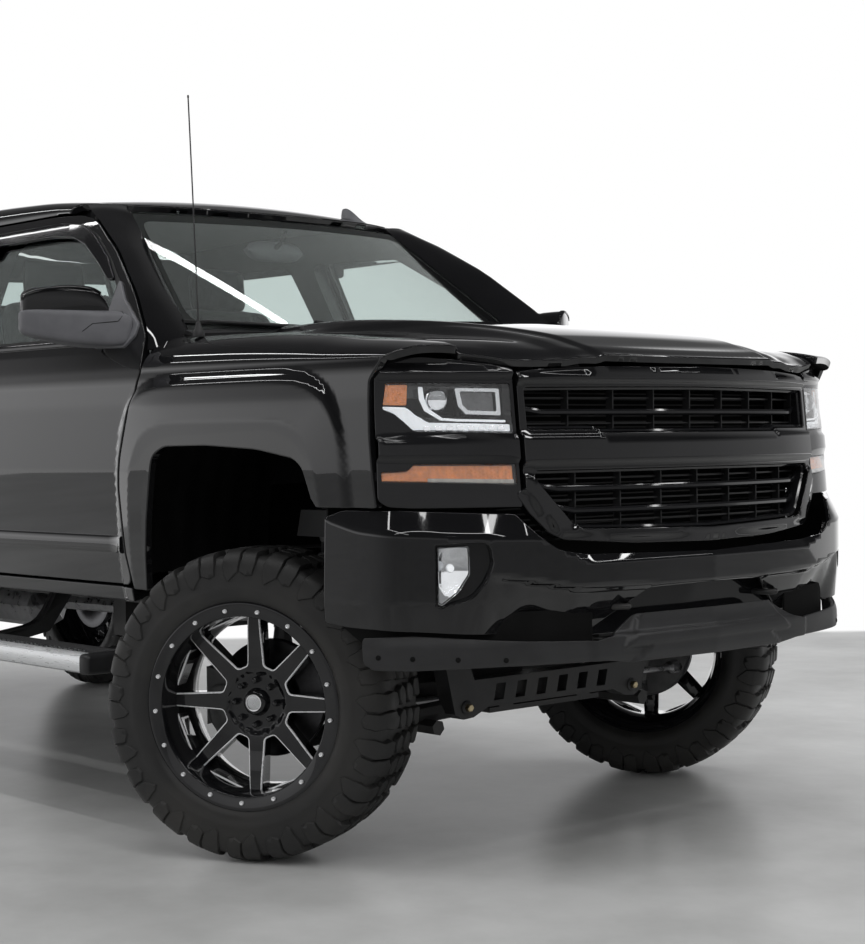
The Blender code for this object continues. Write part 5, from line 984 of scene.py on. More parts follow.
def make_door(front_door, word, side):
    """Door skin with its window frame, glass and side moulding."""
    stem = "front" if front_door else "rear"
    body = f"{stem}_door_set_{word}"
    outer, window = door_outlines(front_door)
    low_x, high_x = min(p[0] for p in outer), max(p[0] for p in outer)
    middle = 0.5 * (low_x + high_x)
    surf = side_surface(side)

    def back(x, z):
        return np.stack([middle + (x - middle) * 0.955, side * (side_y(x, z) - door_depth(z)), z], 1)

    panel = skin(f"{stem}_door_panel_{word}", inset(ccw(outer), 0.0008), [window], surf,
                 0.018 if front_door else 0.030, [PAINT, TRIM], back=back, sign=-side, edge_cell=0.016,
                 roll=0.004, back_mat=1)
    dress(panel, body, "black_paint", f"{stem}_door_{word}")

    # Window frame, seals and glass
    ring = resampled(ccw(inset(ccw(window), 0.001)), 0.03)
    seal = side_trim(f"{stem}_window_seal_{word}", ring,
                     [(0.0015, 0.013), (0.004, 0.009), (0.004, -0.002), (-0.002, -0.009),
                      (-0.034, -0.009), (-0.034, 0.0), (-0.006, 0.0), (-0.004, 0.013)], SEAL, side,
                     closed=True)
    dress(seal, body, "black_plastic")
    sill = [p for p in window if abs(p[1] - 1.520) < 1e-6]
    x0, x1 = min(p[0] for p in sill) - 0.02, max(p[0] for p in sill) + 0.02
    if front_door:
        x1 += 0.02
    belt = [(x0 + (x1 - x0) * k / 14, 1.509) for k in range(15)]
    moulding = side_trim(f"{stem}_belt_moulding_{word}", belt,
                         [(-0.003, -0.011), (0.0065, -0.009), (0.0085, -0.004), (0.0085, 0.004),
                          (0.005, 0.010), (-0.003, 0.011)], GLOSS, side)
    dress(moulding, body, "black_plastic")
    pane = inset(ccw(window), -0.004)

    def layer(share):
        def place(x, z):
            depth = door_depth(z)
            slide = 1 - 0.045 * share
            return np.stack([middle + (x - middle) * slide, side * (side_y(x, z) - depth * share), z], 1)
        return place

    glass = skin(f"{stem}_glass_pane_{word}", pane, [], layer(0.32), 0.06, [SIDE_GLASS], back=layer(0.42),
                 sign=-side, edge_cell=0.05, roll=0.001, steps=1)
    dress(glass, body, "tinted_glass", f"{stem}_glass_{word}")

    # Lower side moulding and sill guard
    if front_door:
        low = [(0.265 + (1.418 - 0.265) * k / 24, 0.868 + 0.004 * (k / 24)) for k in range(25)]
    else:
        low = [(-0.545 + (0.228 + 0.545) * k / 18, 0.868 - 0.001 * (k / 18)) for k in range(19)]
    guard = side_trim(f"{stem}_side_moulding_{word}", low,
                      [(-0.004, -0.030), (0.004, -0.030), (0.0085, -0.024), (0.0105, 0.014),
                       (0.007, 0.022), (-0.004, 0.024)], PAINT, side)
    dress(guard, body, "black_paint")

    make_door_handle(stem, word, side, 0.405 if front_door else -0.505, 1.372)
    make_door_trim(stem, word, side, middle)


def make_door_handle(stem, word, side, hx, hz):
    """Bowed handle over a dished cup."""
    body = f"{stem}_door_set_{word}"
    point, normal = side_frame_of(hx, hz, side)
    along = Vector((1, 0, 0))
    along = (along - normal * along.dot(normal)).normalized()
    up = along.cross(normal) * (1 if side < 0 else -1)
    rings = []
    for k in range(21):
        t = k / 20
        off = 0.040 * (1 - abs(2 * t - 1) ** 6) ** 0.5
        wide = 0.0125 + 0.003 * (1 - abs(2 * t - 1) ** 2)
        mid = point + along * (t - 0.5) * 0.225 + normal * (off + 0.001)
        thick = 0.0075
        rings.append([tuple(mid + normal * thick * cos(a) + up * wide * (abs(sin(a)) ** 0.7)
                            * (1 if sin(a) > 0 else -1)) for a in turns(14)])
    rings[0] = [tuple(Vector(p) - normal * 0.012) for p in rings[0]]
    rings[-1] = [tuple(Vector(p) - normal * 0.012) for p in rings[-1]]
    handle = loft(f"{stem}_handle_{word}", rings, PAINT, sharp=60)
    dress(handle, body, "black_paint")
    cup_rings = []
    for grow, depth in ((1.0, 0.0012), (0.94, 0.0022), (0.86, 0.0012), (0.5, 0.0011)):
        ring = []
        for a in turns(28):
            u, v = 0.062 * cos(a) * grow, 0.040 * sin(a) * grow
            p, n = side_frame_of(hx - 0.02 + u, hz + v, side)
            ring.append(tuple(p + n * depth))
        cup_rings.append(ring)
    inner = [tuple(Vector(p) - normal * 0.004) for p in cup_rings[0]]
    cup = loft(f"{stem}_handle_cup_{word}", [inner] + cup_rings, GLOSS, sharp=60)
    dress(cup, body, "black_plastic")


def make_door_trim(stem, word, side, middle):
    """Armrest and pocket on the inside of a door."""
    body = f"{stem}_door_set_{word}"
    z0 = 1.18
    y_in = side * (side_at(middle, z0) - 0.100)
    line = [(y_in - side * u, z0 + v) for u, v in ((-0.004, -0.05), (0.040, -0.03), (0.052, 0.015),
                                                   (0.045, 0.032), (-0.004, 0.036))]
    armrest = prism(f"{stem}_armrest_{word}", rounded(line, 0.01, 3), "X", middle - 0.24, middle + 0.26,
                    TRIM, 0.004)
    dress(armrest, body, "interior_trim")
    line = [(y_in - side * u, z) for u, z in ((-0.004, 0.90), (0.030, 0.905), (0.040, 1.02),
                                              (0.028, 1.03), (-0.004, 1.03))]
    pocket = prism(f"{stem}_door_pocket_{word}", rounded(line, 0.008, 3), "X", middle - 0.26,
                   middle + 0.28, TRIM, 0.004)
    dress(pocket, body, "interior_trim")


FENDER_ROLL_Z = 1.40
FENDER_ROLL = 0.20


def fender_point(side):
    """Body side that rolls over into the fender top; v is the height, or the way over the roll above it."""
    def surf(x, v):
        y_side = side_y(x, np.minimum(v, FENDER_ROLL_Z))
        angle = np.clip((v - FENDER_ROLL_Z) / FENDER_ROLL, 0, 1.15) * pi / 2
        edge = hood_half(x) + SHUT_GAP
        rise = hood_z(x, edge) - FENDER_ROLL_Z
        y = np.where(v <= FENDER_ROLL_Z, y_side, edge + (y_side - edge) * np.cos(angle))
        z = np.where(v <= FENDER_ROLL_Z, v, FENDER_ROLL_Z + rise * np.sin(angle))
        return np.stack([x, side * y, z], 1)
    return surf


ARCH = ((-0.395, 0.740), (-0.366, 0.955), (-0.320, 1.150), (-0.254, 1.175), (-0.047, 1.177),
        (0.188, 1.165), (0.350, 1.140), (0.389, 1.115), (0.421, 1.031))
ARCH_RADII = (0.0, 0.3, 0.07, 0.10, 0.6, 0.6, 0.08, 0.06, 0.0)


def make_fender(word, side):
    """Front fender from the bumper to the door, around the arch."""
    arch = [(FRONT_AXLE_X + x, z) for x, z in ARCH]
    gap = SHUT_GAP + 0.001
    outline = arch + [(2.372, 1.008), (2.580, 1.008), (2.560, 1.200), (2.557, 1.345), (2.588, 1.388),
                      (2.644, 1.470), (2.700, 1.60), (1.545, 1.60), (1.520, 1.52), (1.494 + gap, 1.406),
                      (1.455 + gap, 1.25), (1.422 + gap, 1.140), (1.411 + gap, 1.045),
                      (1.430 + gap, 0.860), (1.462 + gap, 0.740)]
    radii = list(ARCH_RADII) + [0.0, 0.01, 0.3, 0.03, 0.1, 0.1, 0.0, 0.0, 0.05, 0.012, 0.3, 0.12, 0.12,
                                0.3, 0.01]
    outline = ccw(rounded(outline, radii))
    surf = fender_point(side)

    def back(x, v):
        point = surf(x, v)
        uv = np.stack([x, v], 1)
        return point - surface_normals(surf, uv, -side) * 0.022

    fender = skin(f"fender_skin_{word}", outline, [], surf, 0.013, [PAINT, DARK], back=back, sign=-side,
                  edge_cell=0.009, roll=0.0045, back_mat=1)
    dress(fender, BODY, "black_paint", f"fender_{word}")


def make_wheelhouse_liner(word, side):
    """Ribbed liner over a front wheel."""
    wall = [(1.487, 0.790), (1.500, 1.00), (1.575, 1.195), (1.70, 1.215), (2.12, 1.205), (2.29, 1.180),
            (2.360, 1.06), (2.366, 0.80)]
    line = rounded(wall, [0, 0.3, 0.09, 0.09, 0.5, 0.10, 0.08, 0.0])
    rings = []
    n = 22
    for p_i, (x, z) in enumerate(line):
        a = Vector(line[max(p_i - 1, 0)])
        b = Vector(line[min(p_i + 1, len(line) - 1)])
        t = (b - a).normalized()
        out = Vector((-t.y, t.x))
        ring = []
        ys = [0.500 + (0.965 - 0.500) * k / n for k in range(n + 1)]
        for k, y in enumerate(ys):
            rib = 0.006 if k % 4 in (1, 2) else 0.0
            ring.append((x + out.x * rib, side * y, z + out.y * rib))
        for y in (ys[-1], ys[0]):
            ring.append((x + out.x * 0.013, side * y, z + out.y * 0.013))
        rings.append(ring)
    liner = loft(f"wheelhouse_liner_{word}", rings, DARK, sharp=30)
    dress(liner, BODY, "black_plastic")


def pillar_rings(side, steps=16):
    knots_z = [1.485, 1.515, 1.653, 1.819, 1.93, 1.996]
    knots_x = [1.500, 1.488, 1.348, 1.131, 0.935, 0.790]
    rings = []
    for k in range(steps + 1):
        z = 1.470 + (1.998 - 1.470) * k / steps
        x = float(np.interp(z, knots_z, knots_x)) if z > 1.485 else 1.504
        t = (z - 1.545) / (1.972 - 1.545)
        glass_y = 0.760 - 0.160 * t - 0.012
        y = side_at(x, z)
        glass_x = float(shield_x(glass_y, z))
        a = Vector((x + 0.003, side * (y - 0.002), z))
        b = Vector((glass_x + 0.010, side * glass_y, z))
        bulge = Vector((0.010, side * 0.012, 0.006))
        ring = []
        for i in range(9):
            s = i / 8
            ring.append(tuple(a.lerp(b, s) + bulge * (4 * s * (1 - s))))
        ring += [(glass_x - 0.045, side * (glass_y - 0.010), z), (x - 0.040, side * (y - 0.085), z)]
        rings.append(ring)
    return rings


def aperture_depth(z):
    """Depth of the side frame behind the body side."""
    return 0.106 - 0.052 * smooth((z - 1.44) / 0.10)


def make_cab_side(word, side):
    """Pillar, quarter, sill and the frame around the door openings."""
    pillar = loft(f"front_pillar_{word}", pillar_rings(side), PAINT, sharp=50)
    dress(pillar, BODY, "black_paint")

    # Quarter behind the rear door
    quarter = rounded([(-0.412, 0.742), (-0.476, 0.806), (-0.606, 0.938), (-0.697, 1.098), (-0.697, 1.47),
                       (-0.722, 1.902), (-0.615, 1.979), (-0.90, 1.979), (-0.925, 1.955), (-0.9605, 1.50),
                       (-0.9605, 0.742)], [0, 0.15, 0.3, 0.15, 0.3, 0.05, 0.03, 0.02, 0.05, 0.2, 0.01])
    surf = side_surface(side)
    panel = skin(f"rear_quarter_{word}", quarter, [], surf, 0.03, [PAINT], depth=0.05, sign=-side,
                 edge_cell=0.02, roll=0.004)
    dress(panel, BODY, "black_paint")

    # Sill
    sill = rounded([(1.452, 0.700), (1.452, 0.744), (-0.9605, 0.744), (-0.9605, 0.700)], 0.006, 3)
    panel = skin(f"sill_panel_{word}", sill, [], surf, 0.05, [PAINT], depth=0.15, sign=-side,
                 edge_cell=0.03, roll=0.004)
    dress(panel, BODY, "black_paint")

    # Side frame inside the doors
    outline = rounded([(1.40, 0.715), (1.428, 1.46), (1.372, 1.545), (1.155, 1.735), (0.95, 1.885),
                       (0.80, 1.980), (0.60, 2.006), (0.0, 2.020), (-0.80, 2.000), (-0.92, 1.972),
                       (-0.951, 1.50), (-0.951, 0.715)], 0.02, 3)
    front_hole = rounded([(0.30, 0.87), (0.31, 1.45), (0.26, 1.90), (0.78, 1.885), (1.00, 1.76),
                          (1.20, 1.58), (1.31, 1.48), (1.31, 0.87)], 0.05, 4)
    rear_hole = rounded([(-0.60, 1.05), (-0.56, 1.45), (-0.62, 1.90), (0.11, 1.90), (0.20, 1.45),
                         (0.19, 0.87), (-0.46, 0.87)], 0.05, 4)

    def face(x, z):
        return np.stack([x, side * (side_y(x, z) - aperture_depth(z)), z], 1)

    def inner(x, z):
        return np.stack([x, side * (side_y(x, z) - aperture_depth(z) - 0.060), z], 1)

    frame_side = skin(f"door_aperture_{word}", outline, [front_hole, rear_hole], face, 0.06,
                      [PAINT, TRIM], back=inner, sign=-side, edge_cell=0.03, roll=0.004, back_mat=1)
    dress(frame_side, BODY, "black_paint")
    for index, hole in enumerate((front_hole, rear_hole)):
        path = []
        ring = resampled(ccw(inset(ccw(hole), -0.006)), 0.03)
        for x, z in ring:
            y = side_at(x, z) - float(aperture_depth(z)) + 0.004
            path.append((x, side * y, z))
        seal = tube(f"door_seal_{index}_{word}", path, 0.007, SEAL, 8, closed=True)
        dress(seal, BODY, "black_plastic")


ROOF_ROLL_Y = 0.62
ROOF_ROLL = 0.16


def make_roof():
    """Roof that rolls down into its side rails."""

    def roof_point(x, s):
        a = np.abs(s)
        sign_s = np.where(s < 0, -1.0, 1.0)
        flat = roof_z(x, np.minimum(a, ROOF_ROLL_Y))
        angle = np.clip((a - ROOF_ROLL_Y) / ROOF_ROLL, 0, 1.1) * pi / 2
        door_top = np.interp(x, [-1.0, 0.62, 0.80, 0.922, 1.00], [1.9795, 1.9795, 1.970, 1.945, 1.925])
        out = PROFILE(door_top) - 0.002
        y = np.where(a <= ROOF_ROLL_Y, a, ROOF_ROLL_Y + (out - ROOF_ROLL_Y) * np.sin(angle))
        drop = roof_z(x, ROOF_ROLL_Y) - door_top
        z = np.where(a <= ROOF_ROLL_Y, flat, door_top + drop * np.maximum(0.0, np.cos(angle)) ** 0.75)
        return np.stack([x, sign_s * y, z], 1)

    roof = []
    for s in (-0.78, -0.70, -0.60, -0.45, -0.3, -0.15, 0.0, 0.15, 0.3, 0.45, 0.60, 0.70, 0.78):
        y = min(abs(s), 0.70)
        roof.append((float(shield_x(y, 1.985)) + 0.014 - 0.16 * y ** 3 - 0.25 * max(0, abs(s) - 0.62), s))
    roof += [(-0.905, 0.78), (-0.93, 0.60), (-0.9455, 0.0), (-0.93, -0.60), (-0.905, -0.78)]
    panel = skin("roof_panel", roof, [], roof_point, 0.035, [PAINT, LINING], depth=0.024, roll=0.005,
                 edge_cell=0.02, back_mat=1)
    dress(panel, BODY, "black_paint", "cab")


def make_back_wall():
    """Back wall of the cab with its window."""

    def back_face(y, z):
        return np.stack([-0.959 + 0.045 * smooth((z - 1.5) / 0.5), y, z], 1)
    wall = rounded([(-0.835, 0.845), (0.835, 0.845), (0.815, 1.49), (0.655, 1.985), (-0.655, 1.985),
                    (-0.815, 1.49)], [0.02, 0.02, 0.2, 0.05, 0.05, 0.2])
    window = rounded([(-0.60, 1.56), (0.60, 1.56), (0.52, 1.89), (-0.52, 1.89)], 0.04)
    panel = skin("cab_back_wall", wall, [window], back_face, 0.05, [PAINT, LINING], depth=0.04, sign=-1,
                 edge_cell=0.03, roll=0.004, back_mat=1)
    dress(panel, BODY, "black_paint")
    pane = skin("rear_window_pane", inset(ccw(window), -0.004), [], lambda y,
                z: back_face(y, z) + np.array([0.014, 0, 0]), 0.1, [SIDE_GLASS], depth=0.005, sign=-1,
                roll=0.001, steps=1)
    dress(pane, BODY, "tinted_glass", "rear_window")
    ring = [tuple(back_face(np.array([y]), np.array([z]))[0]) for y, z in resampled(ccw(window), 0.03)]
    seal = tube("rear_window_seal", ring, 0.010, SEAL, 8, closed=True)
    dress(seal, BODY, "black_plastic")


def make_cab_floor():
    """Carpeted floor with its tunnel, and the firewall."""
    floor = box("cab_floor", (-0.93, -0.845, 0.832), (1.43, 0.845, 0.868), CARPET, 0.004)
    dress(floor, BODY, "interior_trim")
    tunnel = prism("floor_tunnel", rounded([(-0.16, 0.865), (-0.13, 0.955), (0.13, 0.955), (0.16, 0.865)],
                                           0.02, 4), "X", -0.35, 1.395, CARPET, 0.004)
    dress(tunnel, BODY, "interior_trim")
    wall = rounded([(-0.853, 0.842), (0.853, 0.842), (0.840, 1.485), (-0.840, 1.485)], 0.02, 3)
    firewall = prism("firewall_panel", wall, "X", 1.4005, 1.4315, DARK, 0.003)
    dress(firewall, BODY, "black_plastic")


def make_cowl():
    """Slotted cowl under the windshield, with the wipers."""

    def cowl_face(y, t):
        x = 1.452 + (0.100 - 0.090 * y * y) * t
        z = 1.533 + 0.012 * (1 - t) - 0.030 * y * y
        return np.stack([x, y, z], 1)
    outline = rounded(rectangle(-0.785, 0.0, 0.785, 1.0), 0.02, 3)
    slots = []
    for k in [*range(-11, 0), *range(1, 12)]:
        y = k * 0.062
        slots.append(rectangle(y - 0.022, 0.35, y + 0.022, 0.42))
    cowl = skin("cowl_cover", outline, slots, cowl_face, 0.05, [PLASTIC], depth=0.012, roll=0.002,
                edge_cell=0.03)
    dress(cowl, BODY, "black_plastic")
    base = prism("cowl_box", rounded([(1.392, 1.462), (1.520, 1.495), (1.545, 1.512), (1.500, 1.522),
                                      (1.440, 1.520), (1.392, 1.500)], 0.006, 3), "Y", -0.785, 0.785,
                 DARK, 0.003)
    dress(base, BODY, "black_plastic")
    for index, (pivot_y, tip_y, tip_z) in enumerate(((0.42, -0.22, 1.578), (-0.22, -0.705, 1.572))):
        start = Vector((float(shield_x(pivot_y, 1.548)) + 0.020, pivot_y, 1.548))
        tip = Vector((float(shield_x(tip_y, tip_z)) + 0.022, tip_y, tip_z))
        middle = start.lerp(tip, 0.5)
        middle.x = float(shield_x(middle.y, middle.z)) + 0.030
        line = spline([start + Vector((0, 0, -0.01)), start, middle, tip.lerp(middle, 0.1)], 6)
        arm = tube(f"wiper_arm_{index}", line, 0.006, PLASTIC, 8)
        dress(arm, BODY, "black_plastic")
        rings = []
        for k in range(15):
            t = k / 14
            y = pivot_y - 0.16 + (tip_y + 0.05 - pivot_y) * t * 0.98
            y = max(min(y, 0.72), -0.745)
            z = 1.556 + 0.016 * t
            x = float(shield_x(y, z))
            rings.append([(x + 0.0055, y, z - 0.002), (x + 0.0050, y, z + 0.002),
                          (x + 0.014, y, z + 0.007), (x + 0.019, y, z + 0.004), (x + 0.019, y, z - 0.004),
                          (x + 0.012, y, z - 0.006)])
        blade = loft(f"wiper_blade_{index}", rings, SEAL, sharp=40)
        dress(blade, BODY, "black_plastic")


def make_windshield():
    """Windshield with its black border."""

    def shield(y, z):
        return np.stack([shield_x(y, z) + 0.004, y, z], 1)
    outline = rounded([(-0.760, 1.530), (0.760, 1.530), (0.600, 1.972), (-0.600, 1.972)],
                      [0.03, 0.03, 0.05, 0.05])
    glass = skin("windshield_pane", outline, [], shield, 0.06, [SHIELD_GLASS], depth=0.006, roll=0.001,
                 edge_cell=0.04, steps=1)
    dress(glass, BODY, "tinted_glass", "windshield")
    border_hole = rounded([(-0.722, 1.558), (0.722, 1.558), (0.574, 1.942), (-0.574, 1.942)], 0.05)
    border = skin("windshield_border", outline, [border_hole], lambda y,
                  z: np.stack([shield_x(y, z) - 0.0040, y, z], 1), 0.05, [SEAL], depth=0.002, roll=0.0005,
                  edge_cell=0.03, steps=1)
    dress(border, BODY, "black_plastic")


def make_cab_trim():
    """Inner mirror and sun visors."""
    stem_top = Vector((0.955, 0.0, 1.935))
    stem = tube("mirror_stem", [stem_top, (0.935, 0, 1.905), (0.900, 0, 1.880)], 0.008, TRIM, 10)
    dress(stem, BODY, "interior_trim")
    rings = []
    for k in range(13):
        t = k / 12
        s = (1 - abs(2 * t - 1) ** 4) ** 0.5
        y = (t - 0.5) * 0.25
        ring = []
        for a in turns(16):
            ring.append((0.885 + 0.014 * cos(a), y, 1.868 + (0.006 + 0.030 * s) * sin(a)))
        rings.append(ring)
    mirror = loft("inner_mirror", rings, GREY_WITH_PAINTED_REFLECTION, sharp=60)
    dress(mirror, BODY, "interior_trim")
    for index, y in enumerate((-0.34, 0.34)):
        outline = rounded(rectangle(0.66, y - 0.19, 0.82, y + 0.19), 0.03, 4)
        visor = prism(f"sun_visor_{index}", outline, "Z", 1.992, 2.006, LINING, 0.004)
        dress(visor, BODY, "interior_trim")


# Hood

DOME_ROW = 0.48


def dome_edge(x):
    """Half width of the raised middle of the hood."""
    return 0.375 + 0.215 * smooth((2.85 - x) / 1.35)


def hood_point(x, y):
    ahead = x - nose_x(y, 1.40)
    lip = 0.012 * smooth((ahead + 0.055) / 0.075) ** 1.5
    lip = lip + 0.016 * smooth((np.abs(y) - 0.50) / 0.18) * smooth((ahead + 0.150) / 0.160)
    dome = smooth((dome_edge(x) - np.abs(y)) / 0.034 + 0.5) * smooth((x - HOOD_REAR_X - 0.06) / 0.25)
    return np.stack([x, y, hood_z(x, y) - lip + 0.008 * dome], 1)


def make_hood():
    """Hood skin, the liner under it and its stops."""
    front = [(float(nose_x(y, 1.40)) + 0.020 - 0.022 * float(smooth((abs(y) - 0.52) / 0.20)), y)
             for y in np.linspace(-0.768, 0.768, 33)]
    bow = ((0.800, 0.0), (0.60, 0.030), (0.40, 0.048), (0.20, 0.068))
    rear = [(HOOD_REAR_X + rise, y) for y, rise in bow] + [(HOOD_REAR_X + 0.075, 0.0)]
    rear += [(HOOD_REAR_X + rise, -y) for y, rise in reversed(bow)]
    outline = front + rear
    radii = [0.012] + [0] * (len(front) - 2) + [0.012] + [0.02] + [0] * (len(rear) - 2) + [0.02]
    # Rows of the mesh follow the edge of the dome
    loop = [(x, y * DOME_ROW / float(dome_edge(x))) for x, y in resampled(rounded(outline, radii), 0.02)]

    def surf(x, v):
        return hood_point(x, v * dome_edge(x) / DOME_ROW)
    hood = skin("hood_panel", loop, [], surf, 0.016, [PAINT, DARK], depth=0.020, roll=0.005,
                edge_cell=0.012, back_mat=1)
    dress(hood, "hood_lid", "black_paint", "hood")
    ring = rounded([(2.52, -0.55), (2.52, 0.55), (1.75, 0.60), (1.75, -0.60)], 0.08, 5)

    def pad(x, y):
        return hood_point(x, y) - np.array([0, 0, 0.024])
    liner = skin("hood_liner", ring, [], pad, 0.06, [DARK], depth=0.010, roll=0.003)
    dress(liner, "hood_lid", "black_plastic")
    for word, side in reversed(SIDES):
        rise = [(2.445, side * 0.30, z) for z in (1.4405, 1.452, 1.49)]
        stop = tube(f"hood_bump_stop_{word}", rise, (0.018, 0.020, 0.012), SEAL, 14)
        dress(stop, "hood_lid", "black_plastic")


# Bumpers

def edge_distance(points, loop):
    """Signed distance to a closed loop, positive inside."""
    away = np.full(len(points), 9.0)
    for (x0, y0), (x1, y1) in zip(loop, loop[1:] + loop[:1]):
        d = np.array([x1 - x0, y1 - y0])
        t = np.clip(((points[:, 0] - x0) * d[0] + (points[:, 1] - y0) * d[1]) / (d @ d), 0, 1)
        away = np.minimum(away, np.hypot(points[:, 0] - x0 - t * d[0], points[:, 1] - y0 - t * d[1]))
    return np.where(within(points, loop), away, -away)


def raised(u, v, loop, width):
    """0 outside a loop, 1 inside it, over a soft edge of the given width."""
    points = np.stack([np.atleast_1d(u), np.atleast_1d(v)], 1)
    return smooth(edge_distance(points, loop) / width + 0.5)


def bumper_plan(reach, corner_x, end_x):
    sweep = reach - corner_x
    knots = ((0.0, 0.0, reach), (0.30, 0.36, reach - 0.06 * sweep), (0.55, 0.66, reach - 0.24 * sweep),
             (0.75, 0.86, reach - 0.68 * sweep), (0.88, 0.965, corner_x), (1.0, 1.0, end_x),
             (1.1, 1.02, end_x - 0.18))
    y_of = curve_table([(k[0], k[1]) for k in knots])
    x_of = curve_table([(k[0], k[2]) for k in knots])
    return lambda s: (x_of(np.abs(s)), np.where(s < 0, -1.0, 1.0) * y_of(np.abs(s)))


def bumper_surface(plan, offset, sign=1):
    def surf(s, z):
        x, y = plan(s)
        x2, y2 = plan(s + 0.006)
        x1, y1 = plan(s - 0.006)
        tx, ty = x2 - x1, y2 - y1
        length = np.maximum(1e-9, np.hypot(tx, ty))
        d = offset(s, z)
        return np.stack([sign * (x + ty / length * d), y - tx / length * d, z], 1)
    return surf


def mirrored_half(half):
    """Closed symmetric outline from its half at positive first coordinate, bottom middle to top middle."""
    return list(half) + [(-u, v) for u, v in reversed(half[1:-1])]


def rounded_whole(half, radii):
    """Symmetric outline with filleted corners, from its half."""
    return rounded(mirrored_half(half), radii + radii[-2:0:-1])


CREASE_Z = 0.925
FOG_OPENING = [(0.757, 0.912), (0.640, 0.918), (0.632, 0.865), (0.645, 0.815), (0.675, 0.772),
               (0.742, 0.745), (0.757, 0.752)]
FOG_LENS = [(0.751, 0.905), (0.682, 0.906), (0.680, 0.833), (0.706, 0.785), (0.741, 0.753),
            (0.751, 0.757)]


def make_front_bumper():
    plan = bumper_plan(2.909, 2.60, 2.392)
    crease = table(((0.0, CREASE_Z), (0.52, CREASE_Z), (0.62, 0.928), (0.755, 0.936), (0.874, 0.943),
                    (0.93, 0.950), (1.0, 0.985)), 0.01)

    def offset(s, z):
        a = np.abs(s)
        wing = smooth((a - 0.44) / 0.10)
        top = np.maximum(0.0, z - crease(a))
        out = 0.012 - 0.50 * top * smooth((a - 0.40) / 0.12)
        under = np.maximum(0.0, np.interp(a, [0, 0.41, 0.63, 0.75], [0.783, 0.792, 0.834, 0.84]) - z)
        middle = 1 - smooth((a - 0.50) / 0.22)
        out = out - under * 0.55 * middle - 0.015 * smooth(under / 0.02) * (1 - smooth((a - 0.60) / 0.06))
        out = out - 0.10 * np.maximum(0.0, 0.76 - z) * wing
        bar = np.maximum(0.0, z - (0.866 + 0.06 * smooth((a - 0.38) / 0.15)) + 0.010) * (1 - wing)
        return out - bar * 0.9
    half = [(0.0, 0.776), (0.205, 0.770), (0.335, 0.672), (0.352, 0.655), (0.541, 0.663), (0.80, 0.684),
            (0.955, 0.692), (0.995, 0.700), (0.990, 0.985), (0.965, 1.004), (0.84, 1.004), (0.576, 0.990),
            (0.526, 0.933), (0.478, 0.893), (0.391, 0.877), (0.0, 0.867)]
    radii = [0, 0.02, 0.02, 0.01, 0.05, 0.1, 0.05, 0.01, 0.012, 0.015, 0.1, 0.012, 0.02, 0.06, 0.05, 0]
    holes = [rounded(FOG_OPENING, [0.006, 0.03, 0.05, 0.05, 0.04, 0.006, 0.004])]
    holes.append([(-s, z) for s, z in reversed(holes[0])])
    upright = bumper_surface(plan, offset)

    # Rows of the mesh follow the crease, so that its highlight is one clean line
    def level(loop):
        return [(s, z - float(crease(abs(s))) + CREASE_Z) for s, z in resampled(loop, 0.02)]

    def surf(s, w):
        return upright(s, w + crease(np.abs(s)) - CREASE_Z)

    def back(s, w):
        return surf(s, w) - surface_normals(surf, np.stack([s, w], 1), 1) * 0.012
    shell = skin("front_bumper_shell", level(rounded_whole(half, radii)), [level(h) for h in holes], surf,
                 0.013, [PAINT, DARK], back=back, edge_cell=0.009, roll=0.003, back_mat=1)
    dress(shell, BODY, "black_paint", "front_bumper")
    make_bumper_recess(plan)
    for word, side in SIDES:
        make_fog_lamp(word, side, plan, holes[0])


def make_bumper_recess(plan):
    """Dark panels and tow eyes behind the centre opening."""
    recess = bumper_surface(plan, lambda s, z: -0.075)
    outline = rounded([(-0.46, 0.648), (0.46, 0.648), (0.40, 0.80), (-0.40, 0.80)], 0.02, 3)
    panel = skin("front_bumper_recess", outline, [], recess, 0.05, [GLOSS], depth=0.006, edge_cell=0.03)
    dress(panel, BODY, "black_plastic")
    inner = bumper_surface(plan, lambda s, z: -0.045)
    for word, side in SIDES:
        outline = rounded(ccw([(side * 0.355, 0.610), (side * 0.920, 0.610), (side * 0.990, 0.690),
                               (side * 0.990, 0.728), (side * 0.355, 0.728)]), 0.01, 3)
        filler = skin(f"bumper_filler_{word}", outline, [], inner, 0.05, [DARK], depth=0.005,
                      edge_cell=0.03)
        dress(filler, BODY, "black_plastic")
    for index, s in enumerate((-0.27, 0.27)):
        x, y = (float(v[0]) for v in plan(np.array([s])))
        bend = ((-0.075, -0.028), (-0.030, -0.026), (-0.012, 0.0), (-0.030, 0.026), (-0.075, 0.028))
        eye = tube(f"recovery_eye_{index}", [(x + u, y + v, 0.725) for u, v in bend], 0.0085, STEEL, 12)
        dress(eye, BODY, "black_steel")


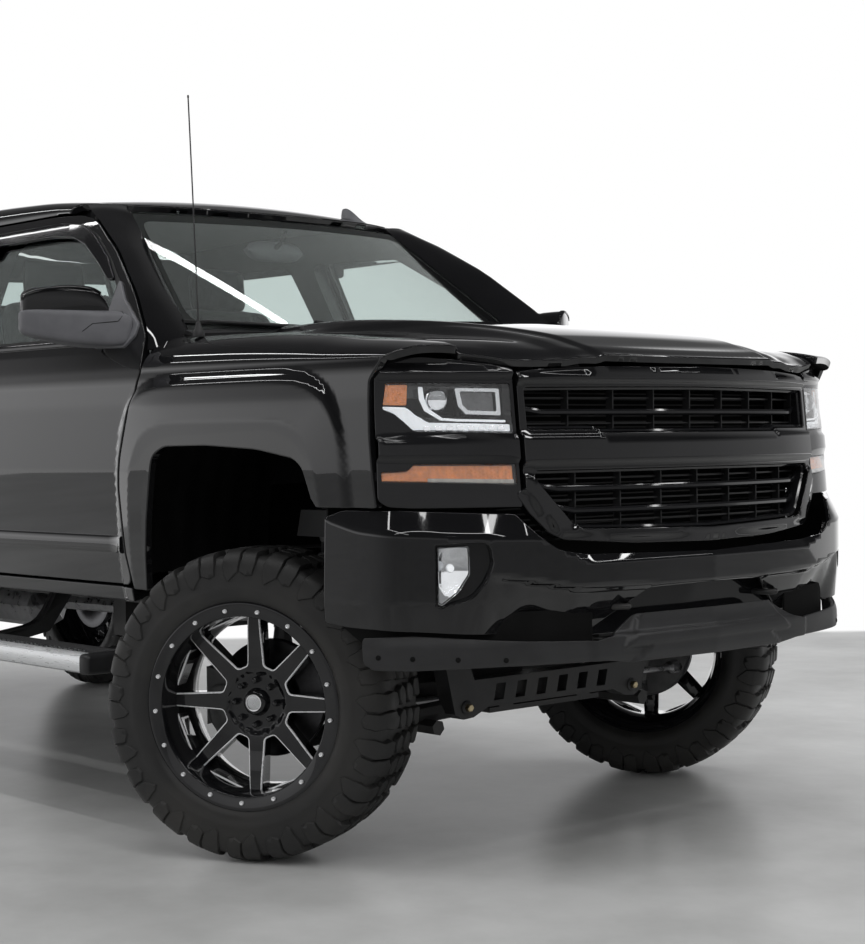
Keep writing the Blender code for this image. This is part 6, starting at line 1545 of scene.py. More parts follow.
def make_fog_lamp(word, side, plan, opening):
    """Lamp in its cup behind an opening of the bumper."""
    ring = resampled(ccw(opening), 0.012)
    centre = np.array([0.70, 0.83])
    lamp_s = 0.716
    levels = []
    for grow, depth in ((1.0, -0.002), (1.0, -0.020), (0.97, -0.050), (0.02, -0.050), (0.02, -0.054),
                        (1.01, -0.054), (1.03, -0.006)):
        cup = bumper_surface(plan, lambda s, z, d=depth: 0.012 + d)
        pts = np.array([centre + (np.array(p) - centre) * grow for p in ring])
        levels.append([tuple(p) for p in cup(pts[:, 0] * side, pts[:, 1])])
    cup = loft(f"fog_lamp_cup_{word}", levels, GLOSS, closed=True, sharp=40)
    dress(cup, BODY, "black_plastic")

    def lens_offset(s, z):
        return 0.006 - 0.30 * np.maximum(0.0, 0.752 - np.abs(s))
    lens_surf = bumper_surface(plan, lens_offset)
    lens_ring = rounded(FOG_LENS, [0.006, 0.006, 0.03, 0.02, 0.006, 0.006])
    if side < 0:
        lens_ring = [(-s, z) for s, z in reversed(lens_ring)]
    lens = skin(f"fog_lamp_cover_{word}", lens_ring, [], lens_surf, 0.02, [LENS_GLASS], depth=0.003,
                roll=0.001, edge_cell=0.012, steps=1)
    dress(lens, BODY, "clear_lens")

    def bowl_offset(s, z):
        away = ((np.abs(s) - lamp_s) / 0.04) ** 2 + ((z - 0.845) / 0.07) ** 2
        return lens_offset(s, z) - 0.012 - 0.018 * (1 - np.clip(away, 0, 1))
    bowl_surf = bumper_surface(plan, bowl_offset)
    bowl = skin(f"fog_lamp_reflector_{word}", inset(ccw(lens_ring), 0.0025), [], bowl_surf, 0.006,
                [CHROME], depth=0.003, roll=0.001, edge_cell=0.008, steps=1)
    dress(bowl, BODY, "chrome")
    x, y = (float(v[0]) for v in plan(np.array([side * lamp_s])))
    bulb_at = Vector((x - 0.014, y, 0.850))
    bulb = tube(f"fog_lamp_bulb_{word}", [bulb_at, bulb_at + Vector((0.010, side * 0.006, 0))],
                (0.012, 0.009), LED, 16)
    dress(bulb, BODY, "clear_lens")


def make_valance():
    plan = bumper_plan(2.891, 2.585, 2.50)
    plate = [(-0.300, 0.618), (-0.232, 0.712), (0.232, 0.712), (0.300, 0.618)]
    chin = [(-0.285, 0.560), (-0.205, 0.628), (0.205, 0.628), (0.285, 0.560)]

    def offset(s, z):
        lean = 0.018 * smooth((0.700 - z) / 0.07) - 0.018 * smooth((0.600 - z) / 0.05)
        up = 0.016 * raised(s, z, plate, 0.014)
        low = 0.008 * raised(s, z, chin, 0.012)
        step = 0.010 * smooth((0.395 - np.abs(s)) / 0.02) * smooth((0.66 - z) / 0.01)
        return lean + np.maximum(up, low) + step
    half = [(0.0, 0.573), (0.280, 0.574), (0.345, 0.584), (0.60, 0.588), (0.80, 0.580), (0.90, 0.583),
            (0.935, 0.600), (0.945, 0.668), (0.80, 0.674), (0.541, 0.653), (0.372, 0.642), (0.330, 0.652),
            (0.240, 0.706), (0.0, 0.706)]
    radii = [0, 0.02, 0.03, 0.05, 0.05, 0.03, 0.02, 0.01, 0.1, 0.1, 0.02, 0.02, 0.012, 0]
    outline = rounded_whole(half, radii)
    surf = bumper_surface(plan, offset)
    shell = skin("front_valance_shell", outline, [], surf, 0.012, [PLASTIC], depth=0.006, edge_cell=0.010,
                 roll=0.003)
    dress(shell, BODY, "black_plastic", "front_valance")
    for word, side in reversed(SIDES):
        for index, s in enumerate((0.60, 0.70, 0.80, 0.88)):
            point = surf(np.array([side * s]), np.array([0.606 + 0.004 * index]))[0]
            normal = surface_normals(surf, np.array([[side * s, 0.606]]), 1)[0]
            point, normal = Vector(point), Vector(normal)
            screw = tube(f"valance_screw_{index}_{word}",
                         [point - normal * 0.003, point + normal * 0.0015, point + normal * 0.003],
                         (0.007, 0.007, 0.004), DARK, 12)
            dress(screw, BODY, "black_plastic")


def make_rear_bumper():
    """Bright bumper with plate recess and step pads, and the brackets of both bumpers."""
    plan = bumper_plan(2.909, 2.895, 2.850)

    def offset(s, z):
        a = np.abs(s)
        groove = 0.010 * raised(a, z, [(0.50, 0.86), (0.95, 0.875), (0.95, 0.955), (0.50, 0.955)], 0.02)
        return 0.012 * smooth((z - 0.80) / 0.06) - 0.008 * smooth((z - 0.95) / 0.04) - groove * 0.4
    half = [(0.0, 0.802), (0.62, 0.802), (1.0, 0.842), (1.0, 0.990), (0.45, 0.995), (0.42, 0.946),
            (0.0, 0.946)]
    radii = [0, 0.05, 0.02, 0.02, 0.02, 0.02, 0]
    outline = rounded_whole(half, radii)
    holes = [rounded(rectangle(-0.17, 0.828, 0.17, 0.922), 0.01, 3)]
    surf = bumper_surface(plan, offset, -1)
    shell = skin("rear_bumper_shell", outline, holes, surf, 0.025, [CHROME, DARK], depth=0.004,
                 edge_cell=0.014, roll=0.003, sign=-1, back_mat=1)
    dress(shell, BODY, "satin_aluminium", "rear_bumper")
    back = bumper_surface(plan, lambda s, z: -0.030, -1)
    panel = skin("plate_recess", rounded(rectangle(-0.20, 0.81, 0.20, 0.94), 0.01, 3), [], back,
                 0.05, [PLASTIC], depth=0.02, sign=-1)
    dress(panel, BODY, "black_plastic")
    blank = box("blank_plate", (-2.897, -0.150, 0.835), (-2.892, 0.150, 0.915), SATIN, 0.001)
    dress(blank, BODY, "satin_aluminium")
    for word, side in SIDES:
        outline = rectangle(side * 0.42, 0.0, side * 0.985, 1.0)

        def pad(s, t):
            x, y = plan(s)
            return np.stack([-(x - 0.002 - 0.100 * t), y * (1 - 0.02 * t), np.full_like(t, 0.9935)], 1)
        step = skin(f"rear_step_pad_{word}", rounded(ccw(outline), 0.02, 3), [], pad, 0.05, [PLASTIC],
                    depth=0.006, roll=0.002, edge_cell=0.03)
        dress(step, BODY, "black_plastic")
    for end, x0, x1, z0, z1 in (("rear", -2.885, -2.70, 0.84, 0.93), ("front", 2.561, 2.80, 0.66, 0.76)):
        for word, side in reversed(SIDES):
            low, high = sorted((side * 0.395, side * 0.465))
            arm = box(f"{end}_bumper_bracket_{word}", (x0, low, z0), (x1, high, z1), STEEL, 0.004)
            dress(arm, BODY, "black_steel")


# Grille and lamps

def nose_surface(offset=0.0, lift=None):
    def surf(y, z):
        extra = lift(y, z) if lift is not None else 0.0
        return np.stack([nose_x(y, z) + offset + extra, y, z], 1)
    return surf


def nose_bar(name, path, section, mat):
    """Bar across the nose: path of (y, z, set back), section in (forward, up)."""
    rings = []
    for y, z, back in path:
        x = float(nose_x(y, z)) - back
        rings.append([(x + a, y, z + b) for a, b in section])
    return loft(name, rings, mat, sharp=30)


def make_grille():
    # Painted surround with its header and middle bar
    outline_half = [(0.0, 0.893), (0.30, 0.899), (0.527, 0.915), (0.567, 0.935), (0.619, 0.990),
                    (0.652, 1.042), (0.626, 1.056), (0.624, 1.368), (0.560, 1.376), (0.500, 1.380),
                    (0.400, 1.384), (0.0, 1.390)]
    radii = [0, 0.3, 0.05, 0.05, 0.1, 0.02, 0.01, 0.006, 0.05, 0.03, 0.05, 0]
    outline = rounded_whole(outline_half, radii)
    upper_half = [(0.0, 1.203), (0.375, 1.203), (0.398, 1.212), (0.604, 1.212), (0.606, 1.326),
                  (0.0, 1.330)]
    upper = rounded_whole(upper_half, [0, 0.02, 0.02, 0.012, 0.012, 0])
    lower_half = [(0.0, 0.934), (0.470, 0.944), (0.500, 0.962), (0.590, 1.072), (0.594, 1.102),
                  (0.0, 1.104)]
    lower = rounded_whole(lower_half, [0, 0.03, 0.03, 0.03, 0.012, 0])

    def relief(y, z):
        bar = mirrored_half([(0.0, 1.118), (0.66, 1.118), (0.66, 1.200), (0.390, 1.200), (0.372, 1.190),
                             (0.0, 1.190)])
        rise = 0.014 * raised(y, z, bar, 0.012)
        head = mirrored_half([(0.0, 1.342), (0.66, 1.338), (0.66, 1.358), (0.42, 1.364), (0.395, 1.374),
                              (0.0, 1.380)])
        rise = np.maximum(rise, 0.010 * raised(y, z, head, 0.012))
        chin = 0.002 * smooth((0.945 - z) / 0.03)
        edge = mirrored_half([(0.0, 0.905), (0.530, 0.925), (0.61, 1.02), (0.66, 1.09), (0.60, 1.09),
                              (0.555, 1.035), (0.490, 0.955), (0.0, 0.940)])
        return rise + chin + 0.008 * raised(y, z, edge, 0.010)
    surf = nose_surface(0.004, relief)
    frame_piece = skin("grille_surround", outline, [upper, lower], surf, 0.014, [PAINT, DARK],
                       depth=0.030, edge_cell=0.009, roll=0.003, back_mat=1)
    dress(frame_piece, BODY, "black_plastic", "grille")

    # Inner frames of the openings
    for index, loop in enumerate((upper, lower)):
        ring = resampled(ccw(inset(ccw(loop), 0.002)), 0.02)
        away = outward(ring)
        rings = []
        for (y, z), (oy, oz) in zip(ring, away):
            x = float(nose_x(y, z))
            rings.append([(x - 0.006, y, z), (x - 0.010, y - oy * 0.006, z - oz * 0.006),
                          (x - 0.050, y - oy * 0.009, z - oz * 0.009),
                          (x - 0.050, y + oy * 0.004, z + oz * 0.004)])
        lip = loft(f"grille_opening_frame_{index}", rings, GLOSS, closed=True, sharp=35)
        dress(lip, BODY, "black_plastic")


def make_grille_bars():
    """Three bladed bars, fine bars behind them and upright ribs."""
    blade = [(0.000, 0.004), (-0.004, 0.0095), (-0.030, 0.006), (-0.034, 0.000), (-0.030, -0.006),
             (-0.006, -0.0075), (0.000, -0.003)]
    bars = ((1.2575, 0.575, 0.016), (1.0495, 0.545, 0.014), (0.9900, 0.500, 0.014))
    for index, (z, half, back) in enumerate(bars):
        path = [(-half - 0.030, z + 0.014, back + 0.014), (-half, z + 0.006, back + 0.006),
                (-half + 0.03, z, back)]
        path += [(-half + 0.03 + (2 * half - 0.06) * k / 26, z, back) for k in range(1, 26)]
        path += [(half - 0.03, z, back), (half, z + 0.006, back + 0.006),
                 (half + 0.030, z + 0.014, back + 0.014)]
        bar = nose_bar(f"grille_bar_{index}", path, blade, GLOSS)
        dress(bar, BODY, "black_plastic")
    # Fine bars behind
    thin = rectangle(0.0, 0.0022, -0.020, -0.0022)
    for index, (z, half) in enumerate(((1.298, 0.60), (1.228, 0.60), (1.078, 0.585), (1.020, 0.545),
                                       (0.962, 0.495))):
        path = [(-half + 2 * half * k / 20, z, 0.046) for k in range(21)]
        bar = nose_bar(f"grille_fine_bar_{index}", path, thin, PLASTIC)
        dress(bar, BODY, "black_plastic")
    for k in range(-4, 5):
        y = 0.149 * k
        for part, (low, high) in enumerate(((1.208, 1.326), (0.938, 1.102))):
            if part == 1 and abs(y) > 0.50:
                low = 0.938 + (abs(y) - 0.47) * 1.2
            x = float(nose_x(y, 0.5 * (low + high)))
            rib = box(f"grille_rib_{part}_{k + 4}", (x - 0.062, y - 0.0022, low),
                      (x - 0.036, y + 0.0022, high), PLASTIC, 0.0008)
            dress(rib, BODY, "black_plastic")


def make_cooler():
    """Cooler with its fins behind the grille, and the shroud below it."""
    core = skin("grille_backing", rounded(rectangle(-0.62, 0.90, 0.62, 1.35), 0.02, 3), [],
                flat_x(2.640), 0.2, [DARK], depth=0.01)
    dress(core, BODY, "black_plastic")
    panel = skin("lower_air_shroud", rounded(rectangle(-0.80, 0.790, 0.80, 1.190), 0.02, 3), [],
                 flat_x(2.560), 0.2, [DARK], depth=0.006)
    dress(panel, BODY, "black_plastic")
    fins = []
    for k in range(26):
        z = 0.93 + 0.40 * k / 25
        fins.append(box(f"fin_{k}", (2.641, -0.60, z - 0.002), (2.652, 0.60, z + 0.002), STEEL, 0.0))
    fin_piece = merged("cooler_fins", fins)
    dress(fin_piece, BODY, "black_steel")


LAMP_WINDOW = [(0.643, 1.3355), (0.937, 1.339), (0.948, 1.268), (0.925, 1.2575), (0.905, 1.2350),
               (0.885, 1.210), (0.643, 1.2035)]
TURN_WINDOW = [(0.643, 1.066), (0.960, 1.079), (0.960, 1.104), (0.905, 1.107), (0.890, 1.124),
               (0.643, 1.121)]


def lamp_loop(points, side, inset_by=0.0):
    loop = [(side * y, z) for y, z in points]
    return inset(ccw(loop), inset_by) if inset_by else ccw(loop)


def make_projector(word, side):
    """Projector lens in its bright ring."""
    at = Vector((float(nose_x(0.806, 1.292)) - 0.045, side * 0.806, 1.292))
    place = Matrix.Translation(at) @ Matrix.Rotation(radians(-90 + side * 14), 4, "Z")
    profile = [(0.0, 0.030), (0.008, 0.0292), (0.016, 0.026), (0.022, 0.020), (0.025, 0.012),
               (0.026, 0.004), (0.026, -0.004)]
    ball = turned(f"lamp_projector_lens_{word}", profile, 32, LENS_GLASS, place, sharp=60)
    dress(ball, BODY, "clear_lens")
    bright = [(0.0255, 0.006), (0.030, 0.009), (0.033, 0.006), (0.034, -0.006), (0.030, -0.020),
              (0.0, -0.022), (0.0, -0.016), (0.024, -0.010)]
    ring = turned(f"lamp_projector_ring_{word}", bright, 32, CHROME, place, sharp=40)
    dress(ring, BODY, "chrome")


def make_headlamp(word, side):
    bezel = [(0.634, 1.006), (0.905, 1.008), (0.952, 1.012), (0.971, 1.030), (0.966, 1.174),
             (0.964, 1.268), (0.960, 1.350), (0.940, 1.392), (0.905, 1.406), (0.850, 1.408),
             (0.770, 1.399), (0.634, 1.380)]
    radii = [0.006, 0.02, 0.02, 0.02, 0.2, 0.2, 0.03, 0.02, 0.03, 0.1, 0.1, 0.006]
    window = rounded(LAMP_WINDOW, [0.006, 0.008, 0.010, 0.01, 0.02, 0.02, 0.006])
    turn = rounded(TURN_WINDOW, [0.004, 0.004, 0.004, 0.01, 0.01, 0.004])

    def relief(y, z):
        band = [(0.60, 1.128), (1.0, 1.140), (1.0, 1.190), (0.60, 1.196)]
        rise = 0.010 * raised(np.abs(y), z, band, 0.014)
        brow = 0.0084 * smooth((z - 1.348) / 0.02) - 0.018 * smooth((z - 1.366) / 0.02)
        return rise + brow
    surf = nose_surface(0.002, relief)
    loops = [lamp_loop(window, side), lamp_loop(turn, side)]
    body = skin(f"headlamp_bezel_{word}", lamp_loop(rounded(bezel, radii), side), loops, surf, 0.014,
                [GLOSS, DARK], depth=0.012, edge_cell=0.008, roll=0.002, back_mat=1)
    dress(body, BODY, "black_plastic", f"headlamp_{word}")
    for name, loop in (("upper", window), ("turn", turn)):
        cover = skin(f"headlamp_{name}_cover_{word}", lamp_loop(loop, side, 0.0008), [],
                     nose_surface(0.001), 0.03, [LENS_GLASS], depth=0.0025, edge_cell=0.015, roll=0.0006,
                     steps=1)
        dress(cover, BODY, "clear_lens")

    # Chamber behind the upper window
    def chamber(grow, depth, loop):
        centre = np.mean(np.array(loop), 0)
        pts = [centre + (np.array(p) - centre) * grow for p in loop]
        return [(float(nose_x(p[0], p[1])) - depth, side * p[0], p[1]) for p in pts]
    for name, loop, deep in (("upper", window, 0.075), ("turn", turn, 0.034)):
        ring = resampled(ccw(loop), 0.012)
        rings = [chamber(0.999, 0.004, ring), chamber(0.99, deep * 0.8, ring), chamber(0.93, deep, ring),
                 chamber(0.4, deep + 0.002, ring), chamber(0.4, deep + 0.006, ring),
                 chamber(1.02, deep + 0.005, ring), chamber(1.03, 0.006, ring)]
        shell = loft(f"headlamp_{name}_housing_{word}", rings, GLOSS, closed=True, sharp=35)
        dress(shell, BODY, "black_plastic")

    def piece(name, loop, depth, thick, mats, slot, cell=0.02, lift=None, roll=0.0012):
        thing = skin(f"{name}_{word}", lamp_loop(loop, side), [], nose_surface(-depth, lift), cell, mats,
                     depth=thick, edge_cell=cell * 0.7, roll=roll, steps=2)
        dress(thing, BODY, slot)
        return thing
    piece("lamp_amber", rounded([(0.886, 1.334), (0.936, 1.334), (0.943, 1.281), (0.891, 1.279)], 0.004),
          0.010, 0.012, [AMBER], "clear_lens")
    strip = rounded([(0.646, 1.2075), (0.884, 1.2140), (0.905, 1.2390), (0.924, 1.2610), (0.944, 1.2700),
                     (0.942, 1.2765), (0.895, 1.2740), (0.868, 1.2480), (0.846, 1.2330), (0.646, 1.2270)],
                    0.004)
    piece("lamp_led_strip", strip, 0.008, 0.008, [LED], "clear_lens", 0.010,
          lift=lambda y, z: 0.002 * np.sin(np.abs(y) * 2 * pi / 0.022))
    for index in range(8):
        y = 0.672 + 0.026 * index
        cell = [(y - 0.008, 1.2115), (y + 0.008, 1.2120), (y + 0.008, 1.2235), (y - 0.008, 1.2230)]
        piece(f"lamp_led_cell_{index}", rounded(cell, 0.002), 0.0035, 0.004, [CHROME], "chrome", 0.02,
              roll=0.0008)
    line = rounded([(0.652, 1.2385), (0.775, 1.2420), (0.812, 1.2450), (0.842, 1.2700), (0.850, 1.2980),
                    (0.852, 1.3280), (0.862, 1.3280), (0.862, 1.2950), (0.852, 1.2640), (0.818, 1.2390),
                    (0.776, 1.2355), (0.652, 1.2320)], 0.003)
    piece("lamp_light_blade", line, 0.012, 0.006, [LED], "clear_lens", 0.010)
    frame_loop = [(0.650, 1.250), (0.745, 1.254), (0.762, 1.275), (0.768, 1.326), (0.650, 1.324)]
    inner = [(0.662, 1.262), (0.738, 1.265), (0.750, 1.280), (0.755, 1.315), (0.662, 1.313)]
    frame_piece = skin(f"lamp_inner_frame_{word}", lamp_loop(rounded(frame_loop, 0.006), side),
                       [lamp_loop(rounded(inner, 0.005), side)], nose_surface(-0.030), 0.012, [SATIN],
                       depth=0.010, edge_cell=0.01, roll=0.0015)
    dress(frame_piece, BODY, "satin_aluminium")
    piece("lamp_inner_lens", rounded(inner, 0.005), 0.040, 0.004, [SMOKED], "clear_lens", 0.010,
          lift=lambda y, z: 0.0012 * np.sin(np.abs(y) * 2 * pi / 0.008))
    make_projector(word, side)

    # Turn signal strip with fine ribs
    amber = rounded([(0.646, 1.069), (0.957, 1.081), (0.957, 1.101), (0.903, 1.104), (0.888, 1.120),
                     (0.646, 1.117)], 0.003)
    piece("turn_signal_reflector", amber, 0.010, 0.008, [AMBER], "clear_lens", 0.006,
          lift=lambda y, z: 0.0016 * np.sin(np.abs(y) * 2 * pi / 0.010))
    bar = rounded([(0.646, 1.069), (0.860, 1.077), (0.860, 1.086), (0.646, 1.080)], 0.002)
    piece("turn_signal_light_bar", bar, 0.006, 0.004, [FROST], "clear_lens", 0.008,
          lift=lambda y, z: 0.0008 * np.sin(np.abs(y) * 2 * pi / 0.008))


def make_tail_lamp(word, side):
    """Lens that wraps the bed corner, with a clear field between two red ones."""
    lamp_x = BED_REAR_X + 0.095

    def face(x, z):
        round_in = 0.060 * np.maximum(0.0, (BED_REAR_X + 0.055 - x) / 0.055) ** 2.2
        return np.stack([x - 0.002, side * (side_y(x, z) + 0.004 - round_in), z], 1)
    outline = rounded(rectangle(BED_REAR_X - 0.004, 1.092, lamp_x - 0.001, 1.498), 0.008, 3)

    lamp = skin(f"tail_lamp_lens_{word}", outline, [], face, 0.014, [RED], back=flat_y(side * 0.845),
                sign=-side, edge_cell=0.012, roll=0.003)
    dress(lamp, BODY, "red_lens", f"tail_lamp_{word}")
    fields = ((1.24, 1.345, FROST), (1.105, 1.225, RED), (1.360, 1.485, RED))
    for index, (low, high, mat) in enumerate(fields):
        loop = rounded([(BED_REAR_X - 0.002, low), (lamp_x - 0.018, low + 0.004),
                        (lamp_x - 0.018, high - 0.004), (BED_REAR_X - 0.002, high)], 0.008, 3)

        def proud(x, z):
            return face(x, z) + np.array([0, side * 0.0022, 0])
        cell = skin(f"tail_lamp_cell_{index}_{word}", loop, [], proud, 0.012, [mat], depth=0.003,
                    sign=-side, edge_cell=0.01, roll=0.0015)
        dress(cell, BODY, "red_lens")


# Wheels

TREAD_PITCHES = 20
WHEEL_HALF = 0.127
SPOKES = 8
RIM_BOLTS = 17
TREAD_LINE = ((0.0, 0.4440), (0.060, 0.4435), (0.100, 0.4415), (0.120, 0.4370), (0.136, 0.4285),
              (0.1475, 0.4160), (0.1535, 0.4010), (0.1568, 0.3850), (0.1585, 0.3680), (0.1590, 0.3480),
              (0.1582, 0.3330), (0.1560, 0.3240), (0.1565, 0.3180), (0.1530, 0.3090), (0.1440, 0.2975),
              (0.1345, 0.2895), (0.1290, 0.2840))
TREAD_AT = np.concatenate([[0.0], np.cumsum(np.hypot(*np.diff(np.array(TREAD_LINE), axis=0).T))])
TREAD_DEPTH = ((0.0, 0.0150), (0.100, 0.0145), (0.125, 0.0115), (0.150, 0.0080), (0.175, 0.0058),
               (0.200, 0.0052), (0.222, 0.0048), (0.236, 0.0), (0.400, 0.0))
LEFT_SHOULDER_BLOCK = (
    (-0.054, 0.062), (-0.024, 0.054), (-0.015, 0.070), (-0.004, 0.076), (-0.004, 0.128), (-0.009, 0.152),
    (-0.004, 0.191), (-0.028, 0.203), (-0.050, 0.199), (-0.056, 0.162), (-0.049, 0.125), (-0.055, 0.090))
RIGHT_SHOULDER_BLOCK = (
    (0.002, 0.072), (0.018, 0.060), (0.046, 0.066), (0.053, 0.092), (0.048, 0.125), (0.056, 0.160),
    (0.050, 0.208), (0.038, 0.219), (0.012, 0.199), (0.002, 0.192), (-0.002, 0.152), (0.002, 0.128))
SHOULDER_BLOCKS = (LEFT_SHOULDER_BLOCK, RIGHT_SHOULDER_BLOCK)
LEFT_CENTRE_BLOCK = (
    (-0.061, 0.009), (-0.030, 0.004), (-0.010, 0.012), (-0.005, 0.030), (-0.018, 0.046), (-0.040, 0.049),
    (-0.060, 0.036))
RIGHT_CENTRE_BLOCK = (
    (0.006, 0.014), (0.024, 0.006), (0.052, 0.010), (0.063, 0.027), (0.050, 0.048), (0.026, 0.051),
    (0.009, 0.036))
CENTRE_BLOCKS = (LEFT_CENTRE_BLOCK, RIGHT_CENTRE_BLOCK)


def wheel_matrix(front, side):
    if front:
        turn = Matrix.Rotation(REST_STEER, 4, "Z")
        pin = Vector((FRONT_AXLE_X, side * KINGPIN_Y, TYRE_RADIUS))
        centre = pin + turn.to_3x3() @ Vector((0, side * 0.140, 0))
    else:
        turn = Matrix.Identity(4)
        centre = Vector((REAR_AXLE_X, side * 0.912, TYRE_RADIUS))
    return Matrix.Translation(centre) @ turn @ Matrix.Diagonal((1, side, 1, 1))


def tread_point(u, w, drop):
    """Angle, y and radius of points of a block.

    u runs along the tread from the block's middle, w across it from the middle line; drop is below the top.
    """
    line = np.array(TREAD_LINE)

    def at(distance):
        return np.interp(distance, TREAD_AT, line[:, 0]), np.interp(distance, TREAD_AT, line[:, 1])

    across = np.abs(w)
    y, r = at(across)
    y2, r2 = at(across + 0.004)
    y1, r1 = at(np.maximum(0, across - 0.004))
    size = np.maximum(1e-9, np.hypot(y2 - y1, r2 - r1))
    out_y, out_r = -(r2 - r1) / size, (y2 - y1) / size
    y, r = y - out_y * drop, r - out_r * drop
    return u / TYRE_RADIUS, np.where(w < 0, -y, y), r


def tread_block(outline):
    """Points (u, w, drop) and faces of one block with sloped walls and a small bevel."""
    loop = resampled(ccw(rounded(list(outline), 0.004, 2)), 0.012)
    top = inset(loop, 0.0018)
    coords, tris, _ = fill(top, [], 0.014)
    count, size = len(coords), len(loop)
    foot = inset(loop, -0.0030)
    deep = np.interp([p[1] for p in foot], *zip(*TREAD_DEPTH)) + 0.002
    points = [np.column_stack([coords, np.zeros(count)]), np.column_stack([loop, np.full(size, 0.0018)]),
              np.column_stack([foot, deep])]
    faces = [tuple(int(i) for i in t) for t in tris]
    rows = [range(size), range(count, count + size), range(count + size, count + 2 * size)]
    for a, b in zip(rows, rows[1:]):
        faces += [(a[i], b[i], b[(i + 1) % size], a[(i + 1) % size]) for i in range(size)]
    return np.concatenate(points), faces


def make_tyre(name, body, matrix, node):
    verts, faces = [], []
    start = 0
    pitch = 2 * pi / TREAD_PITCHES
    for mirror in (1, -1):
        for block in SHOULDER_BLOCKS + CENTRE_BLOCKS:
            points, cells = tread_block(block)
            turn, y, r = tread_point(points[:, 0] * mirror, points[:, 1] * mirror, points[:, 2])
            for k in range(TREAD_PITCHES):
                angle = turn + (k + (0.5 if mirror < 0 else 0.0)) * pitch
                verts.append(np.column_stack([r * np.cos(angle), y, r * np.sin(angle)]))
                faces += [tuple(start + i for i in f) for f in cells]
                start += len(points)
    stations = np.concatenate([np.linspace(0, 0.100, 5), np.linspace(0.110, TREAD_AT[-1], 20)])
    drop = np.interp(stations, *zip(*TREAD_DEPTH))
    _, y, r = tread_point(np.zeros(len(stations)), stations, drop)
    half = list(zip(r, y))
    profile = [(a, -b) for a, b in reversed(half[1:])] + half
    ring, cells = lathe_data(profile, 96)
    verts.append(np.array(ring))
    faces += [tuple(start + i for i in f[::-1]) for f in cells]
    points = np.concatenate(verts)
    spin = np.array(matrix)
    points = points @ spin[:3, :3].T + spin[:3, 3]
    first = points[list(faces[0])]
    facing = np.cross(first[1] - first[0], first[2] - first[0])
    middle = first.mean(0) - spin[:3, 3]
    if np.dot(facing, middle) < 0:
        faces = [f[::-1] for f in faces]
    thing = mesh_object(name, points, faces, [RUBBER], sharp=32.0)
    return dress(thing, body, "tyre_rubber", node)


def turned(name, profile, sides, mat, matrix, closed=False, sharp=35.0):
    verts, faces = lathe_data(profile, sides, closed)
    return solid(name, verts, faces, mat, sharp=sharp, matrix=matrix)


def window_outline(middle):
    """Opening between two spokes: straight sides, a short flat inner end with round corners."""
    near, far = 0.108, 0.254
    corners = [(near, -0.143), (far, -0.318), (far, 0.318), (near, 0.143)]
    loop = [(r * cos(middle + a), r * sin(middle + a)) for r, a in corners]
    return rounded(loop, [0.013, 0.002, 0.002, 0.013], 5)


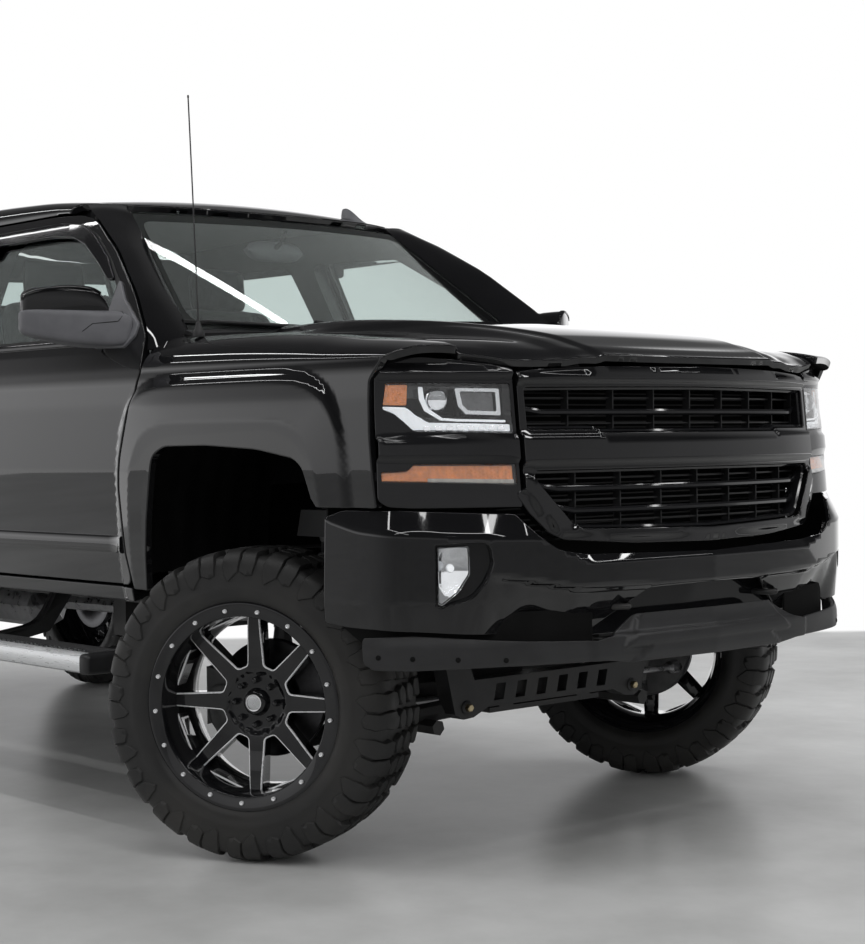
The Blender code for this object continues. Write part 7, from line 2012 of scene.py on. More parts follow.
def make_rim(name, body, matrix, side):
    half = WHEEL_HALF
    barrel = [(0.2960, half + 0.006), (0.2975, half + 0.011), (0.2955, half + 0.0155),
              (0.2905, half + 0.018), (0.2850, half + 0.0165), (0.2580, half + 0.0165),
              (0.2545, half + 0.0150), (0.2530, half + 0.0100), (0.2520, half - 0.020),
              (0.2500, half - 0.060), (0.2475, half - 0.075), (0.2475, 0.010), (0.2440, -0.010),
              (0.2440, -0.050), (0.2520, -0.075), (0.2600, -0.085), (0.2640, -0.112), (0.2740, -0.121),
              (0.2900, -0.1265), (0.2945, -0.1300), (0.2950, -0.1360), (0.2900, -0.1400),
              (0.2840, -0.1360), (0.2820, -0.118), (0.2700, -0.090), (0.2700, 0.090), (0.2820, 0.118),
              (0.2850, half + 0.002)]
    ring = turned(name + "_barrel", barrel, 96, [RIM], matrix, closed=True, sharp=28.0)
    turn, centre = np.array(matrix)[:3, :3], np.array(matrix)[:3, 3]

    def face(u, v):
        r = np.hypot(u, v)
        dish = 0.010 * smooth((r - 0.10) / 0.14)
        nut_seat = 0.009 * (1 - smooth((r - 0.082) / 0.009))
        depth = half - 0.078 + dish - nut_seat
        return np.stack([u, depth, v], -1) @ turn.T + centre

    def rear(u, v):
        r = np.hypot(u, v)
        return np.stack([u, half - 0.118 - 0.004 * smooth((r - 0.12) / 0.10), v], -1) @ turn.T + centre

    outline = [(0.262 * cos(a), 0.262 * sin(a)) for a in turns(48)]
    holes = [window_outline((k + 0.5) * 2 * pi / SPOKES) for k in range(SPOKES)]
    disc = skin(name + "_spokes", outline, holes, face, 0.011, [RIM, MILLED], roll=0.0042, back=rear,
                sign=-side, rim_mat=1, steps=2)
    parts = [ring, disc]
    cap = [(0.0, half - 0.0630), (0.015, half - 0.0632), (0.0290, half - 0.0650), (0.0330, half - 0.0680),
           (0.0360, half - 0.0730), (0.0400, half - 0.0840), (0.0420, half - 0.0960)]
    parts.append(turned(name + "_cap", cap, 40, [RIM], matrix))
    trim = [(0.0200, half - 0.0640), (0.0205, half - 0.0615), (0.0240, half - 0.0612),
            (0.0250, half - 0.0645)]
    parts.append(turned(name + "_cap_ring", trim, 40, [CHROME], matrix, closed=True))
    badge = [(0.0, half - 0.0618), (0.012, half - 0.0620), (0.0200, half - 0.0630),
             (0.0202, half - 0.0645)]
    parts.append(turned(name + "_cap_face", badge, 32, [SATIN], matrix))
    for k in range(SPOKES):
        spot = Matrix.Rotation(2 * pi * k / SPOKES, 4, "Y") @ Matrix.Translation((0.0635, 0, 0))
        nut = [(0.0, half - 0.0640), (0.0060, half - 0.0645), (0.0085, half - 0.0670),
               (0.0100, half - 0.0760), (0.0112, half - 0.0900)]
        parts.append(turned(f"{name}_nut_{k}", nut, 6, [RIM], matrix @ spot, sharp=25.0))
    for k in range(RIM_BOLTS):
        angle = pi / 2 - radians(10.0) * side - 2 * pi * k / RIM_BOLTS
        spot = Matrix.Translation((0.2715 * cos(angle), 0, 0.2715 * sin(angle)))
        bolt = [(0.0, half + 0.0215), (0.0030, half + 0.0215), (0.0036, half + 0.0230),
                (0.0052, half + 0.0232), (0.0062, half + 0.0215), (0.0064, half + 0.0150)]
        parts.append(turned(f"{name}_bolt_{k}", bolt, 14, [BOLT], matrix @ spot, sharp=40.0))
    return dress(merged(name, parts), body, "black_rim", name.replace("wheel", "rim"))


def make_brake(word, front, matrix):
    """Brake disc with its hat, vanes between two faces, and the caliper over it."""
    body = f"front_upright_{word}" if front else BODY
    base = -0.067 if front else -0.066
    disc = [(0.075, base - 0.015), (0.168, base - 0.015), (0.170, base - 0.013), (0.170, base - 0.006),
            (0.160, base - 0.004), (0.160, base + 0.004), (0.170, base + 0.006), (0.170, base + 0.013),
            (0.168, base + 0.015), (0.098, base + 0.015), (0.094, base + 0.030), (0.088, base + 0.060),
            (0.030, base + 0.062), (0.030, base + 0.050), (0.075, base + 0.045)]
    parts = [turned("rotor", disc, 64, [DISC_PAINTED_SHADE], matrix, closed=True)]
    for k in range(30):
        spot = Matrix.Rotation(2 * pi * k / 30, 4, "Y")
        parts.append(box(f"vane_{k}", (0.110, base - 0.006, -0.002), (0.166, base + 0.006, 0.002), [CAST],
                         0.0, matrix @ spot))
    body_line = [(-0.052, 0.108), (-0.070, 0.120), (-0.078, 0.150), (-0.070, 0.178), (-0.030, 0.193),
                 (0.030, 0.193), (0.070, 0.178), (0.078, 0.150), (0.070, 0.120), (0.052, 0.108),
                 (0.030, 0.125), (-0.030, 0.125)]
    lay = Matrix.Rotation(radians(75.0 if front else -75.0) + (pi if front else 0.0), 4, "Y")
    for low, high in ((base - 0.055, base - 0.019), (base + 0.019, base + 0.043)):
        parts.append(prism("caliper_half", body_line, "Y", low, high, [CAST], 0.005, matrix=matrix @ lay))
    parts.append(prism("caliper_bridge", [(-0.060, 0.174), (-0.030, 0.197), (0.030, 0.197),
                                          (0.060, 0.174)], "Y", base - 0.045, base + 0.035, [CAST], 0.003,
                       matrix=matrix @ lay))
    thing = merged(f"brake_{'front' if front else 'rear'}_{word}", parts)
    return dress(thing, body, "cast_metal")


def make_wheels():
    for end in ("front", "rear"):
        front = end == "front"
        for word, side in SIDES:
            spot = wheel_matrix(front, side)
            place = f"{end}_{word}"
            body = f"{end}_wheel_{word}"
            make_tyre(f"tread_{place}", body, spot, f"tyre_{place}")
            make_rim(f"wheel_{place}", body, spot, side)
            make_brake(word, front, spot)


# Mirrors, window shades, side steps and aerials

def oblong(x0, x1, z0, z1, power=0.42, count=28):
    """Closed rounded-rectangle loop in (x, z)."""
    loop = []
    for a in turns(count):
        c, s = cos(a), sin(a)
        u = abs(c) ** power * (1 if c > 0 else -1)
        v = abs(s) ** power * (1 if s > 0 else -1)
        loop.append((0.5 * (x0 + x1) + 0.5 * (x1 - x0) * u, 0.5 * (z0 + z1) + 0.5 * (z1 - z0) * v))
    return loop


MIRROR_LOW = ((0.945, 1.285, 1.400, 1.495, 1.580), (0.965, 1.235, 1.398, 1.489, 1.593),
              (1.000, 1.200, 1.374, 1.486, 1.599), (1.060, 1.186, 1.334, 1.492, 1.601),
              (1.120, 1.178, 1.288, 1.503, 1.602), (1.175, 1.175, 1.244, 1.516, 1.602),
              (1.205, 1.176, 1.214, 1.527, 1.600), (1.214, 1.179, 1.200, 1.538, 1.592))
MIRROR_CAP = ((0.996, 1.215, 1.350, 1.592, 1.604), (1.004, 1.205, 1.350, 1.592, 1.630),
              (1.020, 1.197, 1.343, 1.592, 1.656), (1.045, 1.191, 1.330, 1.592, 1.669),
              (1.090, 1.185, 1.298, 1.592, 1.674), (1.140, 1.181, 1.258, 1.592, 1.671),
              (1.180, 1.178, 1.226, 1.592, 1.662), (1.200, 1.177, 1.208, 1.592, 1.650),
              (1.208, 1.180, 1.198, 1.592, 1.630))


def make_mirror(word, side):
    """Housing, painted cap, glass and the sail at the window corner."""
    body = f"front_door_set_{word}"
    rings = []
    for y, x0, x1, z0, z1 in spline(MIRROR_LOW, 4):
        rings.append([(x, side * y, z) for x, z in oblong(x0, x1, z0, z1, 0.36)])
    dress(loft(f"mirror_housing_{word}", rings, GREY_WITH_PAINTED_REFLECTION, sharp=60), body, "black_plastic",
          f"mirror_{word}")
    rings = []
    for y, x0, x1, z0, z1 in spline(MIRROR_CAP, 4):
        rings.append([(x, side * y, z) for x, z in oblong(x0, x1, z0 - 0.012, z1, 0.30)])
    dress(loft(f"mirror_cap_{word}", rings, PAINT, sharp=60), body, "black_paint")
    brow = []
    for y, x0, x1, z0, z1 in spline(MIRROR_CAP[2:-1], 4):
        brow.append([(x1 + 0.0035 - u, side * y, z1 - 0.006 + v) for u,
                     v in ((0.0, 0.0), (0.002, 0.0045), (0.010, 0.0080), (0.022, 0.0085), (0.024, 0.0045),
                           (0.010, 0.0025), (0.004, -0.0020))])
    dress(loft(f"mirror_brow_{word}", brow, GLOSS, sharp=50), body, "black_paint")
    pane = rounded([(side * 1.005, 1.508), (side * 1.192, 1.538), (side * 1.192, 1.650),
                    (side * 1.160, 1.662), (side * 1.020, 1.658), (side * 1.005, 1.630)], 0.014, 4)
    frame_line = inset(ccw(pane), -0.010)
    bezel = prism(f"mirror_bezel_{word}", frame_line, "X", 1.170, 1.190, PLASTIC, 0.003)
    dress(bezel, body, "black_plastic")
    dress(prism(f"mirror_glass_{word}", pane, "X", 1.1675, 1.172, PALE, 0.0008), body, "chrome")
    seam = [(0.963, 1.594), (0.985, 1.563), (1.050, 1.556), (1.075, 1.532)]
    line = []
    for y, z in resampled_open(seam, 0.008):
        low = [np.interp(y, [r[0] for r in MIRROR_LOW], [r[i] for r in MIRROR_LOW]) for i in (1, 2, 3, 4)]
        v = min(0.98, abs(2 * (z - low[2]) / (low[3] - low[2]) - 1))
        angle = asin(v ** (1 / 0.36))
        x = 0.5 * (low[0] + low[1]) + 0.5 * (low[1] - low[0]) * cos(angle) ** 0.36
        line.append((x - 0.0004, side * y, z))
    dress(tube(f"mirror_seam_{word}", line, 0.0013, DARK, 6), body, "black_plastic")

    # Sail at the window corner
    outline = [(1.228, 1.712), (1.300, 1.640), (1.375, 1.590), (1.425, 1.556), (1.425, 1.520),
               (1.385, 1.485), (1.200, 1.490), (1.222, 1.560)]
    outline = rounded(outline, [0.008, 0.05, 0.05, 0.020, 0.015, 0.020, 0.010, 0.05], 4)
    sail = skin(f"mirror_sail_{word}", outline, [], side_surface(side, 0.010), 0.02, [GREY_WITH_PAINTED_REFLECTION],
                depth=0.013, sign=-side, edge_cell=0.012, roll=0.004)
    dress(sail, body, "black_plastic")


def make_shade(word, side, front_door):
    """Wind deflector along the top of a side window."""
    stem = "front" if front_door else "rear"
    if front_door:
        top = [(0.262, 1.860), (0.256, 1.936), (0.70, 1.940), (0.86, 1.922), (0.965, 1.882),
               (1.105, 1.795), (1.200, 1.712)]
        low = [(1.160, 1.712), (1.060, 1.775), (0.930, 1.848), (0.830, 1.880), (0.69, 1.894),
               (0.32, 1.892), (0.300, 1.860)]
    else:
        top = [(-0.632, 1.800), (-0.652, 1.885), (-0.585, 1.938), (0.160, 1.938), (0.168, 1.870)]
        low = [(0.128, 1.872), (0.120, 1.894), (-0.545, 1.894), (-0.600, 1.860), (-0.600, 1.800)]
    outline = rounded(top + low, 0.012, 3)

    shade = skin(f"{stem}_window_shade_{word}", outline, [], side_surface(side, 0.0135), 0.02, [SMOKE],
                 depth=0.0125, sign=-side, edge_cell=0.012, roll=0.0030)
    dress(shade, f"{stem}_door_set_{word}", "black_plastic")


def make_step(word, side):
    """Side step: bright outer rail, ribbed tread, end caps and three brackets."""
    low_x, high_x = -0.690, 1.285
    rail = [(1.030, 0.471), (1.060, 0.473), (1.072, 0.479), (1.0765, 0.490), (1.0765, 0.516),
            (1.073, 0.527), (1.063, 0.5345), (1.046, 0.5375), (1.046, 0.528), (1.058, 0.522),
            (1.058, 0.486), (1.030, 0.480)]
    rail = [(side * y, z) for y, z in rail]
    thing = prism(f"step_rail_{word}", rail, "X", low_x, high_x, BOARD, 0.0012, sharp=30)
    dress(thing, BODY, "satin_aluminium", f"running_board_{word}")
    ribs = []
    for k in range(9):
        y = 0.912 + k * 0.0148
        ribs += [(y, 0.5305), (y + 0.002, 0.5345), (y + 0.0075, 0.5345), (y + 0.0095, 0.5305)]
    pad = [(side * y, z) for y, z in [(0.905, 0.480), (0.905, 0.5305)] + ribs
           + [(1.046, 0.5305), (1.046, 0.480)]]
    dress(prism(f"step_tread_{word}", pad, "X", low_x + 0.002, high_x - 0.002, PLASTIC, 0.0), BODY,
          "black_plastic")
    studs = []
    for i in range(64):
        x = low_x + 0.05 + i * 0.0295
        for y in (1.020, 1.034):
            stud = rounded(rectangle(x - 0.009, side * (y - 0.003), x + 0.009, side * (y + 0.003)),
                           0.0028, 2)
            studs.append(prism("stud", stud, "Z", 0.533, 0.5385, SATIN, 0.0))
    dress(merged(f"step_grip_{word}", studs), BODY, "bright_steel")
    for end, x0, x1 in (("front", high_x - 0.004, 1.318), ("rear", -0.722, low_x + 0.004)):
        rings = []
        for t, shrink in ((0.0, 0.0), (0.35, 0.0), (0.8, 0.004), (0.95, 0.010), (1.0, 0.016)):
            x = x0 + (x1 - x0) * (t if end == "front" else 1 - t)
            ring = oblong(0.902 + shrink, 1.0785 - shrink, 0.4685 + shrink, 0.5365 - shrink, 0.30, 32)
            rings.append([(x, side * y, z) for y, z in ring])
        dress(loft(f"step_cap_{end}_{word}", rings, PLASTIC, sharp=50), BODY, "black_plastic")
    for index, x in enumerate((1.05, 0.30, -0.45)):
        make_step_bracket(index, x, word, side)


def make_step_bracket(index, x, word, side):
    """Arm with its flange, foot plate and two bolts."""
    arm = [(0.500, 0.640), (0.500, 0.735), (0.535, 0.735), (0.560, 0.690), (0.640, 0.555), (0.760, 0.520),
           (0.965, 0.500), (1.035, 0.495), (1.035, 0.474), (0.960, 0.468), (0.740, 0.478), (0.600, 0.505)]
    arm = [(side * y, z) for y, z in rounded(arm, 0.012, 3)]
    plate = prism(f"step_arm_{index}_{word}", arm, "X", x - 0.004, x + 0.004, STEEL, 0.001)
    top_line = ((0.535, 0.735), (0.560, 0.690), (0.640, 0.555), (0.760, 0.520), (0.965, 0.500),
                (1.035, 0.497))
    flange_path = [(x, side * y, z) for y, z in top_line]
    rings = [[(px + u, py, pz + v) for u, v in rectangle(-0.024, 0.003, 0.024, -0.003)]
             for px, py, pz in spline(flange_path, 4)]
    flange = loft("flange", rings, STEEL, sharp=30)
    low, high = sorted((side * 0.496, side * 0.506))
    foot = box("foot", (x - 0.035, low, 0.632), (x + 0.035, high, 0.742), STEEL, 0.003)
    bolts = []
    for dz in (0.655, 0.720):
        spot = Matrix.Translation((x, side * 0.507, dz)) @ Matrix.Diagonal((1, side, 1, 1))
        bolts.append(turned("bolt", [(0.0, 0.010), (0.008, 0.010), (0.010, 0.008), (0.010, 0.0),
                                     (0.015, 0.0), (0.015, -0.002)], 6, ZINC, spot, sharp=25))
    dress(merged(f"step_bracket_{index}_{word}", [plate, flange, foot] + bolts), BODY, "black_steel")


def make_antenna():
    """Mast on its boot at the right fender."""
    x, y = FRONT_AXLE_X - 0.271, -0.880
    foot = [(0.0, 1.551), (0.0045, 1.551), (0.0075, 1.547), (0.0095, 1.535), (0.0150, 1.524),
            (0.0185, 1.517), (0.0185, 1.505)]
    stand = Matrix.Translation((x, y, 0)) @ Matrix.Rotation(radians(90), 4, "X")
    stand = stand @ Matrix.Diagonal((1, 1, -1, 1))
    boot = turned("antenna_boot", foot, 28, PLASTIC, stand)
    points = [(x, y, 1.545), (x - 0.003, y, 1.60), (x - 0.018, y, 1.90), (x - 0.037, y, 2.232)]
    mast = tube("antenna_mast", spline(points, 6), [0.0030] * 7 + [0.0022] * 12, STEEL, 10)
    tip = tube("antenna_tip", [(x - 0.0368, y, 2.228), (x - 0.037, y, 2.2335), (x - 0.0371, y, 2.236)],
               [0.0030, 0.0030, 0.0012], STEEL, 10)
    dress(merged("antenna_rod", [boot, mast, tip]), BODY, "black_plastic", "antenna")


def make_roof_fin():
    fin_x, fin_y = FRONT_AXLE_X - 1.15, 0.47
    rings = []
    for k in range(15):
        t = k / 14
        px = fin_x + 0.075 - 0.15 * t
        base_z = float(roof_z(px, fin_y)) - 0.004
        high = 0.004 + 0.046 * smooth(min(1.0, t / 0.85)) * (1 - 0.12 * max(0, t - 0.85) / 0.15)
        wide = 0.006 + 0.022 * sin(pi * min(1.0, 0.15 + t * 0.8))
        rings.append([(px, fin_y - wide, base_z), (px, fin_y - wide * 0.55, base_z + high * 0.45),
                      (px, fin_y - 0.0035, base_z + high * 0.93), (px, fin_y, base_z + high),
                      (px, fin_y + 0.0035, base_z + high * 0.93),
                      (px, fin_y + wide * 0.55, base_z + high * 0.45), (px, fin_y + wide, base_z)])
    dress(loft("roof_fin", rings, GREY_WITH_PAINTED_REFLECTION, sharp=60, subdivide=1), BODY, "black_paint")


# Cargo bed

BED_WALL_Y = 0.825
BED_ARCH = tuple((REAR_AXLE_X + x, z) for x, z in ARCH)


def make_bed(word, side):
    """Outer side of the bed around the arch."""
    lamp_x = BED_REAR_X + 0.105
    outline = [(BED_FRONT_X, 0.735), (BED_FRONT_X, BED_RAIL_Z), (BED_REAR_X, BED_RAIL_Z),
               (BED_REAR_X, 1.466), (lamp_x, 1.466), (lamp_x, 1.036), (BED_REAR_X + 0.002, 1.036),
               (BED_REAR_X + 0.006, 0.80), (BED_REAR_X + 0.030, 0.745),
               (REAR_AXLE_X - 0.41, 0.730)] + list(BED_ARCH) + [(REAR_AXLE_X + 0.435, 0.722)]
    radii = [0.01, 0.02, 0.02, 0.004, 0.008, 0.008, 0.004, 0.05, 0.03, 0.01, 0.02, *ARCH_RADII[1:-1],
             0.02, 0.01]
    loop = ccw(rounded(outline, radii))
    surf = side_surface(side)

    def back(x, z):
        return np.stack([x, side * (side_y(x, z) - 0.022), z], 1)

    panel = skin(f"bed_panel_{word}", loop, [], surf, 0.028, [PAINT, DARK], back=back, sign=-side,
                 edge_cell=0.014, roll=0.0045, back_mat=1)
    dress(panel, BODY, "black_paint", "cargo_bed")


def make_bed_wall(word, side):
    """Rail cap, inner wall with a pressed rib, and stake pockets."""
    rail = [(0.800, 1.556), (0.800, 1.566), (0.812, 1.574), (0.880, 1.577), (0.905, 1.572),
            (0.913, 1.560), (0.913, 1.545), (0.902, 1.545)]
    rail = [(side * y, z) for y, z in rounded(rail, 0.004, 2)]
    dress(prism(f"bed_rail_cap_{word}", rail, "X", BED_REAR_X + 0.004, BED_FRONT_X - 0.004, PLASTIC,
                0.002), BODY, "black_plastic")
    pockets = []
    for x in (-1.18, -1.90, -2.62):
        pocket = rounded(rectangle(x - 0.032, side * 0.835, x + 0.032, side * 0.878), 0.006, 3)
        pockets.append(prism("pocket", pocket, "Z", 1.5755, 1.5805, DARK, 0.001))
    dress(merged(f"bed_stake_caps_{word}", pockets), BODY, "black_plastic")

    def wall(x, z):
        away = np.abs(z - 1.40)
        ridge = 0.008 * smooth((away - 0.020) / 0.014) * smooth((0.075 - away) / 0.014)
        step = 0.010 * smooth((z - 1.478) / 0.02)
        return np.stack([x, side * (BED_WALL_Y - ridge + step), z], 1)

    inner = rectangle(BED_REAR_X + 0.004, 1.052, BED_FRONT_X - 0.01, 1.558)
    inner_wall = skin(f"bed_inner_wall_{word}", inner, [], wall, 0.024, [PAINT],
                      back=flat_y(side * (BED_WALL_Y + 0.020)), sign=side, roll=0.002)
    dress(inner_wall, BODY, "black_paint")
    post = [(side * 0.826, 1.050), (side * 0.826, 1.552), (side * 0.900, 1.552), (side * 0.905, 1.050)]
    dress(prism(f"bed_end_post_{word}", rounded(post, 0.004, 2), "X", BED_REAR_X + 0.001,
                BED_REAR_X + 0.055, PAINT, 0.002), BODY, "black_paint")
    pin = [(0.0, 0.022), (0.011, 0.022), (0.011, 0.018), (0.006, 0.016), (0.006, 0.003), (0.013, 0.002),
           (0.013, -0.004)]
    spot = Matrix.Translation((BED_REAR_X + 0.030, side * 0.826, 1.470))
    spot = spot @ Matrix.Diagonal((1, -side, 1, 1))
    latch = turned(f"tailgate_striker_{word}", pin, 20, BRIGHT, spot)
    dress(latch, BODY, "bright_steel")


def make_bed_wheelhouse(word, side):
    """Wheelhouse box, the liner over the wheel and the tie rings."""
    rings = []
    for y, grow in ((0.628, 0.050), (0.634, 0.022), (0.646, 0.007), (0.664, 0.0), (0.700, 0.0),
                    (0.760, 0.0), (BED_WALL_Y + 0.004, 0.0)):
        x0, x1 = REAR_AXLE_X - 0.440 + grow, REAR_AXLE_X + 0.460 - grow
        top = 1.218 - grow
        line = rounded([(x0, 1.040), (x0 + 0.030, 1.150), (x0 + 0.110, top), (x1 - 0.110, top),
                        (x1 - 0.030, 1.150), (x1, 1.040)], [0, 0.06, 0.06, 0.06, 0.06, 0], 5)
        rings.append([(x, side * y, z) for x, z in line])
    dress(loft(f"bed_wheelhouse_{word}", rings, PAINT, sharp=50), BODY, "black_paint")
    liner = []
    line = rounded([(REAR_AXLE_X - 0.400, 0.760), (REAR_AXLE_X - 0.372, 0.960),
                    (REAR_AXLE_X - 0.300, 1.165), (REAR_AXLE_X - 0.05, 1.188),
                    (REAR_AXLE_X + 0.33, 1.165), (REAR_AXLE_X + 0.420, 1.04),
                    (REAR_AXLE_X + 0.432, 0.760)], [0, 0.2, 0.08, 0.8, 0.08, 0.2, 0], 6)
    for i, (x, z) in enumerate(line):
        a, b = Vector(line[max(i - 1, 0)]), Vector(line[min(i + 1, len(line) - 1)])
        t = (b - a).normalized()
        out = Vector((-t.y, t.x))
        ring = []
        for k in range(19):
            y = 0.640 + (0.955 - 0.640) * k / 18
            rise = 0.004 if k % 4 in (1, 2) else 0.0
            ring.append((x + out.x * rise, side * y, z + out.y * rise))
        for k in range(18, -1, -1):
            y = 0.640 + (0.955 - 0.640) * k / 18
            ring.append((x + out.x * 0.008, side * y, z + out.y * 0.008))
        liner.append(ring)
    dress(loft(f"rear_wheel_liner_{word}", liner, DARK, sharp=30), BODY, "black_plastic")
    hooks = []
    for x in (-1.10, -2.70):
        ring = [(x + 0.024 * cos(a), side * (BED_WALL_Y - 0.014), 1.105 + 0.028 * sin(a))
                for a in turns(20)]
        hooks.append(tube("hook", ring, 0.0045, BRIGHT, 10, closed=True))
        low, high = sorted((side * (BED_WALL_Y - 0.012), side * BED_WALL_Y))
        hooks.append(box("plate", (x - 0.022, low, 1.122), (x + 0.022, high, 1.150), STEEL, 0.003))
    dress(merged(f"bed_tie_rings_{word}", hooks), BODY, "bright_steel")


def make_bed_middle():
    """Ribbed floor, front wall with its cap, and the sills below."""
    ribs = 13
    half = BED_WALL_Y - 0.002
    section = []
    pitch = 2 * half / ribs
    for k in range(ribs):
        y = -half + k * pitch
        section += [(y, 1.0520), (y + pitch * 0.22, 1.0520), (y + pitch * 0.34, 1.0600),
                    (y + pitch * 0.88, 1.0600)]
    section.append((half, 1.0520))
    section += [(half, 1.030), (-half, 1.030)]
    dress(prism("bed_floor_panel", section, "X", BED_REAR_X + 0.050, BED_FRONT_X - 0.010, BED_COAT, 0.0),
          BODY, "black_paint")

    def front_wall(y, z):
        wave = smooth(np.abs(((y + 0.90) / 0.26) % 1.0 - 0.5) * 4 - 0.55)
        fade = smooth((z - 1.10) / 0.03) * smooth((1.50 - z) / 0.03)
        return np.stack([BED_FRONT_X - 0.030 - 0.014 * wave * fade, y, z], 1)

    wall = skin("bed_front_panel", rectangle(-0.900, 1.030, 0.900, 1.555), [], front_wall,
                0.020, [PAINT], back=flat_x(BED_FRONT_X - 0.002), sign=-1, roll=0.003)
    dress(wall, BODY, "black_paint")
    cap = rounded([(BED_FRONT_X - 0.052, 1.548), (BED_FRONT_X - 0.052, 1.566),
                   (BED_FRONT_X - 0.040, 1.575), (BED_FRONT_X - 0.004, 1.575),
                   (BED_FRONT_X - 0.001, 1.560), (BED_FRONT_X - 0.001, 1.548)], 0.004, 2)
    dress(prism("bed_front_cap", cap, "Y", -0.905, 0.905, PLASTIC, 0.003), BODY, "black_plastic")
    sills = []
    for x in (-1.345, -2.28, -2.62):
        hat = [(x - 0.055, 1.030), (x - 0.055, 1.024), (x - 0.034, 1.022), (x - 0.030, 0.872),
               (x + 0.030, 0.872), (x + 0.034, 1.022), (x + 0.055, 1.024), (x + 0.055, 1.030)]
        sills.append(prism("sill", hat, "Y", -0.80, 0.80, STEEL, 0.003))
    dress(merged("bed_cross_sills", sills), BODY, "black_steel")


def make_tailgate():
    body = "tailgate_lid"
    half = 0.797

    def gate(y, z):
        spoiler = 0.020 * smooth((z - 1.485) / 0.03) * smooth((1.567 - z) / 0.012)
        panel = 0.007 * smooth((z - 1.12) / 0.02) * smooth((1.44 - z) / 0.02)
        panel = panel * smooth((0.70 - np.abs(y)) / 0.025)
        return np.stack([BED_REAR_X - 0.002 - spoiler + panel + 0.006 * ((z - 1.3) / 0.26) ** 2, y, z], 1)

    gate_line = rounded(rectangle(-half, 1.012, half, 1.560), 0.012, 3)
    handle_hole = rounded([(-0.115, 1.385), (0.115, 1.385), (0.125, 1.455), (-0.125, 1.455)], 0.015, 4)
    outer = skin("tailgate_skin", gate_line, [handle_hole], gate, 0.018, [PAINT],
                 back=flat_x(BED_REAR_X + 0.028), sign=-1, edge_cell=0.012, roll=0.005)
    dress(outer, body, "black_paint", "tailgate")

    def inner_face(y, z):
        rib = 0.010 * smooth((0.32 - np.abs(((y + 0.8) / 0.32) % 1.0 - 0.5)) / 0.05)
        rib = rib * smooth((z - 1.09) / 0.02) * smooth((1.46 - z) / 0.02)
        rib = rib * smooth((0.74 - np.abs(y)) / 0.02)
        return np.stack([BED_REAR_X + 0.046 - rib, y, z], 1)

    inner = skin("tailgate_inner", inset(ccw(gate_line), 0.003), [], inner_face, 0.020, [PAINT],
                 back=flat_x(BED_REAR_X + 0.026), edge_cell=0.014, roll=0.004)
    dress(inner, body, "black_paint")
    dish = box("tailgate_handle_dish", (-2.800, -0.128, 1.380), (-2.788, 0.128, 1.460), DARK, 0.003)
    dress(dish, body, "black_plastic")
    rings = []
    for k in range(17):
        t = k / 8 - 1
        y = 0.100 * t
        wide = 0.018 * (1 - abs(t) ** 5) + 0.004
        rings.append([(-2.818 + 0.008 * cos(a) - 0.002 * (1 - t * t), y, 1.428 + wide * sin(a))
                      for a in turns(16)])
    dress(loft("tailgate_handle", rings, GLOSS, sharp=60), body, "black_plastic")


# Seats and cabin

def pad_form(wide, long, thick, crown, bolster=0.0, cuts=(), rails=(), pull=0.02, cells=(38, 40)):
    """Closed stuffed form: crowned top, edges pulled in between the corners, sewn channels and bolsters.

    u runs across from -1 to 1, v along. cuts are v of cross seams, rails are |u| of long seams.
    """
    nu, nv = cells
    us = np.sin(np.linspace(-1, 1, nu) * pi / 2)
    vs = np.sin(np.linspace(-1, 1, nv) * pi / 2)
    u, v = np.meshgrid(us, vs, indexing="ij")
    corner = 1 - 0.11 * (u * v) ** 4
    x = 0.5 * wide * u * corner * (1 - pull * (1 - v * v))
    y = 0.5 * long * v * corner * (1 - pull * (1 - u * u))
    swell = (np.maximum(0, 1 - u ** 6) * np.maximum(0, 1 - v ** 6)) ** 0.45
    dome = (1 - u * u) * (1 - v * v)
    dips = np.zeros_like(u)
    cut_ends = np.clip((0.74 - np.abs(u)) / 0.05, 0, 1)
    for cut in cuts:
        dips += 0.013 * np.exp(-((v - cut) * long / 0.022) ** 2) * cut_ends
    for rail in rails:
        dips += 0.014 * np.exp(-((np.abs(u) - rail) * wide / 0.026) ** 2)
    puckers = 0.0012 * np.sin(17 * u + 5 * v) * np.sin(13 * v - 3 * u) * dome
    top = swell * (0.5 * thick + crown * dome + bolster * smooth((np.abs(u) - 0.62) / 0.25) - dips
                   + puckers)
    low = -swell * 0.5 * thick
    verts = np.concatenate([np.stack([x, y, top], -1).reshape(-1, 3),
                            np.stack([x, y, low], -1).reshape(-1, 3)])
    index = np.arange(nu * nv).reshape(nu, nv)
    faces = []
    for i in range(nu - 1):
        for j in range(nv - 1):
            a, b, c, d = index[i, j], index[i + 1, j], index[i + 1, j + 1], index[i, j + 1]
            faces.append((a, b, c, d))
            faces.append(tuple(k + nu * nv for k in (d, c, b, a)))
    edge = [(i, 0) for i in range(nu)] + [(nu - 1, j) for j in range(1, nv)]
    edge += [(i, nv - 1) for i in range(nu - 2, -1, -1)] + [(0, j) for j in range(nv - 2, 0, -1)]
    border = [tuple(verts[index[i, j]]) for i, j in edge]
    return verts, [tuple(int(k) for k in f) for f in faces], border


def cushion(name, matrix, wide, long, thick, crown, body=BODY, fill_share=0.6, piping=True, node=None,
            **form):
    verts, faces, border = pad_form(wide, long, thick, crown, **form)
    thing = solid(name, verts, faces, CLOTH, sharp=0, matrix=matrix)
    dress(thing, body, "seat_cloth", *([node] if node else []))
    if piping:
        path = [tuple(matrix @ Vector(p)) for p in border[::2]]
        cord = tube(name + "_piping", path, 0.0032, TRIM, 8, closed=True)
        dress(cord, body, "seat_cloth")
    return thing


def laid(centre, along, up):
    """Matrix whose y runs along and z runs up, at a centre."""
    along, up = Vector(along).normalized(), Vector(up).normalized()
    across = along.cross(up)
    up = across.cross(along)
    matrix = Matrix((across, along, up)).transposed().to_4x4()
    matrix.translation = Vector(centre)
    return matrix


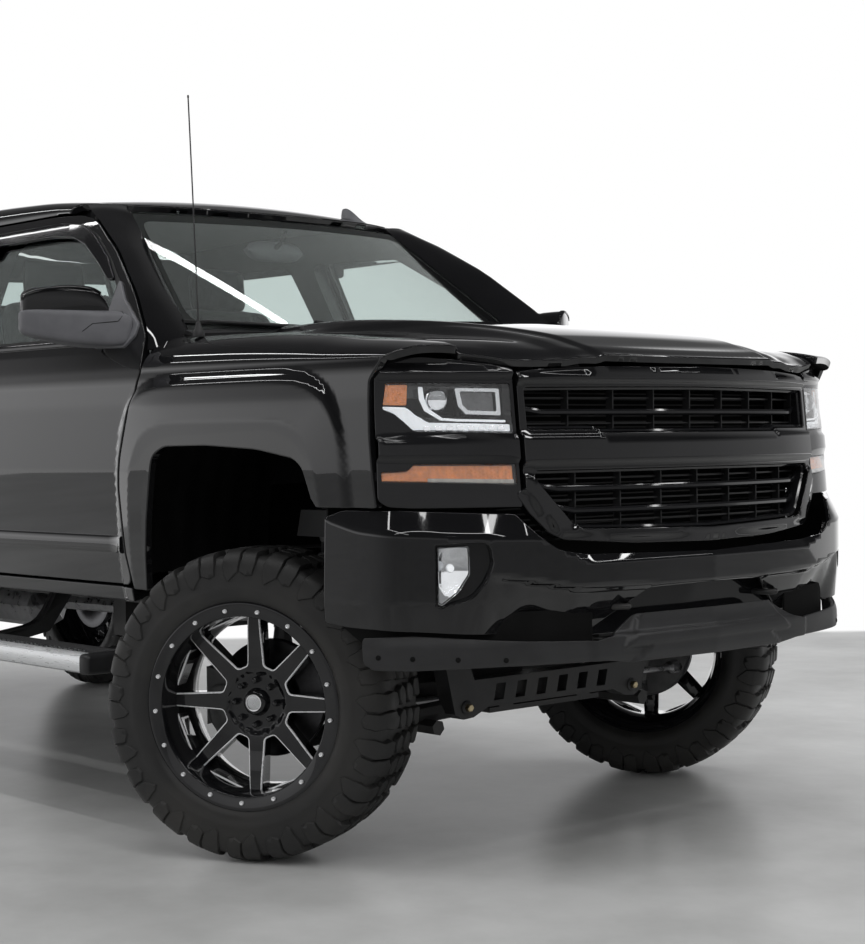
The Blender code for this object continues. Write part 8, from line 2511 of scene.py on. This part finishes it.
def make_seat(word, side):
    """Front seat: padded cushion, backrest and headrest on a frame with rails."""
    y = side * 0.38
    cushion(f"front_cushion_{word}", laid((0.395, y, 1.125), (1, 0, 0.10), (-0.10, 0, 1)), 0.51, 0.52,
            0.115, 0.016, bolster=0.026, cuts=(-0.42, 0.02, 0.46), rails=(0.60,), node="front_seats")
    back = Vector((-0.16, 0, 0.51)).normalized()
    face = Vector((0.51, 0, 0.16)).normalized()
    cushion(f"front_backrest_{word}", laid((0.100, y, 1.430), back, face), 0.50, 0.62, 0.105, 0.014,
            bolster=0.030, cuts=(-0.52, -0.15, 0.22, 0.58), rails=(0.60,), node="front_seats")
    cushion(f"front_headrest_{word}", laid((0.006, y, 1.800), (-0.10, 0, 1), (1, 0, 0.10)), 0.26, 0.175,
            0.085, 0.012, fill_share=0.8, node="front_seats")
    parts = []
    for dy in (-0.062, 0.062):
        parts.append(tube("post", [(0.012, y + dy, 1.76), (0.020, y + dy, 1.69), (0.035, y + dy, 1.62)],
                          0.006, CHROME, 12))
    for edge in (-1, 1):
        shield = rounded([(0.140, 1.010), (0.600, 1.010), (0.640, 1.085), (0.500, 1.110), (0.200, 1.130),
                          (0.130, 1.190), (0.095, 1.150)], 0.018, 4)
        y0, y1 = sorted((y + edge * 0.232, y + edge * 0.252))
        parts.append(prism("shield", shield, "Y", y0, y1, TRIM, 0.005))
    shell = rounded([(0.075, 1.150), (0.118, 1.190), (0.020, 1.520), (-0.055, 1.715), (-0.078, 1.700),
                     (-0.045, 1.480)], 0.015, 4)
    parts.append(prism("shell", shell, "Y", y - 0.225, y + 0.225, TRIM, 0.012))
    pan = rounded([(0.150, 1.030), (0.620, 1.030), (0.640, 1.075), (0.160, 1.085)], 0.012, 3)
    parts.append(prism("pan", pan, "Y", y - 0.225, y + 0.225, TRIM, 0.006))
    for dy in (-0.17, 0.17):
        rail = rounded([(0.110, 0.862), (0.640, 0.862), (0.650, 0.900), (0.100, 0.900)], 0.008, 3)
        parts.append(prism("rail", rail, "Y", y + dy - 0.022, y + dy + 0.022, STEEL, 0.003))
        leg = rounded([(0.170, 0.895), (0.560, 0.895), (0.520, 1.035), (0.210, 1.035)], 0.015, 3)
        parts.append(prism("leg", leg, "Y", y + dy - 0.010, y + dy + 0.010, STEEL, 0.003))
    dress(merged(f"front_seat_frame_{word}", parts), BODY, "seat_cloth", "front_seats")


def make_bench():
    """Rear bench of three padded places on a plinth."""
    slope = Vector((1, 0, 0.10))
    lift = Vector((-0.10, 0, 1))
    back = Vector((-0.12, 0, 0.56)).normalized()
    face = Vector((0.56, 0, 0.12)).normalized()
    for index, (y, wide) in enumerate(((-0.43, 0.455), (0.0, 0.395), (0.43, 0.455))):
        cushion(f"rear_cushion_{index}", laid((-0.590, y, 1.125), slope, lift), wide, 0.47, 0.120, 0.014,
                cuts=(-0.30, 0.30), rails=(0.72,) if index != 1 else (), node="rear_bench")
        cushion(f"rear_backrest_{index}", laid((-0.785, y, 1.430), back, face), wide, 0.58, 0.105, 0.012,
                cuts=(-0.45, 0.0, 0.45), rails=(0.72,) if index != 1 else (), node="rear_bench")
        if index != 1:
            cushion(f"rear_headrest_{index}", laid((-0.850, y, 1.765), (-0.06, 0, 1), (1, 0, 0.06)), 0.25,
                    0.145, 0.070, 0.008, fill_share=0.8, node="rear_bench")
    plinth = rounded([(-0.840, 0.862), (-0.430, 0.862), (-0.400, 1.060), (-0.830, 1.060)], 0.02, 4)
    skirt = prism("rear_bench_plinth", plinth, "Y", -0.640, 0.640, TRIM, 0.006)
    dress(skirt, BODY, "seat_cloth", "rear_bench")


def make_dashboard():
    """Moulding from a swept section, with stack, screen, knobs, vents and glove box lid."""
    section = [(1.235, 1.020), (1.455, 1.050), (1.455, 1.440), (1.400, 1.452), (1.300, 1.456),
               (1.180, 1.440), (1.095, 1.415), (1.068, 1.385), (1.064, 1.355), (1.090, 1.330),
               (1.110, 1.250), (1.118, 1.200), (1.140, 1.150), (1.190, 1.070)]
    base = rounded(section, [0.03, 0.02, 0.02, 0.1, 0.1, 0.1, 0.03, 0.02, 0.02, 0.03, 0.1, 0.05, 0.08,
                             0.08], 4)
    rings = []
    for k in range(33):
        y = 0.76 * (k / 16 - 1)
        bulge = 0.020 * smooth((abs(y) - 0.50) / 0.26)
        hump = smooth((0.230 - abs(y - 0.380)) / 0.09)
        stack = smooth((0.200 - abs(y)) / 0.05)
        ring = []
        for x, z in base:
            front = smooth((1.20 - x) / 0.10)
            top = smooth((z - 1.37) / 0.05)
            ring.append((x + bulge * front - 0.022 * stack * front * (1 - top), y,
                         z + 0.030 * hump * top * front))
        rings.append(ring)
    dress(loft("dashboard_moulding", rings, TRIM, sharp=45), BODY, "interior_trim", "dashboard")
    stack = rounded([(1.030, 0.862), (1.260, 0.862), (1.230, 1.110), (1.110, 1.330), (1.062, 1.330),
                     (1.045, 1.100)], 0.03, 4)
    parts = [prism("stack", stack, "Y", -0.135, 0.135, TRIM, 0.010)]
    parts.append(prism("screen_frame", rounded(rectangle(-0.115, 1.255, 0.115, 1.385), 0.012, 4),
                       "X", 1.040, 1.062, GLOSS, 0.003))
    parts.append(prism("screen", rounded(rectangle(-0.098, 1.270, 0.098, 1.372), 0.006, 3),
                       "X", 1.0375, 1.045, SCREEN, 0.001))
    for y in (-0.07, 0.07):
        knob = Matrix.Translation((1.052, y, 1.205)) @ Matrix.Rotation(radians(90), 4, "Z")
        parts.append(turned("knob", [(0.0, 0.026), (0.014, 0.026), (0.0165, 0.024), (0.0175, 0.004),
                                     (0.021, 0.0), (0.021, -0.01)], 32, SATIN, knob, sharp=30))
    for y in (-0.64, -0.20, 0.20, 0.64):
        wide = 0.062 if abs(y) > 0.5 else 0.048
        frame_line = rounded(rectangle(y - wide, 1.300, y + wide, 1.362), 0.012, 4)
        parts.append(prism("vent_frame", frame_line, "X", 1.058, 1.078, GLOSS, 0.003))
        for k in range(5):
            z = 1.309 + k * 0.0112
            parts.append(box("vane", (1.054, y - wide + 0.008, z), (1.070, y + wide - 0.008, z + 0.0035),
                             TRIM, 0.001))
    lid = rounded(rectangle(-0.68, 1.115, -0.26, 1.245), 0.018, 4)
    parts.append(prism("glove_lid", lid, "X", 1.098, 1.135, TRIM, 0.004))
    dress(merged("dashboard_fittings", parts), BODY, "interior_trim")


def make_console():
    """Console with cup wells and a padded lid."""
    body_line = rounded([(0.050, 0.862), (0.800, 0.862), (0.800, 1.020), (0.540, 1.060), (0.500, 1.140),
                         (0.080, 1.150), (0.050, 1.100)], 0.02, 4)
    parts = [prism("console", body_line, "Y", -0.120, 0.120, TRIM, 0.010)]
    for x in (0.60, 0.69):
        ring = Matrix.Translation((x, 0.0, 1.045)) @ Matrix.Rotation(radians(90), 4, "X")
        parts.append(turned("cup_ring", [(0.036, -0.008), (0.041, -0.008), (0.042, 0.000),
                                         (0.036, 0.003)], 40, SATIN, ring, closed=True))
    dress(merged("centre_console", parts), BODY, "seat_cloth")
    cushion("console_lid_pad", laid((0.285, 0, 1.168), (1, 0, 0), (0, 0, 1)), 0.215, 0.40, 0.050, 0.006,
            piping=False, node="front_seats", cells=(24, 30))


def thumb_swell(a):
    """Swells of the steering wheel's rim near its side spokes."""
    near = min(abs((a - g + pi) % (2 * pi) - pi) for g in (0.35, pi - 0.35))
    return exp(-(near / 0.22) ** 2)


def make_steering_wheel():
    """Rim, three spokes and hub, and the column with its stalks."""
    tilt = radians(24)
    centre = Vector((0.900, 0.380, 1.330))
    axis = Vector((cos(tilt), 0, -sin(tilt)))
    across = Vector((0, 1, 0))
    up = axis.cross(across)
    rim = []
    for a in turns(72):
        out = across * cos(a) + up * sin(a)
        grip = 0.0150 + 0.0018 * thumb_swell(a)
        rim.append([tuple(centre + out * (0.190 + grip * cos(b)) + axis * grip * sin(b))
                    for b in turns(16)])
    parts = [loft("rim", rim, TRIM, closed=True, sharp=60)]
    for a in (0.0, pi, -pi / 2):
        out = across * cos(a) + up * sin(a)
        turn = axis.cross(out)
        rings = []
        for t in (0.0, 0.25, 0.5, 0.75, 1.0):
            r = 0.045 + 0.135 * t
            wide = 0.034 - 0.016 * t
            ring = []
            for c, s in ((-1, 0), (-0.8, -1), (0.8, -1), (1, 0), (0.8, 1), (-0.8, 1)):
                lift = 0.020 * (1 - t) + 0.004 + 0.006 * s
                ring.append(tuple(centre + out * r + axis * lift + turn * wide * c))
            rings.append(ring)
        parts.append(loft("spoke", rings, SATIN, sharp=40))
    hub = [(0.0, -0.018), (0.040, -0.016), (0.058, -0.010), (0.066, 0.002), (0.066, 0.018),
           (0.050, 0.040), (0.034, 0.066), (0.0, 0.070)]
    stand = Matrix((up, axis, across)).transposed().to_4x4()
    stand.translation = centre
    parts.append(turned("hub", hub, 36, TRIM, stand, sharp=50))
    dress(merged("steering_wheel_rim", parts), "helm", "interior_trim", "steering_wheel")
    column = [tuple(centre + axis * 0.072), tuple(centre + axis * 0.10), tuple(centre + axis * 0.19)]
    shroud = tube("column_shroud", column, [0.040, 0.048, 0.060], TRIM, 24)
    stalks = []
    for way in (1, -1):
        root = centre + axis * 0.085 + across * way * 0.035
        stalks.append(tube("stalk", [tuple(root), tuple(root + across * way * 0.07 + up * 0.01),
                                     tuple(root + across * way * 0.125 + up * 0.025)],
                           [0.006, 0.005, 0.008], TRIM, 12))
    dress(merged("column_controls", [shroud] + stalks), BODY, "interior_trim")


# Chassis

def coat(name, mat):
    """Look and bevel for a node of the frame that shows as it is."""
    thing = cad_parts[name]
    if not thing.material_slots:
        thing.data.materials.append(mat)
    for slot in thing.material_slots:
        slot.material = mat
    add_bevel(thing, 0.003, 40, False)


def coat_chassis():
    for name, mat in (("ladder_frame", STEEL), ("front_subframe", STEEL), ("powertrain", CAST),
                      ("rear_axle", STEEL), ("exhaust", BRIGHT), ("fuel_tank", PLASTIC),
                      ("knuckle_left", CAST), ("knuckle_right", CAST), ("tie_rods", BRIGHT)):
        coat(name, mat)


def make_running_gear(word, side):
    """Front strut with its coil, crossmember bolt, brake hose and rear shock."""
    x, y = FRONT_AXLE_X, side * 0.560
    coil_turns, steps = 7, 16
    coil = []
    for k in range(coil_turns * steps + 1):
        a = 2 * pi * k / steps
        z = 0.560 + 0.300 * k / (coil_turns * steps)
        coil.append((x + 0.062 * cos(a), y + 0.062 * sin(a), z))
    parts = [tube("coil", coil, 0.0075, STEEL, 10)]
    stand = Matrix.Translation((x, y, 0)) @ Matrix.Rotation(radians(-90), 4, "X")
    body_line = [(0.0, -0.500), (0.026, -0.500), (0.030, -0.515), (0.030, -0.600), (0.060, -0.604),
                 (0.060, -0.612), (0.030, -0.616), (0.030, -0.760), (0.012, -0.764), (0.012, -0.880),
                 (0.060, -0.884), (0.064, -0.898), (0.0, -0.898)]
    parts.append(turned("damper", body_line, 32, CAST, stand, sharp=30))
    dress(merged(f"front_strut_{word}", parts), BODY, "black_steel")
    spot = Matrix.Translation((2.271, side * 0.363, 0.392)) @ Matrix.Rotation(radians(-90), 4, "Z")
    washer = [(0.0, 0.006), (0.017, 0.006), (0.021, 0.003), (0.021, -0.001)]
    head = [(0.0, 0.020), (0.0095, 0.020), (0.0125, 0.0175), (0.0125, 0.004)]
    bolt = [turned("washer", washer, 32, STEEL, spot, sharp=30),
            turned("head", head, 6, ZINC, spot, sharp=20)]
    dress(merged(f"crossmember_bolt_{word}", bolt), BODY, "bright_steel")
    hose = spline([(1.90, side * 0.52, 0.78), (1.93, side * 0.60, 0.66), (1.96, side * 0.66, 0.54),
                   (1.97, side * 0.70, 0.47)], 8)
    dress(tube(f"brake_hose_{word}", hose, 0.0055, SEAL, 10), BODY, "black_plastic")
    shock = [(-1.965, side * 0.34, 0.86), (-1.80, side * 0.35, 0.60), (-1.735, side * 0.345, 0.455)]
    shaft = tube("shaft", shock[1:], 0.010, BRIGHT, 14)
    tube_body = tube("body", shock[:2], 0.034, SATIN, 24)
    dress(merged(f"rear_shock_{word}", [shaft, tube_body]), BODY, "bright_steel")


def make_spare_wheel():
    spare = Matrix.Translation((-2.330, 0, 0.640)) @ Matrix.Rotation(radians(90), 4, "X")
    spare = spare @ Matrix.Diagonal((0.845, 0.74, 0.845, 1))
    make_tyre("spare_tread", BODY, spare, "spare_wheel")
    disc = [(0.0, 0.030), (0.060, 0.030), (0.075, 0.055), (0.110, 0.060), (0.190, 0.020), (0.225, 0.030),
            (0.240, 0.110), (0.285, 0.122), (0.290, 0.130), (0.296, 0.126), (0.290, -0.128),
            (0.235, -0.100), (0.225, 0.0), (0.100, 0.030), (0.0, 0.010)]
    dress(turned("spare_rim", disc, 64, STEEL, spare, sharp=35), BODY, "tyre_rubber")


def main():
    make_studio()
    for word, side in SIDES:
        make_door(True, word, side)
        make_door(False, word, side)
        make_fender(word, side)
        make_wheelhouse_liner(word, side)
        make_headlamp(word, side)
        make_tail_lamp(word, side)
        make_mirror(word, side)
        make_shade(word, side, True)
        make_shade(word, side, False)
        make_step(word, side)
        make_bed(word, side)
        make_bed_wall(word, side)
        make_bed_wheelhouse(word, side)
        make_seat(word, side)
    for word, side in SIDES:
        make_cab_side(word, side)
    make_roof()
    make_back_wall()
    make_cab_floor()
    make_cowl()
    make_windshield()
    make_cab_trim()
    make_hood()
    make_front_bumper()
    make_valance()
    make_rear_bumper()
    make_grille()
    make_grille_bars()
    make_cooler()
    make_wheels()
    make_antenna()
    make_roof_fin()
    make_bed_middle()
    make_tailgate()
    make_bench()
    make_dashboard()
    make_console()
    make_steering_wheel()
    coat_chassis()
    for word, side in SIDES:
        make_running_gear(word, side)
    make_spare_wheel()


main()
